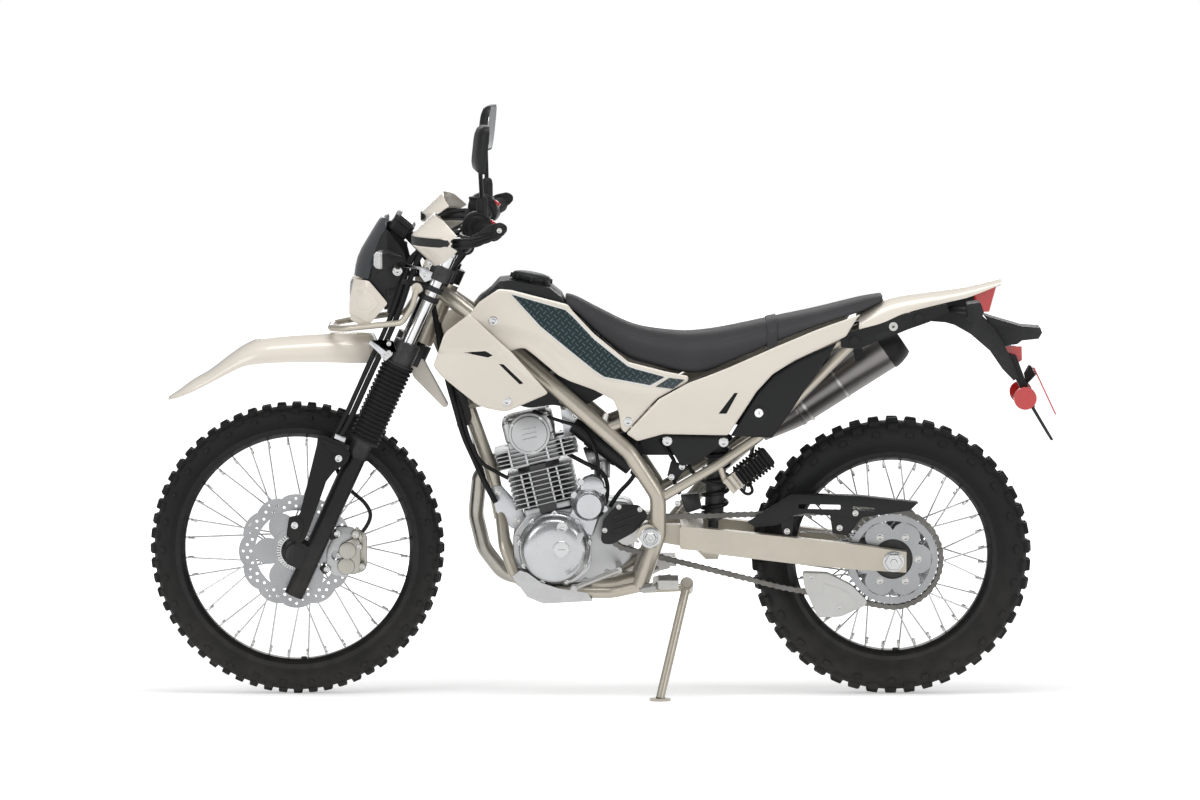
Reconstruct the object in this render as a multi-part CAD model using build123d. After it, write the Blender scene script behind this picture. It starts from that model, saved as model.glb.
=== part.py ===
"""A dual sport motorcycle that leans on its side stand.

The machine is modelled upright: X runs rearwards from the middle of the wheelbase, Y to the machine's right side and
Z up from the ground line. At the end every piece is leaned over to the left, and the origin goes to the middle of the
footprint.
"""

import math
import os

from build123d import *

# ---- driving sizes, in millimetres and degrees ----
wheelbase = 1365.0
front_tyre_radius = 338.0
rear_tyre_radius = 321.5
front_tyre_half = 42.0  # half the tyre's width
rear_tyre_half = 54.0
front_rim_radius = 280.0  # over the rim's flanges
rear_rim_radius = 243.0
front_rim_half = 26.0
rear_rim_half = 33.0
rim_flange = 3.0
rim_depth = 22.0
rake = 24.5
fork_offset = 26.0  # the legs' axis lies this far ahead of the steering axis
axle_lead = 36.0  # and the front axle this far ahead of the legs' axis
leg_spread = 93.0  # from the middle plane to each fork leg
tube_radius = 18.5
slider_radius = 22.0
boot_radius = 36.0
axle_radius = 8.5
running_clearance = 0.05
seat_gap = 0.3  # between pieces that sit on each other with curved faces
lean = 5.0
stem_radius = 13.0
head_radius = 27.0
frame_radius = 18.0
frame_half = 102.0  # middle plane to the frame's side members at the swingarm pivot
cradle_radius = 13.0
cradle_half = 75.0
downtube_radius = 16.0
rail_radius = 11.0
rail_half = 88.0
swingarm_half = 112.0
swingarm_wall = 28.0  # width of one arm
crankcase_half = 58.0
cylinder_tilt = 13.8
chain_pitch = 15.875
rear_teeth = 44
front_teeth = 14
chain_y = -70.0
chain_width = 18.0
chain_height = 15.0
sprocket_width = 6.0
panel = 3.5  # thickness of the plastic covers
front_disc_radius = 132.0
rear_disc_radius = 110.0
disc_width = 4.0
header_radius = 17.5
silencer_front_radius = 40.0
silencer_rear_radius = 50.0
silencer_y = 152.0
bar_radius = 11.0
bar_half = 405.0
stand_radius = 10.0
stand_foot_radius = 24.0
stand_foot_height = 6.0
rack_bolt_radius = 3.4  # tapping size of an M8 thread
plate_bolt_radius = 3.0

front_axle = (-wheelbase / 2, front_tyre_radius)  # X, Z
rear_axle = (wheelbase / 2, rear_tyre_radius)


# ---- ways of making shapes ----
def corners(outline):
    """Corners in the middle plane from (x, z) pairs."""
    return [(x, 0, z) for x, z in outline]


def slab(outline, y_low, y_high, corner=0.0):
    """A plate whose side view is the outline of (x, z) corners, from y_low to y_high."""
    if corner:
        wire = FilletPolyline(*corners(outline), radius=corner, close=True)
    else:
        wire = Polyline(*corners(outline), close=True)
    return Pos(0, y_low, 0) * extrude(make_face(wire), amount=y_high - y_low, dir=(0, 1, 0))


def rod(start, end, radius):
    """A round bar from one point to another."""
    run = Vector(*end) - Vector(*start)
    bar = Cylinder(radius, run.length, align=(Align.CENTER, Align.CENTER, Align.MIN))
    return Plane(origin=start, z_dir=run) * bar


def cross_rod(x, z, y_low, y_high, radius):
    """A round bar across the machine."""
    return rod((x, y_low, z), (x, y_high, z), radius)


def bent_bar(points, radius, bends):
    """A round bar along straight runs joined by arcs of the radius or radii in bends."""
    path = FilletPolyline(*points, radius=bends)
    start = Plane(origin=path @ 0, z_dir=path % 0)
    return sweep(start * Circle(radius), path=path)


def turned(profile):
    """A ring turned about the Y axis from (y, radius) corners."""
    face = make_face(Polyline(*[(radius, y, 0) for y, radius in profile], close=True))
    return revolve(face, axis=Axis.Y)


def lofted(sections):
    """A body of ruled faces through closed sections of (x, y, z) corners."""
    return loft([make_face(Polyline(*section, close=True)) for section in sections], ruled=True)


def other_side(piece):
    """The same piece on the machine's other side."""
    return mirror(piece, about=Plane.XZ)


def both(piece):
    """A piece with its twin on the other side."""
    return [piece, other_side(piece)]


def less(piece, *others):
    """A piece with the room of its neighbours cut away."""
    for other in others:
        piece = piece - other
    return piece


def joined(pieces):
    """One solid from pieces that meet."""
    whole = pieces[0]
    for piece in pieces[1:]:
        whole = whole + piece
    return whole


parts = {}

# ---- wheels: tyre, rim, spokes, hub and disc, each made about the Y axis and then moved to its axle ----


def tyre(radius, half, rim_radius, rim_half):
    """A tyre out to the tips of its lugs, seated between the rim's flanges."""
    bead = rim_half - rim_flange - seat_gap
    side = [
        (bead, rim_radius - 14),
        (bead, rim_radius + 1),
        (half * 0.93, rim_radius + 10),
        (half, rim_radius + (radius - rim_radius) * 0.42),
        (half * 0.86, radius - half * 0.46),
        (half * 0.48, radius - half * 0.095),
    ]
    left = [(-y, r) for y, r in reversed(side)]
    return turned(side + [(0, radius)] + left)


def rim(radius, half):
    """A spoked rim's channel with its two flanges."""
    seat = radius - 14 - seat_gap
    bead = half - rim_flange
    side = [(bead, seat), (bead, radius), (half, radius), (half, radius - 12), (half * 0.4, radius - rim_depth)]
    left = [(-y, r) for y, r in reversed(side)]
    return turned(side + left)


def spokes(hub, felloe, rim_radius, hub_radius, flange_y, rim_y, count=36, radius=1.8, sweep_deg=62.0):
    """Crossed spokes from beside the hub's flanges into the rim's inner face, cut to both."""
    bars = []
    for number in range(count):
        side = 1 if number % 2 else -1
        hand = 1 if (number // 2) % 2 else -1
        rim_angle = math.radians(360.0 * (number + 0.5) / count)
        hub_angle = rim_angle + hand * math.radians(sweep_deg)
        inner = rim_radius - rim_depth + 1
        start = (
            hub_radius * math.cos(hub_angle),
            side * (flange_y + hand * 4.6),
            hub_radius * math.sin(hub_angle),
        )
        end = (inner * math.cos(rim_angle), side * rim_y, inner * math.sin(rim_angle))
        bars.append(less(rod(start, end, radius), hub, felloe))
    return bars


def at_front_axle(piece):
    return Pos(front_axle[0], 0, front_axle[1]) * piece


def at_rear_axle(piece):
    return Pos(rear_axle[0], 0, rear_axle[1]) * piece


bore = axle_radius + running_clearance
front_hub_half = 56.0
front_disc_y = -60.0
front_flange_y = 30.5
front_hub = turned(
    [
        (-front_hub_half, bore),
        (-front_hub_half, 44),
        (-50, 44),
        (-46, 27),
        (-33, 25),
        (-33, 36),
        (-28, 36),
        (-26, 22),
        (26, 22),
        (28, 36),
        (33, 36),
        (33, 25),
        (front_hub_half, 22),
        (front_hub_half, bore),
    ]
)
rear_hub_half = 66.0
rear_flange_y = 40.5
rear_hub = turned(
    [
        (-rear_hub_half, bore),
        (-rear_hub_half, 63),
        (-52, 63),
        (-49, 40),
        (-43, 38),
        (-43, 50),
        (-38, 50),
        (-36, 34),
        (36, 34),
        (38, 50),
        (43, 50),
        (43, 38),
        (rear_hub_half, 48),
        (rear_hub_half, bore),
    ]
)


def brake_disc(radius, y_low, inner, windows):
    """A brake disc on its carrier, with a ring of windows."""
    disc = turned([(y_low, inner), (y_low, radius), (y_low + disc_width, radius), (y_low + disc_width, inner)])
    window_radius = (radius + inner) / 2 - 6
    for number in range(windows):
        angle = math.radians(360.0 * number / windows)
        hole = cross_rod(
            window_radius * math.cos(angle), window_radius * math.sin(angle), y_low - 1, y_low + disc_width + 1, 13
        )
        disc = disc - hole
    return disc


def pitch_radius(teeth):
    return chain_pitch / (2 * math.sin(math.pi / teeth))


rear_pitch = pitch_radius(rear_teeth)
front_pitch = pitch_radius(front_teeth)
sprocket_y = chain_y - sprocket_width / 2
rear_sprocket = turned(
    [
        (sprocket_y, 30),
        (sprocket_y, rear_pitch - chain_height / 2 - seat_gap * 2),
        (sprocket_y + sprocket_width, rear_pitch - chain_height / 2 - seat_gap * 2),
        (sprocket_y + sprocket_width, 30),
    ]
)
for number in range(6):
    angle = math.radians(60.0 * number + 30)
    for shift in (-9, 9):
        angle_here = angle + math.radians(shift)
        window = cross_rod(
            82 * math.cos(angle_here), 82 * math.sin(angle_here), sprocket_y - 1, sprocket_y + sprocket_width + 1, 10
        )
        rear_sprocket = rear_sprocket - window

parts["front_tyre"] = at_front_axle(tyre(front_tyre_radius, front_tyre_half, front_rim_radius, front_rim_half))
front_rim = rim(front_rim_radius, front_rim_half)
parts["front_rim"] = at_front_axle(front_rim)
front_spokes = spokes(front_hub, front_rim, front_rim_radius, 32, front_flange_y, 6)
parts["front_spokes"] = [at_front_axle(bar) for bar in front_spokes]
parts["front_hub"] = at_front_axle(front_hub)
parts["front_disc"] = at_front_axle(brake_disc(front_disc_radius, -front_hub_half - disc_width, 32, 8))
parts["rear_tyre"] = at_rear_axle(tyre(rear_tyre_radius, rear_tyre_half, rear_rim_radius, rear_rim_half))
rear_rim = rim(rear_rim_radius, rear_rim_half)
parts["rear_rim"] = at_rear_axle(rear_rim)
rear_spokes = spokes(rear_hub, rear_rim, rear_rim_radius, 46, rear_flange_y, 7)
parts["rear_spokes"] = [at_rear_axle(bar) for bar in rear_spokes]
parts["rear_hub"] = at_rear_axle(rear_hub)
parts["rear_sprocket"] = at_rear_axle(rear_sprocket)
parts["rear_disc"] = at_rear_axle(brake_disc(rear_disc_radius, rear_hub_half, 32, 6))

# ---- steering: made about the steering axis, z along it and x rearwards, with z = 0 level with the front axle ----
rake_angle = math.radians(rake)
steer_foot = (
    front_axle[0] + (fork_offset + axle_lead) * math.cos(rake_angle),
    front_axle[1] - (fork_offset + axle_lead) * math.sin(rake_angle),
)
fork_place = Pos(steer_foot[0], 0, steer_foot[1]) * Rot(0, rake, 0)
slider_low = -90.0  # places along the steering axis
slider_high = 300.0
clamp_low = 496.0
clamp_mid = 548.0
head_low = 552.0
head_high = 702.0
yoke_low = 706.0
yoke_high = 740.0
tube_high = 768.0
leg_x = -fork_offset


def fork_point(x, y, z):
    """A point of the fork's own frame in the machine's frame."""
    return (
        steer_foot[0] + x * math.cos(rake_angle) + z * math.sin(rake_angle),
        y,
        steer_foot[1] - x * math.sin(rake_angle) + z * math.cos(rake_angle),
    )


def upright(x, y, z_low, z_high, radius):
    """A round bar along the steering axis, in the fork's own frame."""
    return Pos(x, y, z_low) * Cylinder(radius, z_high - z_low, align=(Align.CENTER, Align.CENTER, Align.MIN))


def clamp(z_low, z_high, leg_collar, middle_collar, web):
    """A fork clamp: a collar round each leg, one round the stem and the web between them."""
    height = z_high - z_low
    pieces = [upright(0, 0, z_low, z_high, middle_collar)]
    for side in (-1, 1):
        pieces.append(upright(leg_x, side * leg_spread, z_low, z_high, leg_collar))
    bridge = Box(web, 2 * leg_spread, height * 0.8, align=(Align.CENTER, Align.CENTER, Align.MIN))
    pieces.append(Pos(leg_x * 0.6, 0, z_low + height * 0.1) * bridge)
    whole = joined(pieces)
    for side in (-1, 1):
        whole = whole - upright(leg_x, side * leg_spread, z_low - 1, z_high + 1, tube_radius + seat_gap / 2)
    return whole


stem = upright(0, 0, clamp_mid - 20, yoke_high + 12, stem_radius)
clamps = joined([clamp(clamp_low, clamp_mid, 30, 28, 40), clamp(yoke_low, yoke_high, 29, 27, 38), stem])

tubes = []
sliders = []
boots = []
for side in (-1, 1):
    y = side * leg_spread
    tubes.append(upright(leg_x, y, slider_high - 8, tube_high, tube_radius))
    slider = upright(leg_x, y, slider_low, slider_high, slider_radius)
    slider = slider + upright(leg_x, y, slider_high - 40, slider_high, slider_radius + 3)
    lug = Pos(leg_x - axle_lead / 2, y, 0) * Box(axle_lead + 18, 2 * slider_radius - 8, 56)
    eye = Pos(leg_x - axle_lead, y, 0) * Rot(90, 0, 0) * Cylinder(21, 2 * slider_radius - 6)
    slider = joined([slider, lug, eye])
    sliders.append(slider - upright(leg_x, y, slider_high - 8, slider_high + 1, tube_radius + seat_gap / 2))
    ribs = 18
    boot_low = slider_high + 0.5
    boot_high = clamp_low - 0.5
    pitch = (boot_high - boot_low) / ribs
    inner = tube_radius + seat_gap
    profile = [(inner, 0, boot_low)]
    for rib in range(ribs):
        swell = boot_radius - abs(rib - ribs / 2) * 0.35
        profile.append((swell - 6, 0, boot_low + rib * pitch))
        profile.append((swell, 0, boot_low + (rib + 0.5) * pitch))
    profile.append((boot_radius - 8, 0, boot_high))
    profile.append((inner, 0, boot_high))
    boots.append(Pos(leg_x, y, 0) * revolve(make_face(Polyline(*profile, close=True)), axis=Axis.Z))

axle_x = leg_x - axle_lead
front_spindle = Pos(axle_x, 0, 0) * Rot(90, 0, 0) * Cylinder(axle_radius, 2 * leg_spread)
spacers = []
for side in (-1, 1):
    spacer_low = front_hub_half + disc_width + 1 if side < 0 else front_hub_half + 1
    length = leg_spread - slider_radius + 4 - spacer_low
    spacer = Rot(90, 0, 0) * Cylinder(14, length)
    spacers.append(Pos(axle_x, side * (spacer_low + length / 2), 0) * spacer)
sliders = joined([sliders[0], front_spindle, sliders[1]] + spacers)

parts["fork_clamps"] = fork_place * clamps
parts["fork_tubes"] = [fork_place * tube for tube in tubes]
parts["fork_sliders"] = fork_place * sliders
fork_covers = [fork_place * boot for boot in boots]

# the handlebar: bent tube on two risers that stand on the upper clamp
bar_mid = fork_point(4, 0, yoke_high + 58)
bar_points = [
    (bar_mid[0] + 72, -bar_half, bar_mid[2] + 60),
    (bar_mid[0] + 30, -215, bar_mid[2] + 50),
    (bar_mid[0], -95, bar_mid[2]),
    (bar_mid[0], 95, bar_mid[2]),
    (bar_mid[0] + 30, 215, bar_mid[2] + 50),
    (bar_mid[0] + 72, bar_half, bar_mid[2] + 60),
]
handlebar = bent_bar(bar_points, bar_radius, [50, 50, 50, 50])
risers = []
for side in (-1, 1):
    foot = fork_point(leg_x * 0.4, side * 42, yoke_high - 5)
    top = (bar_mid[0], side * 42, bar_mid[2])
    risers.append(rod(foot, top, 13))
    risers.append(cross_rod(bar_mid[0], bar_mid[2], side * 42 - 16, side * 42 + 16, 19))
parts["handlebar"] = less(joined([handlebar] + risers), parts["fork_clamps"])


def along_bar(start_y, end_y, side, radius):
    """A sleeve round the bar's outer run, between two distances from the middle."""
    inner = Vector(bar_mid[0] + 30, side * 215, bar_mid[2] + 50)
    outer = Vector(bar_mid[0] + 72, side * bar_half, bar_mid[2] + 60)
    run = outer - inner
    start = inner + run * ((start_y - 215) / (bar_half - 215))
    end = inner + run * ((end_y - 215) / (bar_half - 215))
    return rod(tuple(start), tuple(end), radius)


grip_radius = 17.0
controls = []
for side in (-1, 1):
    grip = along_bar(bar_half - 113, bar_half - 6, side, grip_radius)
    grip = grip + along_bar(bar_half - 117, bar_half - 112, side, grip_radius + 9)
    housing = along_bar(bar_half - 157, bar_half - 117, side, 27)
    lever_base = along_bar(bar_half - 183, bar_half - 159, side, 19)
    grip_end = along_bar(bar_half, bar_half + 14, side, grip_radius)
    centre = along_bar(bar_half - 175, bar_half - 174, side, 1).center()
    lever = bent_bar(
        [
            (centre.X - 6, side * (bar_half - 173), centre.Z + 2),
            (centre.X - 34, side * (bar_half - 143), centre.Z - 2),
            (centre.X - 30, side * (bar_half - 75), centre.Z - 4),
            (centre.X - 8, side * (bar_half - 7), centre.Z - 2),
        ],
        6,
        [18, 60],
    )
    reservoir = Pos(centre.X - 16, side * (bar_half - 171), centre.Z + 24) * Box(34, 30, 26)
    cluster = joined([grip, housing, lever_base, lever] + ([reservoir] if side > 0 else []))
    bored = less(cluster, parts["handlebar"])
    controls.append(bored)
    controls.append(less(grip_end, parts["handlebar"]))
parts["controls"] = controls

# hand guards: a folded shield before each grip, carried by an arm from the bar's end to the bar's inner run
shields = []
guard_arms = []
guard_rows = [  # distance from the middle, how far the fold lies behind the foremost line, half height
    (bar_half - 200, 40, 34),
    (bar_half - 143, 8, 54),
    (bar_half - 75, 0, 58),
    (bar_half - 7, 34, 46),
    (bar_half + 31, 88, 16),
]
guard_front = bar_mid[0] - 114
guard_mid = bar_mid[2] + 40
for side in (-1, 1):
    sections = []
    for y, back, half in guard_rows:
        nose = guard_front + back
        sections.append(
            [
                (nose + half * 0.8, side * y, guard_mid + half),
                (nose, side * y, guard_mid),
                (nose + half * 0.8, side * y, guard_mid - half),
                (nose + half * 0.8 + panel, side * y, guard_mid - half),
                (nose + panel * 1.4, side * y, guard_mid),
                (nose + half * 0.8 + panel, side * y, guard_mid + half),
            ]
        )
    shield = lofted(sections)
    end = along_bar(bar_half + 13, bar_half + 14, side, 1).center()
    arm = bent_bar(
        [
            (end.X, side * (bar_half + 18), end.Z),
            (guard_front + 126, side * (bar_half + 26), guard_mid + 4),
            (guard_front + 34, side * (bar_half - 33), guard_mid),
            (guard_front + 20, side * (bar_half - 143), guard_mid),
            (bar_mid[0] + 27, side * 204, bar_mid[2] + 45),
        ],
        7,
        [40, 60, 80],
    )
    cap = along_bar(bar_half + 14.3, bar_half + 24, side, 12)
    arm = less(arm + cap, *controls)
    guard_arms.append(arm)
    pads = [
        rod((guard_front + 8, side * (bar_half - 143), guard_mid), (guard_front + 20, side * (bar_half - 143), guard_mid), 6),
        rod((guard_front + 20, side * (bar_half - 39), guard_mid), (guard_front + 33, side * (bar_half - 39), guard_mid), 6),
    ]
    shields.append(less(joined([shield] + pads), arm))
parts["handguards"] = shields
parts["handlebar"] = joined([parts["handlebar"]] + guard_arms)

# mirrors: a bent stalk from a boss on the switch housing and a tilted oval head
mirrors = []
for side in (-1, 1):
    boss = along_bar(bar_half - 139, bar_half - 137, side, 1).center()
    stalk = bent_bar(
        [
            (boss.X, side * (bar_half - 137), boss.Z + 26),
            (boss.X - 2, side * (bar_half - 133), boss.Z + 72),
            (boss.X - 4, side * (bar_half - 87), boss.Z + 150),
            (boss.X - 4, side * (bar_half - 75), boss.Z + 206),
        ],
        5,
        [30, 60],
    )
    foot = rod((boss.X, side * (bar_half - 137), boss.Z + 20), (boss.X, side * (bar_half - 137), boss.Z + 44), 11)
    head = Pos(boss.X - 4, side * (bar_half - 43), boss.Z + 192) * Rot(0, 6, side * -8) * Box(24, 118, 108)
    head = fillet(head.edges().filter_by(Axis.X, tolerance=12), 30)
    mirrors.append(less(joined([foot, stalk, head]), *controls))
parts["mirrors"] = mirrors


def plan(outline, z_low, z_high):
    """A block whose top view is the outline of (x, y) corners."""
    return Pos(0, 0, z_low) * extrude(make_face(Polyline(*outline, close=True)), amount=z_high - z_low)


def front_view(outline, x_low, x_high):
    """A block whose front view is the outline of (y, z) corners."""
    face = make_face(Polyline(*[(0, y, z) for y, z in outline], close=True))
    return Pos(x_low, 0, 0) * extrude(face, amount=x_high - x_low, dir=(1, 0, 0))


# head lamp: a lens let into a tapered cowl, a screen above it and a bracket on the fork tubes behind it
lens_outline = [(-557, 890), (-557, 938), (-547, 964), (-530, 960), (-530, 884)]
cowl_outline = [
    (-546, 966),
    (-512, 963),
    (-468, 913),
    (-506, 870),
    (-513, 868),
    (-558, 889),
    (-555, 924),
]
cowl_plan = [(-562, -64), (-520, -100), (-465, -112), (-465, 112), (-520, 100), (-562, 64)]
lens_half = 58.0
lens = slab(lens_outline, -lens_half, lens_half)
cowl = slab(cowl_outline, -120, 120) & plan(cowl_plan, 850, 980)
lens_room = slab([(-570, 884), (-570, 964), (-530, 964), (-530, 884)], -lens_half, lens_half)
lamp_room = slab([(-530.01, 888), (-530.01, 948), (-440, 948), (-440, 888)], -86, 86)
cowl = less(cowl, lens_room, lamp_room)
screen_outline = [(-481, 1102), (-498, 1092), (-523, 1047), (-544, 1009), (-546, 967), (-536, 967), (-505, 1030)]
screen = slab(screen_outline, -110, 110) & front_view([(-104, 960), (-96, 1015), (-52, 1110), (52, 1110), (96, 1015), (104, 960)], -600, -400)
screen = less(screen, cowl)
ring_z = 672.0  # along the steering axis
bracket_pieces = [slab([(-530, 892), (-530, 944), (-478, 944), (-478, 892)], -56, 56)]
bracket_pieces.append(Pos(-474, 0, 920) * Box(8, 232, 44))
for side in (-1, 1):
    cheek = slab([(-508, 965), (-484, 991), (-444, 996), (-424, 981), (-444, 900), (-467, 913)], 112, 116)
    bracket_pieces.append(cheek if side > 0 else other_side(cheek))
    collar = upright(leg_x, side * leg_spread, ring_z - 16, ring_z + 16, tube_radius + 6)
    bracket_pieces.append(fork_place * collar)
    reach = fork_point(leg_x - tube_radius - 2, side * (leg_spread + 8), ring_z)
    bracket_pieces.append(rod(reach, (-432, side * 112, 962), 8))
lamp_bracket = less(joined(bracket_pieces), cowl, *parts["fork_tubes"])
lamp_bracket = less(lamp_bracket, *[fork_place * upright(leg_x, s * leg_spread, 600, 760, tube_radius + 0.1) for s in (-1, 1)])
parts["headlight_lens"] = lens
parts["headlight_cowl"] = cowl

# the instrument: a box on a stay from the upper clamp, tied to the screen
meter = slab([(-470, 1090), (-449, 1112), (-406, 1085), (-427, 1055)], -62, 62, corner=5)
meter_stay = slab([(-438, 1060), (-420, 1072), (-362, 1008), (-372, 990)], -20, 20)
screen_tie = slab([(-493, 1076), (-478, 1091), (-452, 1092), (-462, 1066)], -15, 15)
meter_box = less(joined([meter, meter_stay, screen_tie, screen]), parts["fork_clamps"])
parts["meter"] = less(meter_box, *parts["fork_tubes"])

# lamp guard: one bent bar round the lamp from a ring on each cheek of the bracket
guard_bar_radius = 7.0
guard_path = [
    (-402, -126, 949),
    (-412, -126, 908),
    (-436, -124, 870),
    (-566, -96, 854),
    (-601, -52, 851),
    (-601, 52, 851),
    (-566, 96, 854),
    (-436, 124, 870),
    (-412, 126, 908),
    (-402, 126, 949),
]
lamp_guard = bent_bar(guard_path, guard_bar_radius, [60, 22, 40, 25, 25, 40, 22, 60])
rings = [cross_rod(-402, 949, side * 110, side * 130, 12) for side in (-1, 1)]
parts["lamp_guard"] = less(joined([lamp_guard] + rings), lamp_bracket, cowl)

# front indicators on short stalks from the bracket's cheeks
indicator_outline = [(-496, 1003), (-496, 1037), (-475, 1042), (-433, 1026), (-433, 1014), (-475, 997)]
indicators = []
for side in (-1, 1):
    near, far = sorted((side * 148, side * 226))
    housing = slab(indicator_outline, near, far, corner=4)
    stalk = rod((-452, side * 114, 984), (-452, side * 160, 1016), 7)
    indicators.extend([housing, stalk])
parts["lamp_bracket"] = less(joined([lamp_bracket] + indicators), parts["lamp_guard"])

# front mudguard: an arched shell high over the wheel, on a block before the lower clamp, with a flap behind it
fender_rows = [  # x, lower edge, crown, half width
    (-974, 680, 687, 30),
    (-921, 700, 726, 52),
    (-882, 723, 745, 60),
    (-837, 747, 780, 68),
    (-800, 764, 804, 74),
    (-760, 770, 822, 78),
    (-682, 776, 831, 80),
    (-600, 774, 834, 76),
    (-512, 768, 833, 66),
]
sections = []
for x, low, crown, half in fender_rows:
    height = crown - low
    outer = [(x, -half, low), (x, -half * 0.97, low + height * 0.5), (x, -half * 0.6, crown - height * 0.12)]
    inner = [
        (x, -half + panel, low),
        (x, -half * 0.97 + panel, low + height * 0.5 - panel * 0.3),
        (x, -half * 0.6 + panel * 0.4, crown - height * 0.12 - panel),
    ]
    left = [(x, -y, z) for _, y, z in reversed(outer)]
    left_inner = [(x, -y, z) for _, y, z in inner]
    sections.append(outer + [(x, 0, crown)] + left + left_inner + [(x, 0, crown - panel)] + list(reversed(inner)))
fender = lofted(sections)
fender_block = slab([(-530, 775), (-530, 832), (-505, 832), (-495, 812), (-436, 812), (-436, 785)], -30, 30)
fender_flap = slab([(-430, 792), (-392, 775), (-384, 756), (-335, 668), (-345, 665), (-414, 735)], -20, 20)
parts["front_fender"] = [
    less(joined([fender, fender_block]), parts["fork_clamps"]),
    less(fender_flap, parts["fork_clamps"]),
]

# front brake: a caliper over the disc on a lug of the left slider, its hose clipped along the leg
caliper_outline = [(-607, 302), (-600, 285), (-530, 285), (-518, 300), (-518, 380), (-530, 391), (-580, 388), (-607, 365)]
caliper = slab(caliper_outline, -88, -44)
disc_low = -front_hub_half - disc_width
disc_room = at_front_axle(turned([(disc_low - 3, 1), (disc_low - 3, 138), (disc_low + disc_width + 3, 138), (disc_low + disc_width + 3, 1)]))
caliper_lug = slab([(-650, 400), (-596, 392), (-596, 300), (-640, 292)], -88, -70)
caliper = less(joined([caliper, caliper_lug]), parts["fork_sliders"], disc_room)
parts["brake_caliper"] = caliper

guard_outline = [
    (-624, 606),
    (-611, 612),
    (-568, 597),
    (-550, 567),
    (-566, 551),
    (-606, 521),
    (-616, 475),
    (-631, 404),
    (-651, 374),
    (-667, 366),
    (-697, 379),
    (-697, 404),
    (-662, 429),
    (-646, 505),
]
guard_face = leg_spread + slider_radius + seat_gap
fork_guard = slab(guard_outline, guard_face, guard_face + panel)
parts["fork_covers"] = fork_covers + both(fork_guard)

hose_radius = 4.5
hose_points = [
    (-300, 190, 1070),
    (-350, 146, 1046),
    (-400, 88, 1020),
    (-424, 14, 1004),
    (-428, -58, 988),
    (-436, -96, 944),
    (-458, -102, 884),
    (-496, -102, 812),
    (-532, -102, 732),
    (-564, -102, 656),
    (-590, -98, 588),
    (-592, -66, 528),
    (-562, -58, 480),
    (-522, -62, 450),
    (-506, -66, 414),
    (-530, -66, 384),
]
runs = [math.dist(hose_points[i], hose_points[i + 1]) for i in range(len(hose_points) - 1)]
hose_bends = []
for i in range(1, len(hose_points) - 1):
    before = Vector(*hose_points[i]) - Vector(*hose_points[i - 1])
    after = Vector(*hose_points[i + 1]) - Vector(*hose_points[i])
    turn = math.radians(before.get_angle(after))
    hose_bends.append(0.45 * min(runs[i - 1], runs[i]) / math.tan(turn / 2))
hose = bent_bar(hose_points, hose_radius, hose_bends)
parts["brake_hose"] = less(hose, caliper, *parts["controls"])

# ---- frame: head tube, twin side members, downtube and cradle ----
head_tube = fork_place * upright(0, 0, head_low, head_high, head_radius)
stem_room = fork_place * upright(0, 0, head_low - 30, head_high + 30, stem_radius + running_clearance)
pivot = (121, 386)  # X, Z of the swingarm's pivot
member_path = [(-346, 24, 930), (-250, 62, 859), (80, 100, 571), (146, frame_half, 470), (146, frame_half, 380), (104, 98, 262)]
member = bent_bar(member_path, frame_radius, [160, 60, 60, 80])
pivot_boss = cross_rod(pivot[0], pivot[1], frame_half - frame_radius, frame_half + 22, 22)
downtube = bent_bar([(-366, 0, 846), (-286, 0, 655), (-236, 0, 516), (-214, 0, 408)], downtube_radius, [300, 300])
cradle_path = [(-215, 6, 420), (-206, 52, 346), (-176, cradle_half, 270), (-110, cradle_half, 246), (40, cradle_half, 244), (106, 96, 262)]
cradle = bent_bar(cradle_path, cradle_radius, [50, 60, 60, 80])
gusset = slab([(-368, 880), (-300, 893), (-262, 868), (-345, 770)], -5, 5)
stay = rod((-300, 8, 664), (-196, 138, 697), 6)
frame_pieces = [head_tube, downtube, gusset]
for piece in (member, pivot_boss, cradle, stay):
    frame_pieces.extend(both(piece))
cross_bar = cross_rod(24, 628, -92, 92, 11)
lower_bar = cross_rod(106, 262, -98, 98, 14)
frame_pieces.extend([cross_bar, lower_bar])
main_frame = less(joined(frame_pieces), stem_room)

# subframe: two rails a side, a cross tube that carries the shock and one under the tail
upper_rail = bent_bar([(28, 94, 624), (250, rail_half, 714), (600, 70, 835), (722, 54, 872)], rail_radius, [300, 300])
lower_rail = bent_bar([(146, 98, 462), (282, 98, 542), (373, 95, 603), (598, 70, 828)], rail_radius, [300, 200])
shock_top = (292, 727)
subframe_pieces = [cross_rod(shock_top[0], shock_top[1], -rail_half, rail_half, 10), cross_rod(722, 872, -54, 54, 9)]
for piece in (upper_rail, lower_rail):
    subframe_pieces.extend(both(piece))
subframe = less(joined(subframe_pieces), main_frame)

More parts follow.
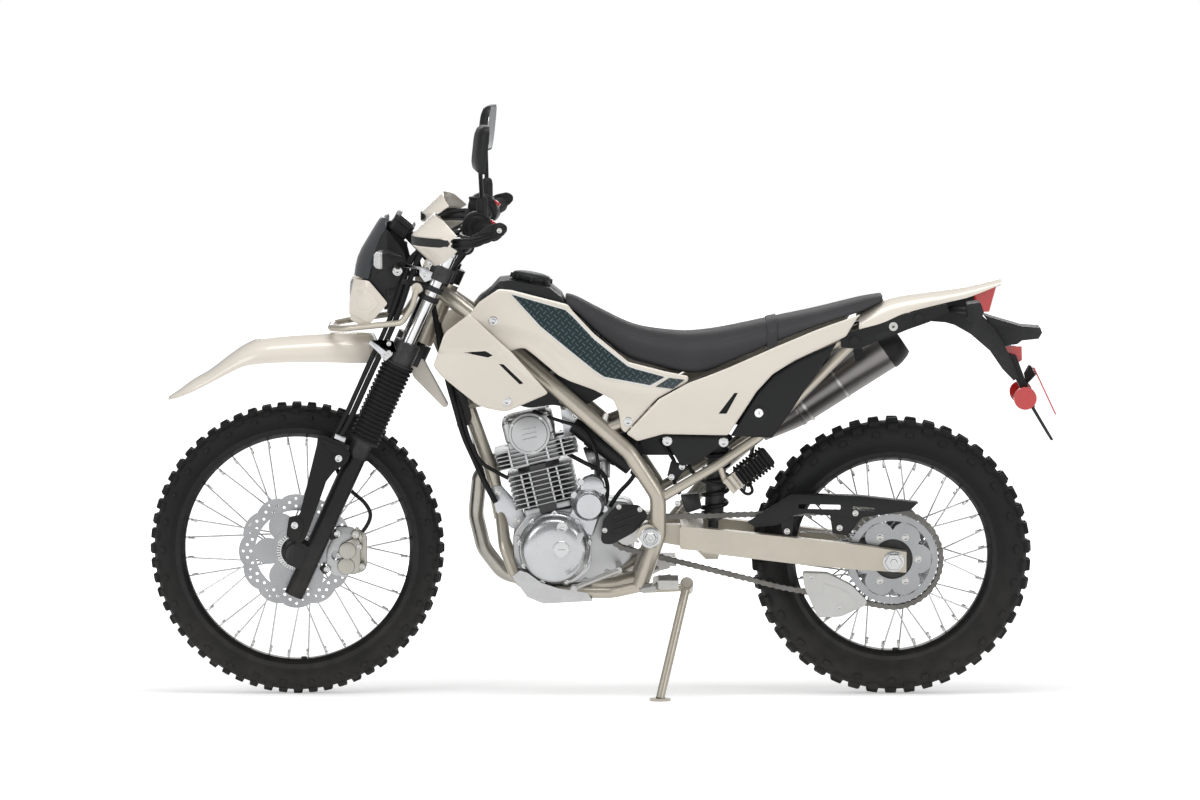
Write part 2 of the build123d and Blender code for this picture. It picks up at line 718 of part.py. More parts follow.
# swingarm: a pivot tube, a cross beam and two arms that taper to the rear axle
barrel_half = frame_half - frame_radius - seat_gap
barrel = cross_rod(pivot[0], pivot[1], -barrel_half, barrel_half, 21)
webs = [slab([(112, 402), (215, 402), (215, 350), (112, 368)], y, y + 24) for y in (-80, 56)]
beam = slab([(195, 402), (252, 398), (252, 345), (195, 350)], -swingarm_half, swingarm_half, corner=6)
arm_outline = [(245, 398), (444, 377), (606, 359), (712, 343), (712, 296), (606, 302), (474, 314), (245, 342)]
arm = slab(arm_outline, swingarm_half - swingarm_wall, swingarm_half)
spindle = cross_rod(rear_axle[0], rear_axle[1], -swingarm_half - 14, swingarm_half + 14, axle_radius)
nuts = [cross_rod(rear_axle[0], rear_axle[1], y, y + 13, 17) for y in (-swingarm_half - 13, swingarm_half)]
rear_spacers = []
for low, high in ((sprocket_y - 1, -swingarm_half + swingarm_wall), (rear_hub_half + disc_width + 1, swingarm_half - swingarm_wall)):
    rear_spacers.append(cross_rod(rear_axle[0], rear_axle[1], min(low, high), max(low, high), 15))
links = [slab([(218, 352), (292, 348), (284, 314), (256, 314)], y, y + 6) for y in (-24, 18)]
swingarm = joined([barrel] + webs + [beam] + both(arm) + [spindle] + links + nuts + rear_spacers)

# ---- engine: crankcase with its side covers, finned cylinder and head, tilted forwards ----
case_outline = [
    (-186, 306),
    (-186, 378),
    (-152, 424),
    (-60, 436),
    (20, 455),
    (80, 450),
    (94, 425),
    (92, 345),
    (78, 312),
    (36, 284),
    (-20, 262),
    (-120, 260),
    (-168, 280),
]
countershaft = (75, 381)
crankcase = slab(case_outline, -crankcase_half, crankcase_half)
output_shaft = cross_rod(countershaft[0], countershaft[1], chain_y - 12, -crankcase_half + 1, 11)
front_sprocket = cross_rod(
    countershaft[0], countershaft[1], sprocket_y, sprocket_y + sprocket_width, front_pitch - chain_height / 2 - seat_gap * 2
)
crankcase = less(joined([crankcase, output_shaft, front_sprocket]), main_frame, swingarm)


def bulged_cover(x, z, y_face, side, steps):
    """A round engine cover: discs of falling radius stacked outwards from the case."""
    discs = []
    y = y_face
    for radius, thickness in steps:
        low, high = sorted((side * y, side * (y + thickness)))
        discs.append(cross_rod(x, z, low, high, radius))
        y += thickness
    return joined(discs)


face = crankcase_half
left_cover = joined(
    [
        bulged_cover(-91, 347, face, -1, [(80, 38), (76, 26), (60, 12), (20, 4)]),
        bulged_cover(-12, 449, face, -1, [(38, 30), (30, 8)]),
        bulged_cover(-5, 487, face, -1, [(28, 24)]),
        slab([(-60, 400), (-30, 480), (20, 450), (-12, 380)], -face - 22, -face),
    ]
)
right_cover = joined(
    [
        bulged_cover(-24, 362, face, 1, [(84, 36), (78, 18), (60, 8)]),
        bulged_cover(-112, 350, face, 1, [(66, 34), (58, 10)]),
    ]
)
tilt_angle = math.radians(cylinder_tilt)
cylinder_foot = (-104, 430)
cylinder_place = Pos(cylinder_foot[0], 0, cylinder_foot[1]) * Rot(0, -cylinder_tilt, 0)
fin_thickness = 3.0
barrel_fins = 8
barrel_fin_pitch = 11.0
head_fins = 5
head_fin_pitch = 9.5
barrel_height = 112.0
head_height = 60.0


def block(width, depth, z_low, z_high, x=0.0):
    """A block square to the cylinder, in the cylinder's own frame."""
    return Pos(x, 0, z_low) * Box(width, depth, z_high - z_low, align=(Align.CENTER, Align.CENTER, Align.MIN))


barrel_pieces = [Pos(0, 0, 0) * Cylinder(50, barrel_height, align=(Align.CENTER, Align.CENTER, Align.MIN)), block(112, 112, 0, 14)]
for fin in range(barrel_fins):
    low = 20 + fin * barrel_fin_pitch
    plate = block(132, 140, low, low + fin_thickness)
    barrel_pieces.append(fillet(plate.edges().filter_by(Axis.Z), 16))
chain_tunnel = block(40, 30, 0, barrel_height)
barrel_pieces.append(Pos(0, -52, 0) * chain_tunnel)
cylinder = less(cylinder_place * joined(barrel_pieces), crankcase)
head_top = barrel_height + head_height
head_pieces = [block(112, 116, barrel_height, head_top)]
for fin in range(head_fins):
    low = barrel_height + 6 + fin * head_fin_pitch
    plate = block(160, 150, low, low + fin_thickness, x=8)
    head_pieces.append(fillet(plate.edges().filter_by(Axis.Z), 18))
cam_box = block(118, 128, head_top, head_top + 52)
head_pieces.append(fillet(cam_box.edges().group_by(Axis.Z)[-1], 12))
head_pieces.append(Pos(0, -64, head_top + 14) * Rot(90, 0, 0) * Cylinder(48, 20))
head_pieces.append(rod((-50, 32, 142), (-92, 38, 128), 22))
head_pieces.append(rod((50, 0, 142), (92, 0, 140), 23))
cylinder_head = cylinder_place * joined(head_pieces)
left_cover = less(left_cover, crankcase, cylinder)
right_cover = less(right_cover, crankcase, cylinder)

front_hanger = slab([(-238, 478), (-220, 484), (-166, 425), (-158, 398), (-186, 384), (-222, 420)], 13, 19)
top_hanger = slab([(-78, 679), (-62, 682), (-30, 652), (-36, 600), (-66, 585)], 34, 40)
hanger_bolt = cross_rod(-48, 604, 18, 40, 7)
hangers = [front_hanger, other_side(front_hanger)]
top_post = rod((-70, 38, 668), (-78, 92, 706), 8)
for piece in both(joined([top_hanger, top_post])):
    hangers.append(piece)
engine_hangers = [less(piece, main_frame, crankcase, cylinder_head, cylinder) for piece in hangers]

throttle = rod((-12, 0, 545), (52, 0, 566), 25)
air_box = joined([slab([(104, 560), (104, 640), (140, 712), (238, 712), (238, 560)], -68, 68, corner=10), rod((40, 0, 562), (112, 0, 590), 32), cross_rod(170, 681, -86, 86, 8)])
throttle = less(throttle, cylinder_head)
air_box = less(air_box, throttle, main_frame, subframe)

# exhaust: a header that leaves the head forwards, dives under the right side and climbs to the silencer
header_points = [
    (-216, 37, 530),
    (-264, 44, 500),
    (-274, 52, 408),
    (-256, 80, 326),
    (-212, 114, 262),
    (-130, 128, 240),
    (20, 134, 243),
    (120, 142, 304),
    (196, 144, 396),
    (290, 146, 506),
    (372, silencer_y, 576),
]
header = bent_bar(header_points, header_radius, [26, 80, 80, 60, 60, 120, 120, 200, 150])
silencer_place = Plane(origin=(466, silencer_y, 638), z_dir=(233, 0, 162))
silencer_length = 250.0
can = silencer_place * Cone(silencer_front_radius, silencer_rear_radius, silencer_length, align=(Align.CENTER, Align.CENTER, Align.MIN))
taper = silencer_place * Pos(0, 0, -95) * Cone(
    header_radius + 3, silencer_front_radius, 95.5, align=(Align.CENTER, Align.CENTER, Align.MIN)
)
ring = silencer_place * Pos(0, 0, 8) * Cylinder(silencer_front_radius + 4, 14)
silencer = joined([can, taper, ring])
cap_place = silencer_place * Pos(0, 0, silencer_length)
cap = cap_place * Cone(silencer_rear_radius + 1, silencer_rear_radius - 12, 46, align=(Align.CENTER, Align.CENTER, Align.MIN))
cap = cap - cap_place * Pos(0, 0, 6) * Cylinder(20, 60, align=(Align.CENTER, Align.CENTER, Align.MIN))
header = less(header, cylinder_head, cylinder, silencer)

# ---- rear end running gear ----
spring_low = (270, 330)
shock_run = (spring_low[0], 0, spring_low[1]), (shock_top[0], 0, shock_top[1])
shock_pieces = [rod(shock_run[0], shock_run[1], 9)]
run = Vector(*shock_run[1]) - Vector(*shock_run[0])
coils = 9
for coil in range(coils):
    share = 0.22 + coil * 0.07
    centre = Vector(*shock_run[0]) + run * share
    shock_pieces.append(Plane(origin=centre, z_dir=run) * Cylinder(32, 9))
core_low = Vector(*shock_run[0]) + run * 0.2
core_high = Vector(*shock_run[0]) + run * 0.86
shock_pieces.append(rod(tuple(core_low), tuple(core_high), 26))
shock_pieces.append(cross_rod(spring_low[0], spring_low[1], -17, 17, 14))
shock_pieces.append(cross_rod(shock_top[0], shock_top[1], -17, 17, 18))
shock = less(joined(shock_pieces), swingarm, subframe)


def chain_line():
    """Pins of the chain at even steps round both sprockets, slack towards the guide on the lower run."""
    rear_x, rear_z = rear_axle
    front_x, front_z = countershaft
    slack = (430, 256)
    points = []
    top = math.atan2(rear_z + rear_pitch - front_z - front_pitch, rear_x - front_x) + math.pi / 2
    for step in range(41):
        angle = top + math.radians(0.35) - (math.pi + math.radians(11)) * step / 40
        points.append((rear_x + rear_pitch * math.cos(angle), rear_z + rear_pitch * math.sin(angle)))
    points.append(slack)
    for step in range(21):
        angle = math.radians(256) - (math.radians(256) - top) * step / 20
        points.append((front_x + front_pitch * math.cos(angle), front_z + front_pitch * math.sin(angle)))
    points.append(points[0])
    lengths = [math.dist(points[i], points[i + 1]) for i in range(len(points) - 1)]
    total = sum(lengths)
    links = 2 * round(total / chain_pitch / 2)
    pins = []
    index = 0
    walked = 0.0
    for link in range(links):
        goal = total * link / links
        while walked + lengths[index] < goal:
            walked += lengths[index]
            index += 1
        share = (goal - walked) / lengths[index]
        a, b = points[index], points[index + 1]
        pins.append((a[0] + (b[0] - a[0]) * share, a[1] + (b[1] - a[1]) * share))
    return pins


pins = chain_line()
outer_edge = []
inner_edge = []
for index, pin in enumerate(pins):
    nxt = pins[(index + 1) % len(pins)]
    before = pins[index - 1]
    for place, ahead, behind, half in ((pin, nxt, before, 1.0), (((pin[0] + nxt[0]) / 2, (pin[1] + nxt[1]) / 2), nxt, pin, 0.72)):
        along = (ahead[0] - behind[0], ahead[1] - behind[1])
        size = math.hypot(*along)
        normal = (-along[1] / size, along[0] / size)
        reach = chain_height / 2 * half
        outer_edge.append((place[0] + normal[0] * reach, place[1] + normal[1] * reach))
        inner_edge.append((place[0] - normal[0] * reach, place[1] - normal[1] * reach))
chain = slab(outer_edge, chain_y - chain_width / 2, chain_y + chain_width / 2) - slab(
    inner_edge, chain_y - chain_width, chain_y + chain_width
)

# ---- bodywork: tank, seat and thin covers; each cover is a bent skin trimmed to its outline ----
skin_levels = (590.0, 740.0, 965.0)


def skin(rows, outline, levels=skin_levels):
    """A cover on the left side from rows of x and the half widths at three heights, trimmed to an outline."""
    sections = []
    for x, low, mid, high in rows:
        outer = [(x, -low, levels[0]), (x, -mid, levels[1]), (x, -high, levels[2])]
        inner = [(x, y + panel, z) for _, y, z in reversed(outer)]
        sections.append(outer + inner)
    return lofted(sections) & slab(outline, -260, 0)


def peg(x, z, y_in, y_out, radius=7.0):
    """A mounting boss between two distances from the middle, on the left side."""
    return cross_rod(x, z, -y_out, -y_in, radius)


seat_rows = [  # x, underside, top, half width below, half width above
    (-66, 897, 927, 50, 40),
    (0, 842, 897, 72, 56),
    (76, 781, 860, 88, 70),
    (121, 768, 847, 102, 84),
    (202, 750, 838, 120, 104),
    (253, 752, 841, 126, 110),
    (304, 772, 849, 126, 108),
    (405, 816, 870, 118, 98),
    (506, 857, 891, 106, 86),
    (611, 891, 917, 88, 70),
    (658, 914, 924, 62, 50),
]
sections = []
for x, low, high, wide, narrow in seat_rows:
    height = high - low
    side = [(x, wide, low), (x, wide + 1, low + height * 0.5), (x, narrow + 4, high - height * 0.12), (x, narrow * 0.6, high)]
    sections.append(side + [(x, -y, z) for _, y, z in reversed(side)])
seat = lofted(sections)

tank_outline = [
    (-268, 902),
    (-217, 958),
    (-195, 961),
    (-101, 944),
    (-76, 924),
    (-58, 892),
    (-5, 840),
    (40, 800),
    (54, 756),
    (-8, 728),
    (-95, 766),
    (-200, 856),
]
tank_plan = [(-280, -44), (-205, -78), (-60, -74), (70, -70), (70, 70), (-60, 74), (-205, 78), (-280, 44)]
tank = slab(tank_outline, -90, 90) & plan(tank_plan, 700, 1000)
tank_crown = front_view([(-92, 640), (-92, 915), (-60, 968), (60, 968), (92, 915), (92, 640)], -300, 100)
filler_place = Pos(-145, 0, 953) * Rot(0, 10, 0)
filler = filler_place * Cylinder(44, 22)
tank = less(joined([tank & tank_crown, filler]), main_frame, seat)

cover_rows = [(-300, 146, 152, 92), (-180, 142, 150, 84), (-50, 118, 128, 72), (80, 112, 118, 76), (240, 118, 124, 96)]
cover_outline = [
    (-281, 893),
    (-262, 915),
    (-217, 944),
    (-187, 941),
    (-60, 908),
    (-50, 894),
    (0, 842),
    (40, 810),
    (78, 779),
    (162, 758),
    (214, 748),
    (213, 736),
    (145, 698),
    (71, 616),
    (61, 626),
    (56, 662),
    (44, 692),
    (0, 716),
    (-56, 737),
    (-81, 750),
    (-137, 797),
    (-157, 812),
    (-183, 812),
]
tank_cover = skin(cover_rows, cover_outline)
tank_cover = joined([tank_cover, peg(-150, 862, 74, 140), peg(20, 742, 70, 119)])
tank_cover = less(tank_cover, main_frame, tank, seat, subframe)

shroud_rows = [(-372, 158, 168, 150), (-280, 158, 176, 158), (-190, 146, 168, 150), (-95, 128, 150, 132)]
shroud_outline = [
    (-282, 894),
    (-334, 855),
    (-341, 844),
    (-354, 805),
    (-364, 776),
    (-346, 753),
    (-267, 688),
    (-244, 678),
    (-209, 670),
    (-197, 670),
    (-110, 707),
    (-105, 712),
    (-186, 806),
    (-196, 815),
]
shroud_levels = (665.0, 800.0, 900.0)
shroud = skin(shroud_rows, shroud_outline, shroud_levels)
for slot in ([(-295, 809), (-244, 809), (-226, 797), (-242, 795)], [(-217, 778), (-204, 777), (-158, 733), (-168, 734)]):
    shroud = shroud - slab(slot, -260, 0)
shroud = joined([shroud, peg(-237, 855, 110, 161, 10), peg(-198, 697, 136, 150)])
shroud = less(shroud, main_frame, tank_cover)

side_rows = [(60, 108, 116, 98), (150, 116, 126, 116), (300, 122, 133, 126), (450, 108, 122, 114), (640, 90, 97, 92)]
side_outline = [
    (72.5, 615),
    (98, 598),
    (157, 615),
    (304, 613),
    (369, 714),
    (405, 753),
    (455, 784),
    (555, 829),
    (572, 837),
    (597, 878),
    (606, 887),
    (506, 853),
    (405, 812),
    (304, 768),
    (253, 748),
    (215.5, 745),
    (215, 734),
    (147, 696),
]
side_cover = skin(side_rows, side_outline)
side_cover = side_cover - slab([(283, 663), (299, 663), (325, 711), (318, 711)], -260, 0)
side_cover = less(joined([side_cover, peg(330, 742, 94, 128)]), main_frame, subframe, seat, tank_cover)

panel_rows = [(150, 108, 116, 100), (300, 112, 122, 112), (450, 100, 110, 104), (570, 92, 98, 92)]
panel_outline = [(309, 610), (371, 712), (406, 750), (455, 781), (553, 824), (506, 751), (476, 710), (450, 669), (405, 605)]
battery_outline = [(157, 612), (303, 610), (306, 603), (233, 547), (197, 541), (167, 592)]
side_panel = skin(panel_rows, panel_outline)
battery_cover = skin(panel_rows, battery_outline, (530.0, 600.0, 700.0))
side_panel = less(joined([side_panel, peg(448, 678, 88, 104)]), subframe, side_cover)
battery_cover = less(joined([battery_cover, peg(205, 592, 60, 116)]), air_box, subframe, side_cover)

# tail: an upturned trough over the rails, black brackets below it, an arch that carries lamps and plate
tail_rows = [  # x, lower edge, top, half width
    (602, 853, 880, 94),
    (657, 867, 912, 88),
    (702, 886, 924, 82),
    (803, 911, 937, 66),
    (853, 922, 943, 56),
    (928, 950, 960, 40),
]
sections = []
for x, low, high, half in tail_rows:
    outer = [(x, half, low), (x, half * 0.96, low + (high - low) * 0.6), (x, half * 0.72, high)]
    inner = [
        (x, half * 0.72 - 1, high - panel),
        (x, half * 0.96 - panel, low + (high - low) * 0.6 - 1),
        (x, half - panel, low),
    ]
    right = [(x, -y, z) for _, y, z in reversed(outer)]
    right_inner = [(x, -y, z) for _, y, z in reversed(inner)]
    sections.append(outer + right + right_inner + inner)
tail_cover = less(lofted(sections), seat, side_cover, other_side(side_cover))

bracket_outline = [(560, 832), (583, 846), (655, 866), (705, 885), (800, 909), (806, 893), (762, 868), (700, 846), (600, 806), (562, 810)]
bracket_face = 82.0
tail_bolts = [(592, 826), (680, 858), (738, 877)]  # x, z
tail_bracket = slab(bracket_outline, bracket_face, bracket_face + 5)
bosses = [cross_rod(x, z, 62 if x > 600 else 72, bracket_face + 9, 10) for x, z in tail_bolts]
rack_bolt = tail_bolts[1]
rack_depth = 16.0
rack_nut = less(bosses.pop(1), subframe)
tail_bracket = less(joined([tail_bracket] + bosses), subframe, cross_rod(*rack_bolt, 60, bracket_face + 12, 10))
rack_nut = rack_nut - cross_rod(*rack_bolt, bracket_face + 9 - rack_depth, bracket_face + 10, rack_bolt_radius)
hanger = joined([slab([(588, 826), (612, 832), (622, 764), (602, 760)], 87, 92), cross_rod(611, 770, 88, 112, 9)])
tail_bracket_right = less(joined([tail_bracket, hanger]), silencer)
tail_cover = less(tail_cover, tail_bracket, other_side(tail_bracket), subframe, *both(rack_nut))

arch_outline = [
    (345, 470),
    (372, 600),
    (440, 700),
    (560, 788),
    (700, 840),
    (762, 866),
    (801, 863),
    (822, 857),
    (859, 836),
    (903, 798),
    (932, 756),
    (958, 729),
    (969, 737),
    (950, 783),
    (932, 819),
    (911, 851),
    (880, 880),
    (866, 886),
    (866, 926),
    (806, 924),
    (738, 900),
    (735, 866),
    (700, 844),
    (558, 792),
    (437, 703),
    (368, 601),
    (341, 471),
]
arch = less(slab(arch_outline, -46, 46), subframe)
plate_arm = slab([(944, 792), (964, 786), (1008, 668), (996, 664), (962, 736)], -40, 40)
plate_lamp = slab([(889, 878), (977, 852), (1019, 849), (1023, 838), (1015, 824), (977, 820), (967, 812), (938, 808), (912, 846)], -34, 34)
lower_flap = slab([(997, 669), (1004, 671), (1049, 595), (1043, 593)], -60, 60)
reflector_arm = cross_rod(986, 691, 30, 62, 6)
rear_fender = less(
    joined([arch, plate_arm, plate_lamp, lower_flap, reflector_arm, other_side(reflector_arm)]), tail_bracket, other_side(tail_bracket), *both(rack_nut)
)
for side in (-1, 1):
    rear_fender = rear_fender - rod((940, side * 26, 690), (1040, side * 26, 741), plate_bolt_radius)
tail_lamp = less(slab([(866, 938), (917, 946), (901, 887), (868, 886)], -40, 40), tail_cover, rear_fender)
tail_cover = less(tail_cover, rear_fender)
number_plate = slab([(1000, 762), (1003, 763), (1054, 655), (1051, 654)], -72, 72)
plate_posts = [slab([(985, 740), (996, 760), (1001.5, 757), (1011, 738), (990, 716)], y, y + 8) for y in (-12, 4)]
rear_fender = joined([rear_fender] + plate_posts) - number_plate
box_reflector = less(slab([(938, 806), (977, 806), (978, 774), (960, 764)], -28, 28), rear_fender)
round_reflector = cross_rod(983, 691, 62, 72, 26)
reflectors = [box_reflector] + both(less(round_reflector, rear_fender))

rear_indicators = []
for side in (-1, 1):
    near, far = sorted((side * 108, side * 172))
    housing = slab([(843, 880), (843, 917), (872, 921), (880, 899), (872, 877)], near, far, corner=4)
    stalk = rod((812, side * 44, 893), (852, side * 116, 896), 7)
    rear_indicators.append(less(joined([housing, stalk]), rear_fender, tail_bracket, other_side(tail_bracket), *both(rack_nut)))

# ---- chain guards, sprocket cover, guide and the small electrical block ----
guard_plate_outline = [(348, 409), (358, 415), (448, 473), (605, 469), (739, 454), (721, 436), (595, 418), (484, 430), (453, 424), (418, 402), (368, 397)]
guard_plate = slab(guard_plate_outline, -90, -87) - slab([(466, 450), (560, 449), (560, 439), (466, 440)], -100, -80)
guard_lip = slab([(448, 473), (605, 469), (739, 454), (739, 451), (605, 466), (449, 470)], -90, -58)
guard_foot = slab([(537, 432), (544, 383), (579, 378), (620, 430)], -91, -87)
guard_boss = [cross_rod(x, z, -94, -86, 8) for x, z in ((560, 374), (440, 386))]
guard_tab = slab([(425, 420), (455, 424), (452, 380), (430, 380)], -90, -87)
chain_guard = less(joined([guard_plate, guard_lip, guard_foot, guard_tab] + guard_boss), swingarm)
guide_outline = [(476, 292), (534, 290), (589, 262), (624, 227), (622, 217), (564, 190), (512, 188), (481, 256)]
guide = slab(guide_outline, -88, -54)
guide_room = slab([(460, 272), (560, 252), (640, 236), (640, 190), (560, 206), (460, 226)], chain_y - 12, chain_y + 12)
guide_tie = slab([(486, 320), (520, 318), (520, 288), (486, 288)], -88, -84)
chain_guide = less(joined([guide - guide_room, guide_tie]), swingarm)
cover_plate_outline = [(15, 368), (20, 414), (45, 444), (60, 452), (101, 450), (121, 432), (119, 418), (91, 387), (40, 359), (22, 360)]
sprocket_cover = slab(cover_plate_outline, -100, -96)
posts = [cross_rod(x, z, -97, -crankcase_half + 1, 6) for x, z in ((24, 396), (56, 446), (98, 442))]
sprocket_cover = less(joined([sprocket_cover] + posts), crankcase, main_frame, left_cover, swingarm)

block_centre = Pos(346, -86, 522) * Rot(0, -38, 0)
rectifier = block_centre * Box(104, 34, 38)
for fin in range(7):
    rectifier = rectifier - block_centre * Pos(-39 + fin * 13, -12, 0) * Box(6, 14, 60)
rectifier_stay = rod((300, -88, 500), (286, -98, 540), 7)
rectifier = less(joined([rectifier, rectifier_stay]), subframe, rear_fender)

# ---- skid plate, pegs, pedals and side stand ----
skid_outline = [(-186, 284), (-170, 298), (-152, 292), (-121, 269), (-81, 256), (-15, 246), (-5, 229), (-116, 223), (-152, 238)]
skid_wall = slab(skid_outline, cradle_half + cradle_radius + 0.3, cradle_half + cradle_radius + 3.3)
skid_floor = slab([(-188, 284), (-153, 236), (-116, 221), (-5, 227), (-5, 230), (-116, 224), (-151, 239), (-185, 286)], -91.3, 91.3)
skid_plate = less(joined([skid_floor] + both(skid_wall)), main_frame)

peg_x = 168
peg_z = 284
peg_inner = 136.0
peg_outer = 222.0
pegs = []
for side in (-1, 1):
    arm = rod((112, side * 108, 258), (peg_x - 22, side * 142, 270), 10)
    ear = slab([(peg_x - 38, 258), (peg_x - 34, 290), (peg_x + 6, 296), (peg_x + 8, 270)], *sorted((side * 132, side * 142)))
    tread = Pos(peg_x, side * (peg_inner + peg_outer) / 2, peg_z) * Box(46, peg_outer - peg_inner, 20)
    for notch in range(4):
        tread = tread - Pos(peg_x, side * (peg_inner + 18 + notch * 19), peg_z + 10) * Box(40, 9, 12)
    pegs.append(less(joined([arm, ear, tread]), main_frame))

shift_shaft = cross_rod(56, 307, -152, -crankcase_half + 3, 7)
shift_arm = rod((56, -148, 307), (-46, -152, 267), 6)
shift_toe = rod((-46, -146, 267), (-46, -186, 268), 8)
gear_lever = less(joined([shift_shaft, shift_arm, shift_toe]), crankcase, left_cover)
pedal_shaft = cross_rod(84, 240, 92, 174, 7)
pedal_arm = rod((84, 168, 240), (-46, 172, 268), 7)
pedal_pad = Pos(-52, 180, 272) * Box(30, 40, 12)
brake_pedal = less(joined([pedal_shaft, pedal_arm, pedal_pad]), main_frame, pegs[1])

rear_caliper = slab([(596, 372), (590, 420), (612, 446), (650, 440), (654, 404), (640, 372)], 50, 90)
rear_disc_room = at_rear_axle(turned([(rear_hub_half - 3, 1), (rear_hub_half - 3, 116), (rear_hub_half + 7, 116), (rear_hub_half + 7, 1)]))
caliper_tie = slab([(600, 380), (640, 376), (652, 345), (600, 352)], 78, 84)
rear_caliper = less(joined([rear_caliper, caliper_tie]), swingarm, rear_disc_room)

stand_pivot = Vector(211, -129, 271)
stand_axis = Vector(-0.033, -0.916, 0.399).normalized()
lean_angle = math.radians(lean)
leg_way = Vector(-58, -97, -235)
leg_reach = (stand_pivot.Z + stand_pivot.Y * math.tan(lean_angle)) / -(leg_way.Z + leg_way.Y * math.tan(lean_angle))
foot_centre = tuple(stand_pivot + leg_way * leg_reach)
sole = Vector(0, math.sin(lean_angle), math.cos(lean_angle))
foot_disc = Plane(origin=foot_centre, z_dir=sole) * Cylinder(
    stand_foot_radius, stand_foot_height, align=(Align.CENTER, Align.CENTER, Align.MIN)
)
eye_half = stand_radius + 1.0
stand_eye = Plane(origin=stand_pivot - stand_axis * eye_half, z_dir=stand_axis) * Cylinder(
    15, 2 * eye_half, align=(Align.CENTER, Align.CENTER, Align.MIN)
)
leg_end = Vector(*foot_centre) + sole * (stand_foot_height - 1)
stand_leg = rod(tuple(stand_pivot), tuple(leg_end), stand_radius)
stand_bore = Plane(origin=stand_pivot - stand_axis * 30, z_dir=stand_axis) * Cylinder(
    6 + running_clearance, 60, align=(Align.CENTER, Align.CENTER, Align.MIN)
)
under_foot = Plane(origin=foot_centre, z_dir=sole) * Pos(0, 0, -50) * Box(200, 200, 100)
side_stand = less(joined([stand_eye, stand_leg, foot_disc]), stand_bore, under_foot)
boss_length = 22.0
boss_start = stand_pivot - stand_axis * (eye_half + 0.5 + boss_length)
stand_boss = Plane(origin=boss_start, z_dir=stand_axis) * Cylinder(15, boss_length, align=(Align.CENTER, Align.CENTER, Align.MIN))
stand_pin = Plane(origin=boss_start, z_dir=stand_axis) * Cylinder(
    6, boss_length + 2 * eye_half + 1, align=(Align.CENTER, Align.CENTER, Align.MIN)
)
stand_head = Plane(origin=stand_pivot + stand_axis * (eye_half + 0.5), z_dir=stand_axis) * Cylinder(
    10, 5, align=(Align.CENTER, Align.CENTER, Align.MIN)
)
stand_carrier = rod((110, -102, 256), tuple(boss_start + stand_axis * boss_length * 0.45), 9)
stand_bracket = less(joined([stand_carrier, stand_boss, stand_pin, stand_head]), main_frame, swingarm, pegs[0])

parts["main_frame"] = joined([main_frame, stand_bracket] + engine_hangers)
parts["subframe"] = joined([subframe, rectifier])
parts["swingarm"] = joined([swingarm, rear_caliper])
parts["crankcase"] = crankcase
parts["engine_side_covers"] = [left_cover, right_cover]
parts["cylinder"] = cylinder
parts["cylinder_head"] = cylinder_head
parts["air_box"] = [air_box, throttle]
parts["exhaust_header"] = header
parts["silencer"] = joined([silencer, cap])
parts["rear_shock"] = shock
parts["chain"] = chain
parts["chain_guard"] = [chain_guard, sprocket_cover, chain_guide]
parts["fuel_tank"] = tank
parts["tank_covers"] = both(tank_cover)
parts["shrouds"] = both(shroud)
parts["side_covers"] = both(side_cover)
parts["side_panels"] = both(side_panel) + both(battery_cover)
parts["seat"] = seat
parts["tail_cover"] = tail_cover
parts["rear_fender"] = [joined([rear_fender] + rear_indicators), other_side(tail_bracket), tail_bracket_right]
parts["rack_nuts"] = both(rack_nut)
parts["tail_lamp"] = tail_lamp
parts["plate_and_reflectors"] = [number_plate] + reflectors
parts["skid_plate"] = skid_plate
parts["foot_controls"] = pegs + [gear_lever, brake_pedal]
parts["side_stand"] = side_stand
# ---- the machine leans on its stand, and the origin goes to the middle of the footprint ----
tilt = Rot(lean, 0, 0)
leaned = {}
for name, shape in parts.items():
    solids = []
    for piece in shape if isinstance(shape, list) else [shape]:
        solids.extend((tilt * piece).solids())
    leaned[name] = solids
boxes = [solid.bounding_box() for solids in leaned.values() for solid in solids]
lows = [min(getattr(box.min, axis) for box in boxes) for axis in "XYZ"]
highs = [max(getattr(box.max, axis) for box in boxes) for axis in "XYZ"]
origin_shift = (-(lows[0] + highs[0]) / 2, -(lows[1] + highs[1]) / 2, -lows[2])

os.makedirs("parts", exist_ok=True)
for name, solids in leaned.items():
    placed = [Pos(*origin_shift) * solid for solid in solids]
    export_step(placed[0] if len(placed) == 1 else Compound(children=placed), f"parts/{name}.step")
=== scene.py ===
"""Dual sport motorcycle parked on its side stand: the visual model, put together in the order of assembly."""

import math

import bpy
from mathutils import Matrix, Vector


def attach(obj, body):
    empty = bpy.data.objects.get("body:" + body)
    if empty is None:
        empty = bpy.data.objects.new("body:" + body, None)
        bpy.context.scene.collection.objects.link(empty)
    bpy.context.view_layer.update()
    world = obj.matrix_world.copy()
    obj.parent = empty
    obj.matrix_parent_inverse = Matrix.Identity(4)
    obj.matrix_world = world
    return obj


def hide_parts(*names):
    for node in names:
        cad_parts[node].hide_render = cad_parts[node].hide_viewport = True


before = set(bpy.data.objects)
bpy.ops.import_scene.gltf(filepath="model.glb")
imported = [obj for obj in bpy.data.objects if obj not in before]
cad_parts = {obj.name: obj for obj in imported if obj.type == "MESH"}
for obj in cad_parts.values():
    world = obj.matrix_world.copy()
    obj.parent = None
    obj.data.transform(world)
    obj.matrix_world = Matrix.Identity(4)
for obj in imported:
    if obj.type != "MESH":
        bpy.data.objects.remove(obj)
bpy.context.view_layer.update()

# ---- studio ----
# A plain white sweep of painted board under large soft boxes. It isn't part of the machine.
# A long box overhead draws the bright lines along the tank, seat and fenders.
LEAN = math.radians(5)
SHIFT = Vector((-0.01675, 0.096260603, 0.0))
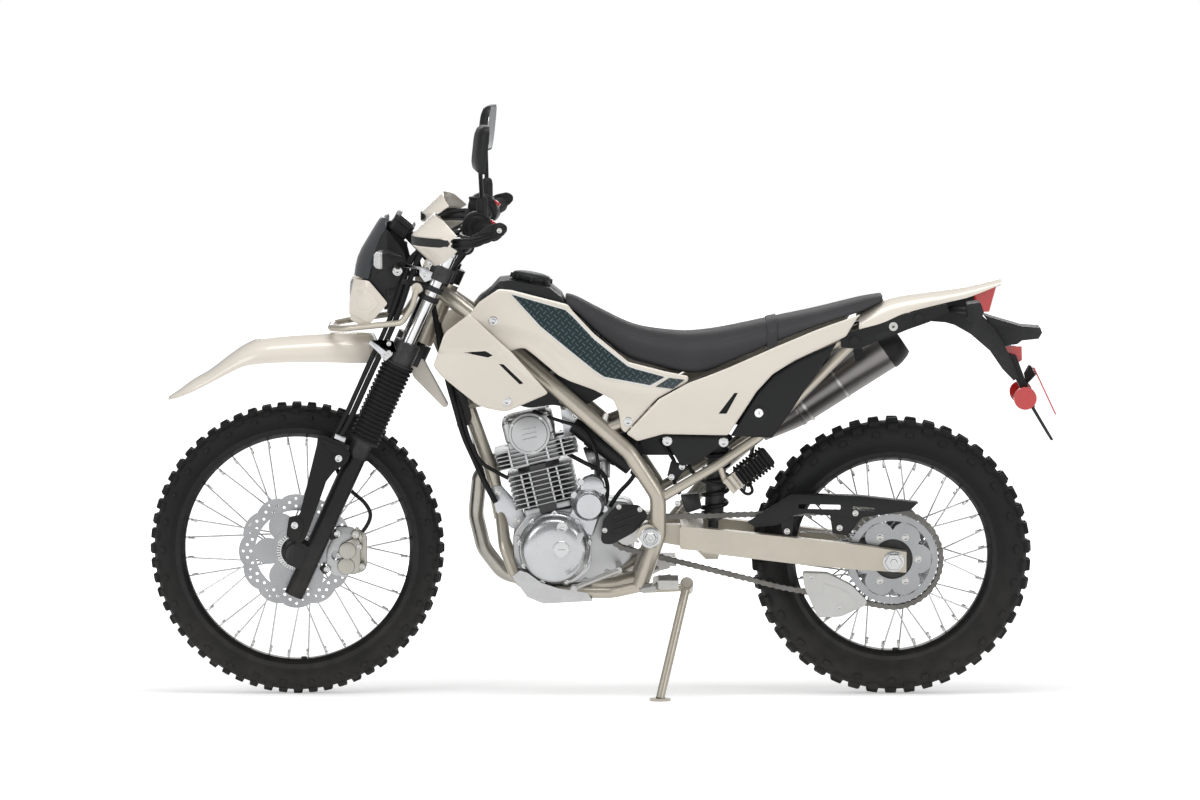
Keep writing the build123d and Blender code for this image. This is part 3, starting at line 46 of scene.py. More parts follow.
UPRIGHT_TO_ROW = Matrix.Translation(SHIFT) @ Matrix.Rotation(LEAN, 4, "X") @ Matrix.Scale(0.001, 4)


def clear_selection():
    """Nothing is selected and no object is in edit mode."""
    if bpy.context.object and bpy.context.object.mode != "OBJECT":
        bpy.ops.object.mode_set(mode="OBJECT")
    bpy.ops.object.select_all(action="DESELECT")


def flat_material(name, colour, rough):
    """A material whose shader is still plain, with its tree and shader."""
    made = bpy.data.materials.new(name)
    made.use_nodes = True
    shader = made.node_tree.nodes["Principled BSDF"]
    shader.inputs["Base Color"].default_value = (*colour, 1)
    shader.inputs["Roughness"].default_value = rough
    return made, made.node_tree, shader


clear_selection()
bpy.ops.mesh.primitive_plane_add(size=90, location=(0, 20, 0))
floor = bpy.context.object
floor.name = "studio_floor"
floor_paint = bpy.data.materials.new("studio_floor")
floor_paint.use_nodes = True
tree = floor_paint.node_tree
tree.nodes.remove(tree.nodes["Principled BSDF"])
board = tree.nodes.new("ShaderNodeBsdfDiffuse")
board.inputs["Color"].default_value = (0.93, 0.93, 0.93, 1)
glow = tree.nodes.new("ShaderNodeEmission")
rays = tree.nodes.new("ShaderNodeLightPath")
seen = tree.nodes.new("ShaderNodeMath")
seen.operation = "MAXIMUM"
tree.links.new(rays.outputs["Is Camera Ray"], seen.inputs[0])
tree.links.new(rays.outputs["Is Glossy Ray"], seen.inputs[1])
where = tree.nodes.new("ShaderNodeNewGeometry")
reach = tree.nodes.new("ShaderNodeVectorMath")
reach.operation = "LENGTH"
tree.links.new(where.outputs["Position"], reach.inputs[0])
rise = tree.nodes.new("ShaderNodeMapRange")
for name, value in (("From Min", 1.6), ("From Max", 4.5), ("To Min", 0.42), ("To Max", 1.0)):
    rise.inputs[name].default_value = value
tree.links.new(reach.outputs["Value"], rise.inputs["Value"])
level = tree.nodes.new("ShaderNodeMath")
level.operation = "MULTIPLY"
tree.links.new(seen.outputs[0], level.inputs[0])
tree.links.new(rise.outputs[0], level.inputs[1])
tree.links.new(level.outputs[0], glow.inputs["Strength"])
both_shaders = tree.nodes.new("ShaderNodeAddShader")
tree.links.new(board.outputs[0], both_shaders.inputs[0])
tree.links.new(glow.outputs[0], both_shaders.inputs[1])
tree.links.new(both_shaders.outputs[0], tree.nodes["Material Output"].inputs["Surface"])
floor.data.materials.append(floor_paint)

world = bpy.data.worlds.new("studio")
world.use_nodes = True
bpy.context.scene.world = world
tree = world.node_tree
sky = tree.nodes["Background"]
sky.inputs["Color"].default_value = (1, 1, 1, 1)
rays = tree.nodes.new("ShaderNodeLightPath")
seen = tree.nodes.new("ShaderNodeMath")
seen.operation = "MAXIMUM"
tree.links.new(rays.outputs["Is Camera Ray"], seen.inputs[0])
tree.links.new(rays.outputs["Is Transmission Ray"], seen.inputs[1])
strength = tree.nodes.new("ShaderNodeMapRange")
strength.inputs["To Min"].default_value = 0.34
strength.inputs["To Max"].default_value = 1.0
tree.links.new(seen.outputs[0], strength.inputs["Value"])
tree.links.new(strength.outputs[0], sky.inputs["Strength"])

soft_boxes = [  # name, place, aimed at, size across, size along, watts
    ("overhead", (0, -0.9, 4.6), (0, 0.1, 0.5), 3.4, 1.6, 86),
    ("front_left", (-3.8, -4.2, 2.6), (0, 0, 0.6), 2.6, 2.2, 64),
    ("rear_left", (4.2, -3.8, 2.2), (0.2, 0, 0.6), 2.2, 2.2, 48),
    ("far_side", (0.4, 5.2, 2.6), (0, 0, 0.7), 4.0, 1.6, 54),
]
for name, place, target, across, along, watts in soft_boxes:
    clear_selection()
    bpy.ops.object.light_add(type="AREA", location=place)
    lamp = bpy.context.object
    lamp.name = name
    lamp.data.shape = "RECTANGLE"
    lamp.data.size = across
    lamp.data.size_y = along
    lamp.data.energy = watts
    lamp.rotation_euler = (Vector(target) - Vector(place)).to_track_quat("-Z", "Y").to_euler()

VIEW_DISTANCE = 12.6
MILLIMETRES_PER_PIXEL = 2.293
FRAME_WIDTH = 1200
bpy.ops.object.camera_add(location=(-0.0037, 0.040 - VIEW_DISTANCE, 1.044))
camera = bpy.context.object
camera.data.sensor_width = 36
camera.data.lens = 36 * VIEW_DISTANCE / (MILLIMETRES_PER_PIXEL * FRAME_WIDTH / 1000)
camera.rotation_euler = (math.radians(90 - 1.67), 0, 0)
bpy.context.scene.camera = camera
bpy.context.scene.view_settings.view_transform = "Standard"

# ---- finishes shared by many pieces ----
# Each finish is one shader with its own values of shared effects: a fine grain of relief and sheen, a slow
# unevenness of colour, wear on proud edges, and road dust low down near the ground.


def effect_group(name, outputs, inputs):
    """An empty node group with value inputs (name, default) and value outputs."""
    group = bpy.data.node_groups.new(name, "ShaderNodeTree")
    for label in outputs:
        group.interface.new_socket(name=label, in_out="OUTPUT", socket_type="NodeSocketFloat")
    for label, value in inputs:
        socket = group.interface.new_socket(name=label, in_out="INPUT", socket_type="NodeSocketFloat")
        socket.default_value = value
    return group, group.nodes.new("NodeGroupInput"), group.nodes.new("NodeGroupOutput")


def math_node(tree, operation, *values):
    """A math node whose inputs are sockets or numbers; gives its output."""
    node = tree.nodes.new("ShaderNodeMath")
    node.operation = operation
    for place, value in enumerate(values):
        if isinstance(value, (int, float)):
            node.inputs[place].default_value = value
        else:
            tree.links.new(value, node.inputs[place])
    return node.outputs[0]


grain, given, result = effect_group("grain", ["Height", "Mask"], [("Scale", 400.0), ("Roughness", 0.6)])
place = grain.nodes.new("ShaderNodeTexCoord")
noise = grain.nodes.new("ShaderNodeTexNoise")
noise.inputs["Detail"].default_value = 3
grain.links.new(place.outputs["Object"], noise.inputs["Vector"])
grain.links.new(given.outputs["Scale"], noise.inputs["Scale"])
grain.links.new(given.outputs["Roughness"], noise.inputs["Roughness"])
grain.links.new(noise.outputs["Fac"], result.inputs["Height"])
grain.links.new(math_node(grain, "SMOOTH_MIN", noise.outputs["Fac"], 1.0, 0.1), result.inputs["Mask"])

unevenness, given, result = effect_group("unevenness", ["Mask"], [("Scale", 9.0), ("Contrast", 1.0)])
place = unevenness.nodes.new("ShaderNodeTexCoord")
noise = unevenness.nodes.new("ShaderNodeTexNoise")
noise.inputs["Detail"].default_value = 5
unevenness.links.new(place.outputs["Object"], noise.inputs["Vector"])
unevenness.links.new(given.outputs["Scale"], noise.inputs["Scale"])
centred = math_node(unevenness, "SUBTRACT", noise.outputs["Fac"], 0.5)
spread = math_node(unevenness, "MULTIPLY", centred, given.outputs["Contrast"])
unevenness.links.new(math_node(unevenness, "ADD", spread, 0.5), result.inputs["Mask"])

edge_wear, given, result = effect_group("edge_wear", ["Mask"], [("Start", 0.53), ("Amount", 1.0)])
form = edge_wear.nodes.new("ShaderNodeNewGeometry")
place = edge_wear.nodes.new("ShaderNodeTexCoord")
noise = edge_wear.nodes.new("ShaderNodeTexNoise")
noise.inputs["Scale"].default_value = 60
noise.inputs["Detail"].default_value = 4
edge_wear.links.new(place.outputs["Object"], noise.inputs["Vector"])
proud = edge_wear.nodes.new("ShaderNodeMapRange")
edge_wear.links.new(form.outputs["Pointiness"], proud.inputs["Value"])
edge_wear.links.new(given.outputs["Start"], proud.inputs["From Min"])
proud.inputs["From Max"].default_value = 0.66
broken = math_node(edge_wear, "MULTIPLY", proud.outputs[0], noise.outputs["Fac"])
edge_wear.links.new(math_node(edge_wear, "MULTIPLY", broken, given.outputs["Amount"]), result.inputs["Mask"])

road_dust, given, result = effect_group("road_dust", ["Mask"], [("Top", 0.45), ("Amount", 0.3)])
place = road_dust.nodes.new("ShaderNodeTexCoord")
parts_of_place = road_dust.nodes.new("ShaderNodeSeparateXYZ")
road_dust.links.new(place.outputs["Object"], parts_of_place.inputs[0])
fall = road_dust.nodes.new("ShaderNodeMapRange")
road_dust.links.new(parts_of_place.outputs["Z"], fall.inputs["Value"])
road_dust.links.new(given.outputs["Top"], fall.inputs["From Min"])
fall.inputs["From Max"].default_value = 0.0
noise = road_dust.nodes.new("ShaderNodeTexNoise")
noise.inputs["Scale"].default_value = 28
noise.inputs["Detail"].default_value = 6
road_dust.links.new(place.outputs["Object"], noise.inputs["Vector"])
patchy = math_node(road_dust, "MULTIPLY", fall.outputs[0], noise.outputs["Fac"])
road_dust.links.new(math_node(road_dust, "MULTIPLY", patchy, given.outputs["Amount"]), result.inputs["Mask"])


def place_effect(tree, group, **values):
    """An effect group in a material, with the values of its own."""
    node = tree.nodes.new("ShaderNodeGroup")
    node.node_tree = group
    for label, value in values.items():
        node.inputs[label].default_value = value
    return node


def mixed(tree, amount, first, second):
    """A colour mix; first and second are sockets or colours, amount a socket."""
    node = tree.nodes.new("ShaderNodeMix")
    node.data_type = "RGBA"
    tree.links.new(amount, node.inputs["Factor"])
    for label, value in ((6, first), (7, second)):
        if isinstance(value, tuple):
            node.inputs[label].default_value = (*value, 1)
        else:
            tree.links.new(value, node.inputs[label])
    return node.outputs[2]


def finish(name, colour, rough, metal=0.0, grain_scale=500.0, grain_depth=0.02, vary=0.06, wear=None, wear_amount=0.5,
           dust=0.0, coat=0.0, pattern=None):
    """One surface finish: colour, roughness and fine relief, with wear on edges and dust low down."""
    made, tree, shader = flat_material(name, colour, rough)
    shader.inputs["Metallic"].default_value = metal
    shader.inputs["Coat Weight"].default_value = coat
    shader.inputs["Coat Roughness"].default_value = 0.06
    if metal < 0.5 and max(colour) < 0.1:
        shader.inputs["Specular IOR Level"].default_value = 0.26
    uneven = place_effect(tree, unevenness, Scale=11.0, Contrast=1.6)
    darker = tuple(c * (1 - vary * 2) for c in colour)
    lighter = tuple(min(1.0, c * (1 + vary)) for c in colour)
    shade = mixed(tree, uneven.outputs["Mask"], darker, lighter)
    if pattern:
        shade = pattern(tree, shader, shade)
    if wear:
        worn = place_effect(tree, edge_wear, Amount=wear_amount)
        shade = mixed(tree, worn.outputs["Mask"], shade, wear)
    if dust:
        dusty = place_effect(tree, road_dust, Amount=dust)
        shade = mixed(tree, dusty.outputs["Mask"], shade, (0.36, 0.33, 0.28))
    tree.links.new(shade, shader.inputs["Base Color"])
    fine = place_effect(tree, grain, Scale=grain_scale)
    spread = tree.nodes.new("ShaderNodeMapRange")
    tree.links.new(fine.outputs["Mask"], spread.inputs["Value"])
    spread.inputs["To Min"].default_value = max(0.02, rough - 0.07)
    spread.inputs["To Max"].default_value = min(1.0, rough + 0.09)
    tree.links.new(spread.outputs[0], shader.inputs["Roughness"])
    relief = tree.nodes.new("ShaderNodeBump")
    relief.inputs["Strength"].default_value = 0.5
    relief.inputs["Distance"].default_value = grain_depth * 0.001
    tree.links.new(fine.outputs["Height"], relief.inputs["Height"])
    tree.links.new(relief.outputs[0], shader.inputs["Normal"])
    return made


def dress(material, *nodes):
    """CAD nodes whose shape stays get this material."""
    for name in nodes:
        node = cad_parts[name]
        node.data.materials.clear()
        node.data.materials.append(material)


# ---- frame ----
# Welded steel tubes, sprayed champagne metallic under a clear coat: head tube, two side members, downtube
# and cradle, with the bolted rear subframe and box-section swingarm in the same paint.
champagne = finish("champagne_paint", (0.55, 0.505, 0.42), 0.34, metal=0.55, grain_scale=900, grain_depth=0.01,
                   wear=(0.75, 0.72, 0.66), wear_amount=0.5, dust=0.3, coat=0.5)
dress(champagne, "main_frame", "subframe", "swingarm", "side_stand", "lamp_guard")
satin_black = finish("satin_black_paint", (0.012, 0.012, 0.0135), 0.34, metal=0.2, grain_scale=700, grain_depth=0.015,
                     wear=(0.20, 0.20, 0.20), wear_amount=0.5, dust=0.25)
moulded_black = finish("moulded_black", (0.014, 0.0145, 0.0155), 0.46, grain_scale=520, grain_depth=0.09,
                       wear=(0.12, 0.12, 0.125), wear_amount=0.4, dust=0.25)
cream = finish("cream_plastic", (0.90, 0.835, 0.735), 0.24, grain_scale=240, grain_depth=0.003, vary=0.015,
               wear=(0.93, 0.90, 0.83), wear_amount=0.25, coat=0.6)
bare_alloy = finish("cast_alloy", (0.50, 0.505, 0.51), 0.38, metal=0.9, grain_scale=620, grain_depth=0.10,
                    wear=(0.90, 0.90, 0.90), wear_amount=0.6, dust=0.25)
bright_alloy = finish("turned_alloy", (0.60, 0.605, 0.61), 0.22, metal=0.95, grain_scale=800, grain_depth=0.02, dust=0.2)
steel = finish("ground_steel", (0.46, 0.455, 0.44), 0.30, metal=0.95, grain_scale=900, grain_depth=0.02,
               wear=(0.78, 0.78, 0.77), wear_amount=0.5, dust=0.2)
chrome = finish("chrome", (0.68, 0.68, 0.69), 0.08, metal=1.0, grain_scale=300, grain_depth=0.004)
rubber = finish("rubber", (0.012, 0.012, 0.0125), 0.6, grain_scale=420, grain_depth=0.06, dust=0.3)
header_steel = finish("heated_steel", (0.45, 0.43, 0.385), 0.28, metal=0.9, grain_scale=700, grain_depth=0.02, vary=0.2, dust=0.3)
brushed_dark = finish("brushed_dark_steel", (0.26, 0.25, 0.24), 0.34, metal=0.9, grain_scale=900, grain_depth=0.03, dust=0.1)
seat_cover = finish("seat_cover", (0.045, 0.045, 0.048), 0.6, grain_scale=330, grain_depth=0.25, vary=0.1)
tyre_rubber = finish("tyre_rubber", (0.0135, 0.0138, 0.0145), 0.66, grain_scale=260, grain_depth=0.12, vary=0.12, dust=0.12)
red_plastic = finish("red_lens", (0.62, 0.02, 0.02), 0.12, grain_scale=200, grain_depth=0.01, coat=0.5)
clear_plastic, tree, shader = flat_material("clear_lens", (0.95, 0.97, 1.0), 0.05)
shader.inputs["Transmission Weight"].default_value = 0.85
shader.inputs["IOR"].default_value = 1.45
grey_screen = finish("smoked_screen", (0.055, 0.06, 0.066), 0.16, grain_scale=200, grain_depth=0.006, coat=0.5)
white_plastic = finish("white_plastic", (0.80, 0.80, 0.78), 0.45, grain_scale=300, grain_depth=0.03, dust=0.35)
dress(satin_black, "front_rim", "rear_rim", "front_hub", "rear_hub", "fork_clamps", "handlebar", "rear_shock")
dress(tyre_rubber, "front_tyre", "rear_tyre")
dress(steel, "front_spokes", "rear_spokes", "front_disc", "rear_disc", "rear_sprocket", "chain", "foot_controls")
dress(bare_alloy, "crankcase", "engine_side_covers", "cylinder", "cylinder_head", "brake_caliper", "skid_plate")
dress(moulded_black, "fork_covers", "controls", "mirrors", "lamp_bracket", "meter", "chain_guard", "side_panels", "rear_fender", "air_box", "fuel_tank")
dress(satin_black, "fork_sliders")
dress(chrome, "fork_tubes")
dress(rubber, "brake_hose")
dress(cream, "handguards", "headlight_cowl", "front_fender", "tank_covers", "shrouds", "side_covers", "tail_cover")
dress(header_steel, "exhaust_header")
dress(brushed_dark, "silencer")
dress(seat_cover, "seat")
dress(red_plastic, "tail_lamp", "plate_and_reflectors")
dress(clear_plastic, "headlight_lens")
dress(steel, "rack_nuts")

# ---- wheels ----
# Moulded knobbly tyres on black anodised alloy rims, laced to cast hubs with 36 plain steel spokes a side
# pair, each with a nickel nipple at the rim. Lugs are moulded with the carcass.
FRONT_AXLE = Vector((-682.5, 0, 338))
REAR_AXLE = Vector((682.5, 0, 321.5))
SPOKE_COUNT = 36


def select_faces(piece, wanted):
    """Leaves piece in edit mode with only the wanted faces selected."""
    bpy.ops.object.mode_set(mode="EDIT")
    bpy.ops.mesh.select_mode(type="FACE")
    bpy.ops.mesh.select_all(action="DESELECT")
    bpy.ops.object.mode_set(mode="OBJECT")
    for face in piece.data.polygons:
        face.select = wanted(face)
    bpy.ops.object.mode_set(mode="EDIT")


def closed_up():
    """Doubles merged and faces turned outwards; ends edit mode."""
    bpy.ops.mesh.select_all(action="SELECT")
    bpy.ops.mesh.remove_doubles(threshold=0.02)
    bpy.ops.mesh.normals_make_consistent(inside=False)
    bpy.ops.object.mode_set(mode="OBJECT")


def turned(points, steps, arc=360.0):
    """A shape turned about the Y axis from a closed loop of (radius, across) points."""
    clear_selection()
    bpy.ops.mesh.primitive_circle_add(vertices=len(points), radius=1, fill_type="NOTHING")
    piece = bpy.context.object
    for vertex, (radius, across) in zip(piece.data.vertices, points):
        vertex.co = (radius, across, 0)
    bpy.ops.object.mode_set(mode="EDIT")
    bpy.ops.mesh.select_all(action="SELECT")
    bpy.ops.mesh.spin(steps=steps, angle=math.radians(arc), center=(0, 0, 0), axis=(0, 1, 0))
    closed_up()
    return piece


def block(along, across, height, narrow=0.86, bevel=1.2, segments=1):
    """A moulded block standing on z = 0, narrower at its top, with broken edges."""
    clear_selection()
    bpy.ops.mesh.primitive_cube_add(size=1, location=(0, 0, 0))
    piece = bpy.context.object
    bpy.ops.object.mode_set(mode="EDIT")
    bpy.ops.transform.translate(value=(0, 0, 0.5))
    bpy.ops.transform.resize(value=(along, across, height), center_override=(0, 0, 0))
    select_faces(piece, lambda face: face.normal.z > 0.9)
    bpy.ops.transform.resize(value=(narrow, narrow, 1), center_override=(0, 0, height))
    if bevel:
        bpy.ops.mesh.select_all(action="SELECT")
        bpy.ops.mesh.bevel(offset=bevel, segments=segments, affect="EDGES")
    closed_up()
    return piece


def repeated(model, places):
    """Copies of one modelled piece, one at each place, each with its own mesh, joined into one."""
    made = []
    for place in places:
        copy = model.copy()
        copy.data = model.data.copy()
        copy.data.transform(place)
        bpy.context.collection.objects.link(copy)
        made.append(copy)
    bpy.data.objects.remove(model)
    return joined(made)


def joined(pieces):
    """Several meshes made one."""
    clear_selection()
    for piece in pieces:
        piece.select_set(True)
    bpy.context.view_layer.objects.active = pieces[0]
    if len(pieces) > 1:
        bpy.ops.object.join()
    return bpy.context.object


def fit(piece, name, body, paint, stands_for=(), smooth=35, place=None):
    """Puts a finished mesh, made in upright millimetres, in its place in the row frame and on its body."""
    clear_selection()
    piece.select_set(True)
    bpy.context.view_layer.objects.active = piece
    if smooth:
        bpy.ops.object.shade_smooth_by_angle(angle=math.radians(smooth))
    piece.name = piece.data.name = name
    local = piece.matrix_world.copy()
    piece.matrix_world = Matrix.Identity(4)
    piece.data.transform(UPRIGHT_TO_ROW @ (place or Matrix.Identity(4)) @ local)
    if paint:
        piece.data.materials.clear()
        piece.data.materials.append(paint)
    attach(piece, body)
    if stands_for:
        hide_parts(*stands_for)
    return piece


def on_wheel(axle, angle, radius, across, tilt=0.0, twist=0.0):
    """A place on a wheel: angle round the axle, distance from it, distance across, tilt of the crown."""
    return (Matrix.Translation(axle) @ Matrix.Rotation(angle, 4, "Y") @ Matrix.Translation((0, across, radius))
            @ Matrix.Rotation(-tilt, 4, "X") @ Matrix.Rotation(twist, 4, "Z"))


def tyre(name, body, axle, side, rows, lugs):
    """A carcass turned from its side's (across, radius) points, with rows of lugs: even and odd rows differ."""
    profile = [(radius, across) for across, radius in side] + [(radius, -across) for across, radius in reversed(side)]
    carcass = turned(profile, 120)
    pieces = [carcass]
    for parity, across, radius, tilt, along, wide, high in lugs:
        lug = block(along, wide, high + 3, narrow=0.84, bevel=1.1)
        hands = (1,) if across == 0 else (1, -1)
        places = []
        for row in range(parity, rows, 2):
            for hand in hands:
                angle = 2 * math.pi * row / rows
                places.append(on_wheel(axle, angle, radius - 3, hand * across, hand * math.radians(tilt)))
        pieces.append(repeated(lug, places))
    carcass.data.transform(Matrix.Translation(axle))
    whole = joined(pieces)
    return fit(whole, name, body, tyre_rubber, (name,), smooth=30)


tyre("front_tyre", "front_wheel", FRONT_AXLE, [
    (17.5, 266.5), (24, 272), (25.2, 281), (29, 286), (36, 294), (40, 304), (40.6, 312), (37.5, 319.5), (30, 324.5), (18, 327.5), (6, 328.6),
], 60, [  # every other row, across, radius, tilt, along, wide, high
    (0, 11.5, 327.6, 4, 22, 19, 9.2),
    (0, 34.5, 319.5, 42, 20, 12, 8.0),
    (1, 0, 328.4, 0, 21, 22, 9.3),
    (1, 24.5, 325.2, 16, 21, 13, 8.8),
    (1, 39.6, 309.5, 72, 14, 11, 2.4),
])
tyre("rear_tyre", "rear_wheel", REAR_AXLE, [
    (24, 230), (32, 238), (34.5, 246), (42, 255), (50, 268), (52.6, 281), (51, 291), (46, 300), (36, 306), (22, 309.5), (7, 310.8),
], 46, [
    (0, 15, 309.6, 4, 28, 23, 10.2),
    (0, 44.5, 299.5, 46, 26, 15, 9.0),
    (1, 0, 310.8, 0, 27, 25, 10.4),
    (1, 31, 306.8, 16, 27, 17, 9.6),
    (1, 51.2, 288, 70, 18, 13, 2.4),
])

# Nickel nipples at the rims, and a rubber-seated valve stem with its nut and cap.
nickel = finish("nickel", (0.55, 0.545, 0.53), 0.22, metal=1.0, grain_scale=700, grain_depth=0.01)
for wheel, axle, rim_radius, rim_across in (("front", FRONT_AXLE, 252.5, 6), ("rear", REAR_AXLE, 215.5, 7)):
    nipple = turned([(0, 0), (3.6, 0), (3.6, 3), (2.9, 3.6), (2.9, 14), (2.2, 15), (0, 15)], 8)
    nipple.data.transform(Matrix.Rotation(math.radians(90), 4, "X"))
    places = []
    for number in range(SPOKE_COUNT):
        side = 1 if number % 2 else -1
        angle = math.radians(360.0 * (number + 0.5) / SPOKE_COUNT)
        direction = Vector((math.cos(angle), 0, math.sin(angle)))
        place = Matrix.Translation(axle + direction * rim_radius + Vector((0, side * rim_across, 0)))
        places.append(place @ direction.to_track_quat("-Z", "Y").to_matrix().to_4x4())
    nipples = repeated(nipple, places)
    fit(nipples, wheel + "_nipples", wheel + "_wheel", nickel, smooth=40)
    stem = turned([(0, 0), (6.5, 0), (6.5, 4), (4, 6), (3.2, 12), (3.2, 30), (4.6, 31), (4.6, 42), (3.5, 44), (0, 44)], 12)
    stem.data.transform(Matrix.Rotation(math.radians(-90), 4, "X"))
    direction = Vector((math.sin(0.05), 0, -math.cos(0.05)))
    stem.data.transform(Matrix.Translation(axle + direction * (rim_radius + 2)) @ direction.to_track_quat("-Z", "Y").to_matrix().to_4x4())
    fit(stem, wheel + "_valve_stem", wheel + "_wheel", rubber, smooth=40)
anodised = finish("black_anodised_rim", (0.009, 0.009, 0.010), 0.30, metal=0.4, grain_scale=500, grain_depth=0.01,
                  wear=(0.14, 0.14, 0.14), wear_amount=0.3, dust=0.12)
dress(anodised, "front_rim", "rear_rim")
dress(satin_black, "front_hub", "rear_hub")
dress(bright_alloy, "front_spokes", "rear_spokes")

# Stainless brake discs with a petalled edge and drilled rows, a slotted speed ring inside the front one,
# and a machined alloy sprocket with six bolts. All are bolted to the hubs.
stainless = finish("brushed_stainless", (0.35, 0.355, 0.365), 0.26, metal=1.0, grain_scale=1100, grain_depth=0.02, vary=0.1)


def drilled(piece, places, depth, vertices=14):
    """Bores round holes of (x, z, radius) through a flat piece that lies across Y, by one boolean."""
    clear_selection()
    pins = []
    for x, z, radius in places:
        bpy.ops.mesh.primitive_cylinder_add(vertices=vertices, radius=radius, depth=depth, location=(x, 0, z),
                                            rotation=(math.pi / 2, 0, 0))
        pins.append(bpy.context.object)
    cutter = joined(pins)
    clear_selection()
    bpy.context.view_layer.objects.active = piece
    bore = piece.modifiers.new("bore", "BOOLEAN")
    bore.operation = "DIFFERENCE"
    bore.object = cutter
    bore.solver = "EXACT"
    piece.select_set(True)
    bpy.ops.object.modifier_apply(modifier="bore")
    bpy.data.objects.remove(cutter)
    return piece


def petal_disc(outer, inner, thick, petals, depth):
    """A flat ring whose outer edge waves in petals."""
    clear_selection()
    steps = petals * 12
    bpy.ops.mesh.primitive_circle_add(vertices=steps, radius=1, fill_type="NOTHING")
    ring = bpy.context.object
    for number, vertex in enumerate(ring.data.vertices):
        angle = 2 * math.pi * number / steps
        wave = 0.5 + 0.5 * math.cos(petals * angle)
        reach = outer - depth * (1 - wave ** 0.35)
        vertex.co = (reach * math.cos(angle), -thick / 2, reach * math.sin(angle))
    bpy.ops.object.mode_set(mode="EDIT")
    bpy.ops.mesh.select_all(action="SELECT")
    bpy.ops.mesh.extrude_edges_move()
    bpy.ops.object.mode_set(mode="OBJECT")
    for number, vertex in enumerate(ring.data.vertices[steps:]):
        angle = math.atan2(vertex.co.z, vertex.co.x)
        vertex.co = (inner * math.cos(angle), -thick / 2, inner * math.sin(angle))
    wall = ring.modifiers.new("wall", "SOLIDIFY")
    wall.thickness = thick
    wall.offset = 0
    bpy.ops.object.modifier_apply(modifier="wall")
    bpy.ops.object.mode_set(mode="EDIT")
    closed_up()
    ring.data.transform(Matrix.Translation((0, thick / 2, 0)))
    return ring


def hole_ring(radius, count, size, shift=0.0):
    return [(radius * math.cos(2 * math.pi * (n + shift) / count), radius * math.sin(2 * math.pi * (n + shift) / count), size)
            for n in range(count)]


front_disc = petal_disc(131.5, 94, 4.0, 12, 7)
drilled(front_disc, hole_ring(104, 24, 3.4) + hole_ring(113, 24, 3.4, 0.5) + hole_ring(121.5, 12, 3.2, 0.0), 30)
carrier = petal_disc(97, 36, 3.6, 6, 40)
drilled(carrier, hole_ring(47, 6, 5.5, 0.5), 30)
speed_ring = petal_disc(56, 46, 1.6, 48, 3)
speed_ring.data.transform(Matrix.Translation((0, -3.4, 0)))
disc_set = joined([front_disc, carrier, speed_ring])
fit(disc_set, "front_disc", "front_wheel", stainless, ("front_disc",), smooth=30,
    place=Matrix.Translation(FRONT_AXLE + Vector((0, -58, 0))))
rear_disc = petal_disc(109.5, 76, 4.0, 10, 6)
drilled(rear_disc, hole_ring(86, 20, 3.4) + hole_ring(95, 20, 3.4, 0.5), 30)
carrier = petal_disc(79, 36, 3.6, 5, 30)
sprocket = [petal_disc(103.4, 88, 6, 44, 0.6), petal_disc(91, 46, 6, 6, 24)]
sprocket.append(repeated(block(8, 5.6, 10, narrow=0.5, bevel=0.5), [
    Matrix.Rotation(2 * math.pi * (n + 0.5) / 44, 4, "Y") @ Matrix.Translation((0, 0, 102)) for n in range(44)]))
disc_set = joined([rear_disc, carrier])
fit(disc_set, "rear_disc", "rear_wheel", stainless, ("rear_disc",), smooth=30,
    place=Matrix.Translation(REAR_AXLE + Vector((0, 68, 0))))
fit(joined(sprocket), "rear_sprocket", "rear_wheel", stainless, ("rear_sprocket",), smooth=30,
    place=Matrix.Translation(REAR_AXLE + Vector((0, -70, 0))))


def bolt_model(size, head=0.62):
    """A flanged hexagon bolt head that stands along +Z on z = 0: hexagon, washer face, dished top."""
    clear_selection()
    bpy.ops.mesh.primitive_cylinder_add(vertices=6, radius=size * 0.9, depth=size * head, location=(0, 0, size * head / 2))
    hexagon = bpy.context.object
    bpy.ops.object.transform_apply(location=True)
    select_faces(hexagon, lambda face: face.normal.z > 0.9)
    bpy.ops.mesh.inset(thickness=size * 0.25)
    bpy.ops.transform.translate(value=(0, 0, -size * 0.12))
    bpy.ops.mesh.select_all(action="SELECT")
    bpy.ops.mesh.bevel(offset=size * 0.06, segments=1, affect="EDGES")
    closed_up()
    clear_selection()
    bpy.ops.mesh.primitive_cylinder_add(vertices=20, radius=size * 1.15, depth=size * 0.18, location=(0, 0, size * 0.09))
    washer = bpy.context.object
    bpy.ops.object.transform_apply(location=True)
    return joined([hexagon, washer])


def bolts(name, body, size, places, paint=None, head=0.62):
    """One bolt head at each (point, direction), in upright millimetres, all one piece."""
    model = bolt_model(size, head)
    spots = []
    for point, direction in places:
        turn = Vector(direction).to_track_quat("Z", "Y").to_matrix().to_4x4()
        spots.append(Matrix.Translation(Vector(point)) @ turn)
    return fit(repeated(model, spots), name, body, paint or nickel, smooth=30)


LEFT, RIGHT = (0, -1, 0), (0, 1, 0)
sprocket_places = [((REAR_AXLE.x + 58 * math.cos(a), -72.8, REAR_AXLE.z + 58 * math.sin(a)), LEFT)
                   for a in [math.radians(60 * n) for n in range(6)]]
bolts("sprocket_bolts", "rear_wheel", 7, sprocket_places)
disc_places = [((FRONT_AXLE.x + 42 * math.cos(a), -60.3, FRONT_AXLE.z + 42 * math.sin(a)), LEFT)
               for a in [math.radians(60 * n + 30) for n in range(6)]]
bolts("front_disc_bolts", "front_wheel", 5, disc_places)

# ---- bodywork ----
# Injection-moulded covers, 3 mm thick with rolled edges, on rubber grommets: cream on the tank's sides, the
# shrouds and under the seat, black at the side panels. Each is drawn on the left and mirrored to the right.


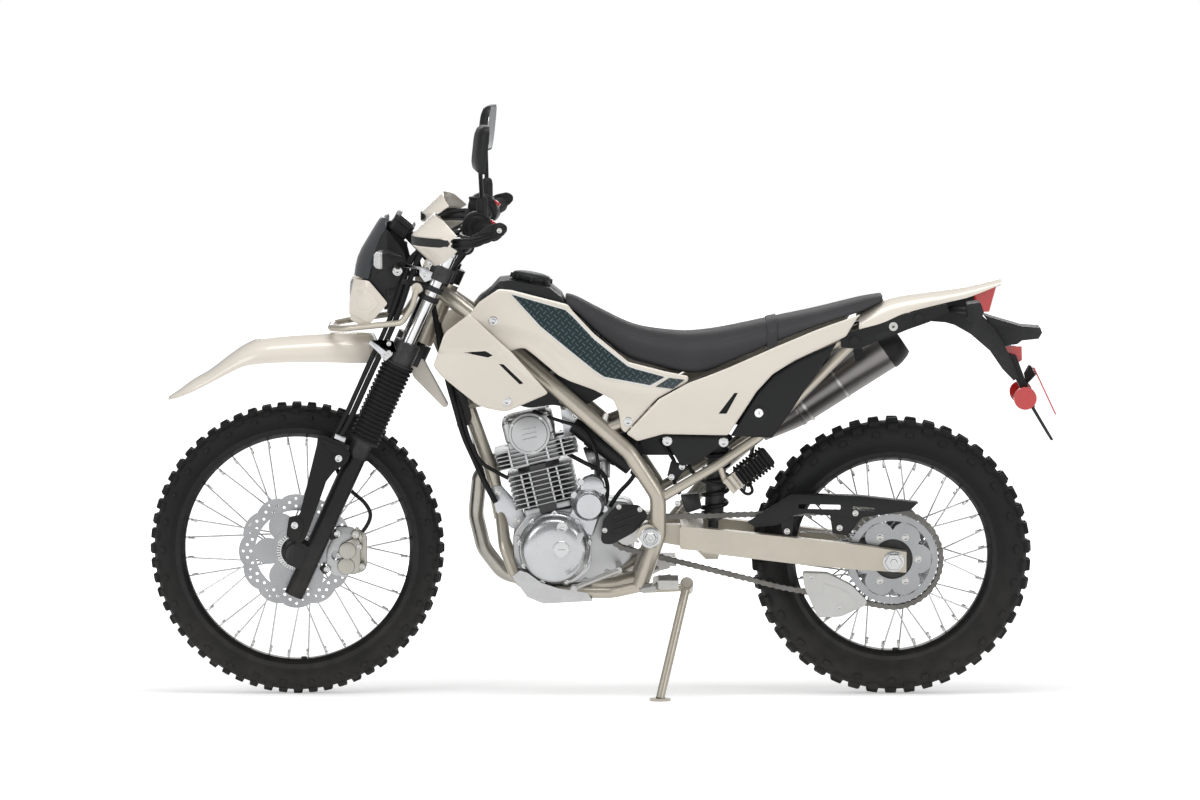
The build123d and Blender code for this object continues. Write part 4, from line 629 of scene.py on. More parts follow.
def spline_value(rows, x, column):
    """The value of one column of rows of (x, ...) at x, on a smooth curve through the rows."""
    if x <= rows[0][0]:
        return rows[0][column]
    for number in range(len(rows) - 1):
        if x <= rows[number + 1][0]:
            break
    else:
        return rows[-1][column]
    a, b = rows[number], rows[number + 1]
    span = b[0] - a[0]
    before = rows[max(number - 1, 0)]
    after = rows[min(number + 2, len(rows) - 1)]
    slope_a = (b[column] - before[column]) / (b[0] - before[0])
    slope_b = (after[column] - a[column]) / (after[0] - a[0])
    t = (x - a[0]) / span
    return ((2 * t ** 3 - 3 * t ** 2 + 1) * a[column] + (t ** 3 - 2 * t ** 2 + t) * span * slope_a
            + (3 * t ** 2 - 2 * t ** 3) * b[column] + (t ** 3 - t ** 2) * span * slope_b)


def rounded(outline, radius=5.0, cuts=3):
    """The outline with each corner rounded."""
    soft = []
    count = len(outline)
    for number, corner in enumerate(outline):
        corner = Vector(corner)
        ends = []
        for other in (outline[number - 1], outline[(number + 1) % count]):
            run = Vector(other) - corner
            ends.append(corner + run * min(0.45, radius / max(run.length, 0.001)))
        for cut in range(cuts + 1):
            t = cut / cuts
            soft.append(tuple(ends[0] * (1 - t) ** 2 + corner * 2 * t * (1 - t) + ends[1] * t * t))
    return soft


def reach_at(outline, x):
    """The lowest and highest z of the outline at x."""
    hits = []
    for number in range(len(outline)):
        (x0, z0), (x1, z1) = outline[number - 1], outline[number]
        if min(x0, x1) <= x <= max(x0, x1):
            if abs(x1 - x0) < 1e-6:
                hits += [z0, z1]
            else:
                hits.append(z0 + (z1 - z0) * (x - x0) / (x1 - x0))
    return min(hits), max(hits)


def grid_mesh(points):
    """A sheet of quads through rows of points, from a grid primitive."""
    clear_selection()
    across, along = len(points[0]), len(points)
    bpy.ops.mesh.primitive_grid_add(x_subdivisions=across - 1, y_subdivisions=along - 1, size=1)
    sheet = bpy.context.object
    for row, line in enumerate(points):
        for column, point in enumerate(line):
            sheet.data.vertices[row * across + column].co = point
    return sheet


def skin_y(rows, levels, x, z):
    """The cover's distance from the middle at (x, z), from its rows' half widths at three heights."""
    low, mid, high = (spline_value(rows, x, column) for column in (1, 2, 3))
    curve = [(levels[0], low), (levels[1], mid), (levels[2], high)]
    return spline_value(curve, z, 1)


def cover(outline, rows, levels, roll=3.0, wall=2.8, lift=0.0, spacing=7.0, inner_lines=16, corner=5.0, form=None):
    """A thin moulded cover on the left side, trimmed to its outline, with its edges rolled inwards."""
    if corner:
        outline = rounded(outline, corner)
    marks = sorted({x for x, _ in outline})
    stations = []
    for a, b in zip(marks, marks[1:]):
        if b - a < 0.3:
            continue
        cuts = max(1, math.ceil((b - a) / spacing))
        stations += [a + (b - a) * cut / cuts for cut in range(cuts)]
    stations.append(marks[-1])
    border = 7.0
    near = [0.0, 0.08, 0.25, 0.55, 1.0]
    points = []
    for x in stations:
        low, high = reach_at(outline, x)
        height = high - low
        edge = min(border, height / 2.5)
        heights = [low + edge * t for t in near]
        heights += [low + edge + (height - 2 * edge) * n / (inner_lines + 1) for n in range(1, inner_lines + 1)]
        heights += [high - edge * t for t in reversed(near)]
        line = []
        for z in heights:
            y = skin_y(rows, levels, x, z) + lift
            if form:
                y += form(x, z)
            gap = min(z - low, high - z, x - marks[0] + 1.0, marks[-1] - x + 1.0) / border
            if gap < 1:
                y -= roll * (1 - max(gap, 0)) ** 2
            line.append((x, -y, z))
        points.append(line)
    sheet = grid_mesh(points)
    bpy.ops.object.mode_set(mode="EDIT")
    bpy.ops.mesh.select_all(action="SELECT")
    bpy.ops.mesh.remove_doubles(threshold=0.05)
    bpy.ops.mesh.dissolve_degenerate(threshold=0.05)
    bpy.ops.mesh.normals_make_consistent(inside=False)
    bpy.ops.object.mode_set(mode="OBJECT")
    if sum(face.normal.y * face.area for face in sheet.data.polygons) > 0:
        bpy.ops.object.mode_set(mode="EDIT")
        bpy.ops.mesh.flip_normals()
        bpy.ops.object.mode_set(mode="OBJECT")
    thick = sheet.modifiers.new("wall", "SOLIDIFY")
    thick.thickness = wall
    thick.offset = -1
    bpy.ops.object.modifier_apply(modifier="wall")
    return sheet


def plate(outline, low, high, bevel=0.0, segments=2):
    """A flat plate of this outline of (x, z) corners, from y = low to y = high."""
    clear_selection()
    bpy.ops.mesh.primitive_circle_add(vertices=len(outline), radius=1, fill_type="NGON")
    piece = bpy.context.object
    for vertex, (x, z) in zip(piece.data.vertices, outline):
        vertex.co = (x, low, z)
    bpy.ops.object.mode_set(mode="EDIT")
    bpy.ops.mesh.select_all(action="SELECT")
    bpy.ops.mesh.extrude_region_move(TRANSFORM_OT_translate={"value": (0, high - low, 0)})
    closed_up()
    if bevel:
        soften(piece, bevel, segments)
    return piece


def soften(piece, width, segments=2, angle=40):
    """Sharp edges of a piece rounded."""
    clear_selection()
    piece.select_set(True)
    bpy.context.view_layer.objects.active = piece
    edge = piece.modifiers.new("edge", "BEVEL")
    edge.width = width
    edge.segments = segments
    edge.limit_method = "ANGLE"
    edge.angle_limit = math.radians(angle)
    bpy.ops.object.modifier_apply(modifier="edge")


def cut(piece, cutter, keep_cutter=False):
    """piece less cutter."""
    clear_selection()
    piece.select_set(True)
    bpy.context.view_layer.objects.active = piece
    opening = piece.modifiers.new("opening", "BOOLEAN")
    opening.operation = "DIFFERENCE"
    opening.object = cutter
    opening.solver = "EXACT"
    bpy.ops.object.modifier_apply(modifier="opening")
    if not keep_cutter:
        bpy.data.objects.remove(cutter)
    return piece


def mirrored(piece):
    """The same piece on the right side, with its own mesh turned outwards."""
    copy = piece.copy()
    copy.data = piece.data.copy()
    bpy.context.collection.objects.link(copy)
    copy.data.transform(Matrix.Scale(-1, 4, (0, 1, 0)))
    copy.data.flip_normals()
    return copy


def with_right(piece):
    return joined([piece, mirrored(piece)])


BODY_LEVELS = (590.0, 740.0, 965.0)
tank_rows = [(-300, 148, 153, 93), (-180, 143, 151, 85), (-50, 119, 129, 73), (80, 113, 119, 77), (240, 119, 125, 97)]
tank_cover_outline = [
    (-284, 887), (-262, 915), (-217, 944), (-187, 941), (-60, 908), (-50, 894), (0, 842), (40, 810), (78, 779), (162, 758), (214, 748),
    (213, 736), (145, 698), (71, 616), (61, 626), (56, 662), (44, 692), (0, 716), (-56, 737), (-81, 750), (-137, 797), (-157, 812), (-170, 812), (-193, 806),
]


def tank_form(x, z):
    """A shoulder line runs down the cover below the pattern; the part below it is set back."""
    line = spline_value([(-281, 880), (-190, 862), (-122, 838), (-61, 790), (20, 731), (127, 705), (214, 700)], x, 1)
    return -5.5 * max(0.0, min(1.0, (line - z) / 26))


tank_cover = cover(tank_cover_outline, tank_rows, BODY_LEVELS, form=tank_form)
fit(with_right(tank_cover), "tank_covers", "chassis", cream, ("tank_covers",))

shroud_rows = [(-372, 158, 169, 151), (-280, 159, 177, 159), (-190, 147, 169, 151), (-95, 129, 151, 133)]
SHROUD_LEVELS = (665.0, 800.0, 900.0)
shroud_outline = [
    (-282, 894), (-334, 855), (-341, 844), (-354, 805), (-364, 776), (-346, 753), (-267, 688), (-244, 678), (-209, 670), (-197, 670),
    (-110, 707), (-105, 712), (-186, 806), (-196, 815),
]


def shroud_form(x, z):
    """The upper half stands proud of a horizontal step, and a ridge runs down behind the rear slot."""
    step = max(0.0, min(1.0, (z - 806) / 5)) * (1.0 if x < -230 else max(0.0, 1 - (x + 230) / 40))
    ridge_line = 806 - (x + 222) * 0.80
    ridge = max(0.0, 1 - abs(z - ridge_line) / 16) if x > -235 else 0.0
    return 3.5 * step - 3.0 + 2.5 * ridge


shroud = cover(shroud_outline, shroud_rows, SHROUD_LEVELS, form=shroud_form, inner_lines=34, spacing=5.0)
for slot in ([(-296, 808), (-246, 811), (-229, 801), (-240, 796)], [(-216, 781), (-205, 780), (-160, 735), (-169, 733)]):
    cut(shroud, plate(slot, -240, -100))
fit(with_right(shroud), "shrouds", "chassis", cream, ("shrouds",))

side_rows = [(60, 109, 117, 99), (150, 117, 127, 117), (300, 123, 134, 127), (450, 109, 123, 115), (640, 91, 98, 93)]
side_outline = [
    (72.5, 615), (98, 598), (157, 615), (304, 613), (369, 714), (405, 753), (455, 784), (555, 829), (572, 837), (597, 878), (606, 887),
    (506, 853), (405, 812), (304, 768), (253, 748), (215, 734), (147, 696),
]
side_cover = cover(side_outline, side_rows, BODY_LEVELS)
cut(side_cover, plate([(282, 663), (300, 663), (326, 711), (318, 711)], -240, -60))
fit(with_right(side_cover), "side_covers", "chassis", cream, ("side_covers",))

panel_rows = [(150, 109, 117, 101), (300, 113, 123, 113), (450, 101, 111, 105), (570, 93, 99, 93)]
side_panel = cover([(310, 610), (372, 712), (407, 750), (456, 781), (553, 823), (506, 751), (476, 710), (450, 669), (405, 605)],
                   panel_rows, BODY_LEVELS, corner=3)
battery_cover = cover([(157, 612), (303, 610), (306, 603), (233, 547), (197, 541), (167, 592)], panel_rows, (530.0, 600.0, 700.0), corner=4)
fit(joined([with_right(side_panel), with_right(battery_cover)]), "side_panels", "chassis", moulded_black, ("side_panels",))

# Vinyl on the tank covers: a dark diamond-plate pattern inside a thin white line, and a short piece behind it.
diamond, given, result = effect_group("diamond_plate", ["Mask"], [("Scale", 62.0)])
place = diamond.nodes.new("ShaderNodeTexCoord")
apart = diamond.nodes.new("ShaderNodeSeparateXYZ")
diamond.links.new(place.outputs["Object"], apart.inputs[0])
across = math_node(diamond, "MULTIPLY", apart.outputs["X"], given.outputs["Scale"])
upward = math_node(diamond, "MULTIPLY", apart.outputs["Z"], given.outputs["Scale"])
diagonal_a = math_node(diamond, "ADD", across, upward)
diagonal_b = math_node(diamond, "SUBTRACT", across, upward)
cell_a = math_node(diamond, "FLOOR", diagonal_a)
cell_b = math_node(diamond, "FLOOR", diagonal_b)
local_a = math_node(diamond, "SUBTRACT", math_node(diamond, "FRACT", diagonal_a), 0.5)
local_b = math_node(diamond, "SUBTRACT", math_node(diamond, "FRACT", diagonal_b), 0.5)
odd = math_node(diamond, "FLOORED_MODULO", math_node(diamond, "ADD", cell_a, cell_b), 2.0)
length_a = math_node(diamond, "ABSOLUTE", local_a)
length_b = math_node(diamond, "ABSOLUTE", local_b)


def bar_mask(along, beside):
    inside = math_node(diamond, "LESS_THAN", along, 0.40)
    return math_node(diamond, "MULTIPLY", inside, math_node(diamond, "LESS_THAN", beside, 0.085))


bar_one = math_node(diamond, "MULTIPLY", bar_mask(length_a, length_b), odd)
bar_two = math_node(diamond, "MULTIPLY", bar_mask(length_b, length_a), math_node(diamond, "SUBTRACT", 1.0, odd))
diamond.links.new(math_node(diamond, "ADD", bar_one, bar_two), result.inputs["Mask"])


def diamond_pattern(tree, shader, shade):
    bars = place_effect(tree, diamond, Scale=62.0)
    return mixed(tree, bars.outputs["Mask"], shade, (0.115, 0.155, 0.165))


diamond_vinyl = finish("diamond_vinyl", (0.022, 0.040, 0.046), 0.24, grain_scale=300, grain_depth=0.01, coat=0.5, pattern=diamond_pattern)
white_vinyl = finish("white_vinyl", (0.92, 0.92, 0.90), 0.25, grain_scale=300, grain_depth=0.005, coat=0.4)
decal_outline = [(-188, 932), (-66, 896), (-50, 882), (0, 830), (40, 798), (76, 770), (92, 764), (160, 746), (127, 727), (22, 747),
                 (0, 762), (-61, 811), (-122, 861)]
second_outline = [(170, 744), (206, 740), (178, 719), (139, 724)]


def grown(outline, amount):
    """The outline moved outwards."""
    area = sum(outline[n - 1][0] * outline[n][1] - outline[n][0] * outline[n - 1][1] for n in range(len(outline)))
    sign = 1 if area < 0 else -1
    out = []
    for number, point in enumerate(outline):
        before, after = Vector(outline[number - 1]), Vector(outline[(number + 1) % len(outline)])
        here = Vector(point)
        normals = []
        for start, end in ((before, here), (here, after)):
            run = (end - start).normalized()
            normals.append(Vector((-run.y, run.x)) * sign)
        middle = (normals[0] + normals[1]).normalized()
        out.append(tuple(here + middle * amount / max(0.5, middle.dot(normals[0]))))
    return out


decals = [cover(outline, tank_rows, BODY_LEVELS, roll=0.0, wall=0.3, lift=0.75, corner=2, form=tank_form)
          for outline in (decal_outline, second_outline)]
fit(with_right(joined(decals)), "diamond_decals", "chassis", diamond_vinyl)
stripes = [cover(grown(outline, 3.2), tank_rows, BODY_LEVELS, roll=0.0, wall=0.3, lift=0.42, corner=2, form=tank_form)
           for outline in (decal_outline,)]
fit(with_right(joined(stripes)), "decal_outlines", "chassis", white_vinyl)


def lofted(rings, closed=True):
    """A closed skin through rings of points, with its ends filled."""
    if closed:
        rings = [list(ring) + [ring[0]] for ring in rings]
    sheet = grid_mesh(rings)
    bpy.ops.object.mode_set(mode="EDIT")
    bpy.ops.mesh.select_all(action="SELECT")
    bpy.ops.mesh.remove_doubles(threshold=0.02)
    bpy.ops.mesh.fill_holes(sides=0)
    closed_up()
    return sheet


# The steel tank's black centre cover, crowned between the cream sides, with the ribbed filler cap.
centre_rows = [  # x, height of the middle, height of the edge, half width
    (-276, 893, 876, 46), (-262, 916, 900, 62), (-240, 938, 922, 72), (-217, 953, 936, 79), (-190, 961, 938, 81), (-150, 958, 929, 79),
    (-101, 946, 914, 76), (-80, 930, 904, 74), (-66, 908, 890, 72), (-58, 890, 876, 70),
]
rings = []
for step in range(45):
    x = -276 + (218 * step / 44)
    mid, edge, half = (spline_value(centre_rows, x, column) for column in (1, 2, 3))
    ring = []
    for turn in range(25):
        t = -1 + 2 * turn / 24
        ring.append((x, half * t, edge + (mid - edge) * (1 - abs(t) ** 2.6)))
    ring += [(x, half, edge - 30), (x, -half, edge - 30)]
    rings.append(ring)
centre = lofted(rings)
cap_body = turned([(0, 0), (43, 0), (45, 3), (45, 11), (41, 16), (30, 19), (14, 19.5), (0, 19.5)], 64)
cap_body.data.transform(Matrix.Rotation(math.radians(90), 4, "X"))
grip_ring = repeated(block(11, 7, 11, narrow=0.8, bevel=1.2), [Matrix.Rotation(math.radians(45 * n), 4, "Z") @ Matrix.Translation((44, 0, 1)) for n in range(8)])
cap_place = Matrix.Translation((-145, 0, 954)) @ Matrix.Rotation(math.radians(10), 4, "Y")
filler = joined([cap_body, grip_ring])
filler.data.transform(cap_place)
fit(joined([centre, filler]), "tank_centre", "chassis", moulded_black, smooth=40)

# ---- seat ----
# A foam base under one stretched cover of grained synthetic leather: a top panel sewn to two sides with
# a welted seam, tucked under the pan, with a passenger strap across.
seat_rows = [  # x, underside, top, half width below, half width above
    (-66, 897, 927, 50, 40), (-40, 880, 918, 60, 48), (0, 842, 897, 72, 56), (76, 781, 860, 88, 70), (121, 768, 847, 102, 84),
    (202, 750, 838, 120, 104), (253, 752, 841, 126, 110), (304, 772, 849, 126, 108), (405, 816, 870, 118, 98), (506, 857, 891, 106, 86),
    (611, 891, 917, 88, 70), (658, 914, 925, 62, 50),
]
AROUND = 40


def seat_ring(x, inset=0.0):
    """The seat's section at x: a flat underside, sides that lean in, and a crowned top."""
    low, high, wide, narrow = (spline_value(seat_rows, x, column) for column in (1, 2, 3, 4))
    height = high - low
    ring = []
    for turn in range(AROUND):
        angle = math.pi * turn / (AROUND - 1)
        across, up = math.cos(angle), math.sin(angle)
        shape_y = math.copysign(abs(across) ** 0.62, across)
        shape_z = up ** 0.60
        half = wide + (narrow - wide) * shape_z ** 1.6
        seam = math.exp(-((abs(turn - (AROUND - 1) / 2) - 11.5) / 0.55) ** 2)
        ring.append((x, shape_y * (half - inset - 1.4 * seam), low + (height - inset) * shape_z - 1.0 * seam))
    return ring


stations = [-66, -64, -60, -54, -46] + [-38 + 8 * n for n in range(85)] + [646, 651, 655, 658]
rings = []
for x in stations:
    pull = 3.0 * max(0, 1 - (x + 66) / 10) ** 2 + 2.0 * max(0, 1 - (658 - x) / 8) ** 2
    rings.append(seat_ring(x, pull))
seat = lofted(rings)
tidy = seat.modifiers.new("soft", "SUBSURF")
tidy.levels = tidy.render_levels = 1
clear_selection()
seat.select_set(True)
bpy.context.view_layer.objects.active = seat
bpy.ops.object.modifier_apply(modifier="soft")
fit(seat, "seat", "chassis", seat_cover, ("seat",), smooth=60)
strap_rings = []
for x, proud in ((392, 0.2), (392.5, 2.4), (394, 3.0), (404, 3.2), (414, 3.0), (415.5, 2.4), (416, 0.2)):
    ring = [(p[0], p[1] * (1 + proud / 110), p[2] + proud * (1 if 3 < n < AROUND - 4 else 0.2)) for n, p in enumerate(seat_ring(x))]
    strap_rings.append(ring)
strap = lofted(strap_rings)
fit(strap, "seat_strap", "chassis", seat_cover, smooth=40)

# ---- tail ----
# A cream trough over the rear rails, black stamped brackets with bolts, and a black moulded arch that
# carries the lamp, the indicators, the plate holder and the lower flap.
tail_rows = [  # x, lower edge, top, half width
    (602, 853, 882, 94), (657, 867, 912, 88), (702, 886, 924, 82), (803, 911, 937, 66), (853, 922, 944, 56), (928, 950, 961, 40),
]
rings = []
for step in range(41):
    x = 602 + 326 * step / 40
    low, high, half = (spline_value(tail_rows, x, column) for column in (1, 2, 3))
    line = []
    for turn in range(33):
        t = -1 + 2 * turn / 32
        rise = (1 - abs(t) ** 3.2)
        line.append((x, half * math.copysign(min(1.0, abs(t) ** 0.82), t), low + (high - low) * rise ** 0.8))
    rings.append(line)
tail = grid_mesh(rings)
if sum(face.normal.z * face.area for face in tail.data.polygons) < 0:
    bpy.ops.object.mode_set(mode="EDIT")
    bpy.ops.mesh.select_all(action="SELECT")
    bpy.ops.mesh.flip_normals()
    bpy.ops.object.mode_set(mode="OBJECT")
thick = tail.modifiers.new("wall", "SOLIDIFY")
thick.thickness = 3
thick.offset = -1
bpy.ops.object.modifier_apply(modifier="wall")
fit(tail, "tail_cover", "chassis", cream, ("tail_cover",), smooth=45)

# ---- engine ----
# An air-cooled single: die-cast alloy crankcase and covers, a barrel with eight cast fins on a dark sleeve,
# a head with five wider fins and a bolted round cam cover, hung in the frame on pressed steel plates.
sleeve_grey = finish("cast_sleeve", (0.09, 0.09, 0.092), 0.55, metal=0.4, grain_scale=500, grain_depth=0.12, dust=0.2)
polished_cover = finish("polished_cover", (0.54, 0.55, 0.565), 0.25, metal=0.9, grain_scale=520, grain_depth=0.05, vary=0.07,
                        wear=(0.9, 0.9, 0.9), wear_amount=0.4, dust=0.2)
CYLINDER = Matrix.Translation((-104, 0, 430)) @ Matrix.Rotation(math.radians(-13.8), 4, "Y")


def box_outline(wide, deep, radius, x=0.0, cuts=5):
    """A rounded rectangle of (x, y) corners."""
    corners = [(x - wide / 2, -deep / 2), (x + wide / 2, -deep / 2), (x + wide / 2, deep / 2), (x - wide / 2, deep / 2)]
    return rounded(corners, radius, cuts)


def slab_up(outline, low, high, bevel=0.0, segments=2):
    """A flat piece of this outline of (x, y) corners, from z = low to z = high."""
    piece = plate([(x, -y) for x, y in outline], low, high, bevel, segments)
    piece.data.transform(Matrix.Rotation(math.radians(90), 4, "X"))
    return piece


def post(x, y, low, high, radius, vertices=32, bevel=0.0):
    """A round piece standing along Z."""
    clear_selection()
    bpy.ops.mesh.primitive_cylinder_add(vertices=vertices, radius=radius, depth=high - low, location=(x, y, (low + high) / 2))
    piece = bpy.context.object
    bpy.ops.object.transform_apply(location=True)
    if bevel:
        soften(piece, bevel)
    return piece


barrel = [post(0, 0, 0, 112, 49, 40), slab_up(box_outline(40, 40, 5, 0), 0, 111)]
barrel[1].data.transform(Matrix.Translation((0, -46, 0)))
fit(joined(barrel), "cylinder_sleeve", "chassis", sleeve_grey, place=CYLINDER)
fins = [slab_up(box_outline(112, 112, 10), 0, 14, 1.5)]
for number in range(8):
    low = 20 + number * 11
    fins.append(slab_up(box_outline(152, 146, 16, 2), low, low + 2.6, 0.9))
for x, y in ((-66, -18), (-66, 22), (66, -22), (66, 24), (-24, -70), (22, -70), (-24, 70), (22, 70), (-45, -70), (44, -70)):
    fins.append(post(x * 0.93, y * 0.93, 18, 100, 2.6, 8))
fit(joined(fins), "cylinder", "chassis", bare_alloy, ("cylinder",), place=CYLINDER)
head = [slab_up(box_outline(110, 114, 8), 112, 176, 2)]
for number in range(5):
    low = 118 + number * 9.5
    head.append(slab_up(box_outline(190, 152, 18, 4), low, low + 2.6, 0.9))
for x, y in ((-56, -73), (-20, -73), (30, -73), (66, -73), (-56, 73), (-20, 73), (30, 73), (66, 73)):
    head.append(post(x, y, 116, 160, 2.8, 8))
head.append(slab_up(box_outline(116, 126, 16), 172, 222, 7, 3))
head.append(slab_up(box_outline(96, 108, 20), 220, 228, 4, 2))
for x in (-46, 46):
    for y in (-52, 52):
        head.append(post(x, y, 205, 224, 8, 16, 1.2))
cam_cover = turned([(0, 0), (0, 22), (36, 22), (40, 20.5), (42, 16.5), (47, 15.5), (48, 13), (48, 0)], 72)
cam_cover.data.transform(Matrix.Translation((0, -62, 186)) @ Matrix.Rotation(math.pi, 4, "X"))
head.append(cam_cover)
for number in range(3):
    web = block(34, 2.4, 3, narrow=0.9, bevel=0.6)
    web.data.transform(Matrix.Translation((-2 + number * 2, -84, 176 + number * 11)) @ Matrix.Rotation(math.radians(90), 4, "X"))
    head.append(web)
fit(joined(head), "cylinder_head", "chassis", bare_alloy, ("cylinder_head",), place=CYLINDER)


def tube(points, radius, order=3, fineness=8, round_steps=5, smooth=True):
    """A round bar or hose along one smooth spline through its control points."""
    clear_selection()
    line = bpy.data.curves.new("line", "CURVE")
    line.dimensions = "3D"
    spline = line.splines.new("NURBS")
    spline.points.add(len(points) - 1)
    for place, point in zip(spline.points, points):
        place.co = (*point, 1)
    spline.order_u = order
    spline.use_endpoint_u = True
    line.resolution_u = fineness
    line.bevel_depth = radius
    line.bevel_resolution = round_steps
    line.use_fill_caps = True
    made = bpy.data.objects.new("line", line)
    bpy.context.collection.objects.link(made)
    made.select_set(True)
    bpy.context.view_layer.objects.active = made
    bpy.ops.object.convert(target="MESH")
    return bpy.context.object


ports = [tube([(-46, 32, 142), (-70, 35, 136), (-92, 38, 127)], 22), tube([(48, 0, 142), (70, 0, 142), (92, 0, 140)], 22)]
fit(joined(ports), "head_ports", "chassis", bare_alloy, place=CYLINDER)
cam_bolts = [((x, -64 - 15.5, 186 + z), LEFT) for x, z in ((-33, 28), (33, 28), (0, -43))]
bolts("cam_cover_bolts", "chassis", 3.6, [(tuple(CYLINDER @ Vector(point)), tuple(CYLINDER.to_3x3() @ Vector(way))) for point, way in cam_bolts])

case_outline = [(-186, 306), (-186, 378), (-152, 424), (-60, 436), (20, 455), (80, 450), (94, 425), (92, 345), (78, 312), (36, 284),
                (-20, 262), (-120, 260), (-168, 280)]
case = [plate(rounded(case_outline, 14, 5), -57, -1.0, 4, 3), plate(rounded(case_outline, 14, 5), 1.0, 57, 4, 3),
        plate(rounded(grown(case_outline, -3), 14, 5), -2, 2)]
case_bolts = []
for x, z in ((-176, 300), (-178, 372), (-142, 414), (60, 440), (84, 350), (30, 290), (-20, 271), (-118, 268), (-66, 266), (88, 410)):
    lug = post(x * 0.985, z * 0.99, -60, 60, 7.5, 18, 1.2)
    lug.data.transform(Matrix.Rotation(math.radians(90), 4, "X"))
    case.append(lug)
    case_bolts.append(((x * 0.985, -60, z * 0.99), LEFT))
output = turned([(0, -82), (10, -82), (10, -56), (0, -56)], 24)
output.data.transform(Matrix.Translation((75, 0, 381)))
case.append(output)
fit(joined(case), "crankcase", "chassis", bare_alloy, ("crankcase",), smooth=40)
bolts("crankcase_bolts", "chassis", 4, case_bolts)
front_sprocket = turned([(10, -73), (27, -73), (27, -67), (10, -67)], 40)
front_sprocket.data.transform(Matrix.Translation((75, 0, 381)))
teeth = repeated(block(7, 5.6, 9, narrow=0.55, bevel=0.5), [
    Matrix.Translation((75, -70, 381)) @ Matrix.Rotation(2 * math.pi * n / 14, 4, "Y") @ Matrix.Translation((0, 0, 26)) for n in range(14)])
fit(joined([front_sprocket, teeth]), "front_sprocket", "chassis", steel)


def dish(x, z, face, side, profile, steps=72):
    """A round cover on the crankcase: a profile of (radius, height) turned about an axis across the machine."""
    loop = [(0, 0)] + [(r, h) for r, h in profile] + [(0, profile[-1][1])]
    piece = turned(loop, steps)
    if side < 0:
        piece.data.transform(Matrix.Rotation(math.pi, 4, "X"))
    piece.data.transform(Matrix.Translation((x, side * face, z)))
    return piece


left = [
    dish(-91, 347, 56, -1, [(82, 0), (82, 24), (80.5, 27), (77, 29.5), (76, 40), (74, 54), (68, 62), (60, 65.5), (46, 67.5), (22, 68.5)]),
    dish(-12, 449, 56, -1, [(40, 0), (40, 20), (38, 25), (33, 29), (31, 36), (28, 38.5), (12, 39.5)]),
    dish(-5, 487, 56, -1, [(29, 0), (29, 20), (26, 25), (18, 27)]),
    plate(rounded([(-66, 400), (-36, 482), (24, 452), (-4, 372)], 10, 4), -80, -56, 5, 3),
    plate(rounded([(-168, 300), (-172, 372), (-140, 420), (-70, 432), (-10, 410), (-6, 300), (-50, 262), (-120, 262)], 16, 4), -68, -56, 3, 2),
]
ridge = plate(rounded([(-34, 392), (-22, 388), (-60, 292), (-76, 288)], 6, 3), -122, -96, 4, 3)
left.append(ridge)
fit(joined(left), "left_engine_covers", "chassis", polished_cover, ("engine_side_covers",), smooth=40)
plugs = []
for x, z, radius, face in ((-75, 350, 20, 124.4), (-73, 402, 13, 121.5)):
    plugs.append(dish(x, z, face - 6, -1, [(radius, 0), (radius, 6.6), (radius - 1, 7.6), (radius - 3, 7.8), (radius - 3.6, 7.0)], 40))
    slot_bar = block(radius * 0.9, 2.6, 1.6, bevel=0.4)
    slot_bar.data.transform(Matrix.Translation((x, -face - 1.0, z)) @ Matrix.Rotation(math.radians(90), 4, "X"))
    plugs.append(slot_bar)
fit(joined(plugs), "generator_plugs", "chassis", bright_alloy)
cover_bolts = []
for degrees in range(10, 370, 40):
    angle = math.radians(degrees)
    cover_bolts.append(((-91 + 79 * math.cos(angle), -82.5, 347 + 79 * math.sin(angle)), LEFT))
for x, z in ((24, 438), (-46, 470), (20, 480), (-30, 500)):
    cover_bolts.append(((x, -80, z), LEFT))
bosses = []
for (x, y, z), way in cover_bolts:
    bosses.append(dish(x, z, 56, -1, [(8, 0), (8, 26), (7, 27)], 16))
fit(joined(bosses), "cover_bosses", "chassis", polished_cover, smooth=40)
bolts("left_cover_bolts", "chassis", 4, cover_bolts)
right = [
    dish(-24, 362, 56, 1, [(85, 0), (85, 20), (82, 26), (78, 30), (77, 44), (72, 52), (60, 58), (40, 61), (18, 62)]),
    dish(-112, 350, 56, 1, [(67, 0), (67, 20), (63, 27), (58, 32), (50, 41), (30, 43)]),
    plate(rounded([(-170, 300), (-172, 380), (-120, 420), (20, 446), (66, 420), (66, 316), (10, 276), (-120, 270)], 16, 4), 56, 70, 3, 2),
    dish(18, 300, 56, 1, [(15, 0), (15, 26), (12, 30)], 32),
]
fit(joined(right), "right_engine_covers", "chassis", polished_cover, smooth=40)
right_bolts = []
for x, z in ((-164, 306), (-166, 374), (-116, 412), (-50, 424), (20, 438), (60, 414), (62, 322), (12, 282), (-60, 276), (-120, 276)):
    right_bolts.append(((x, 70, z), RIGHT))
bolts("right_cover_bolts", "chassis", 4.5, right_bolts)

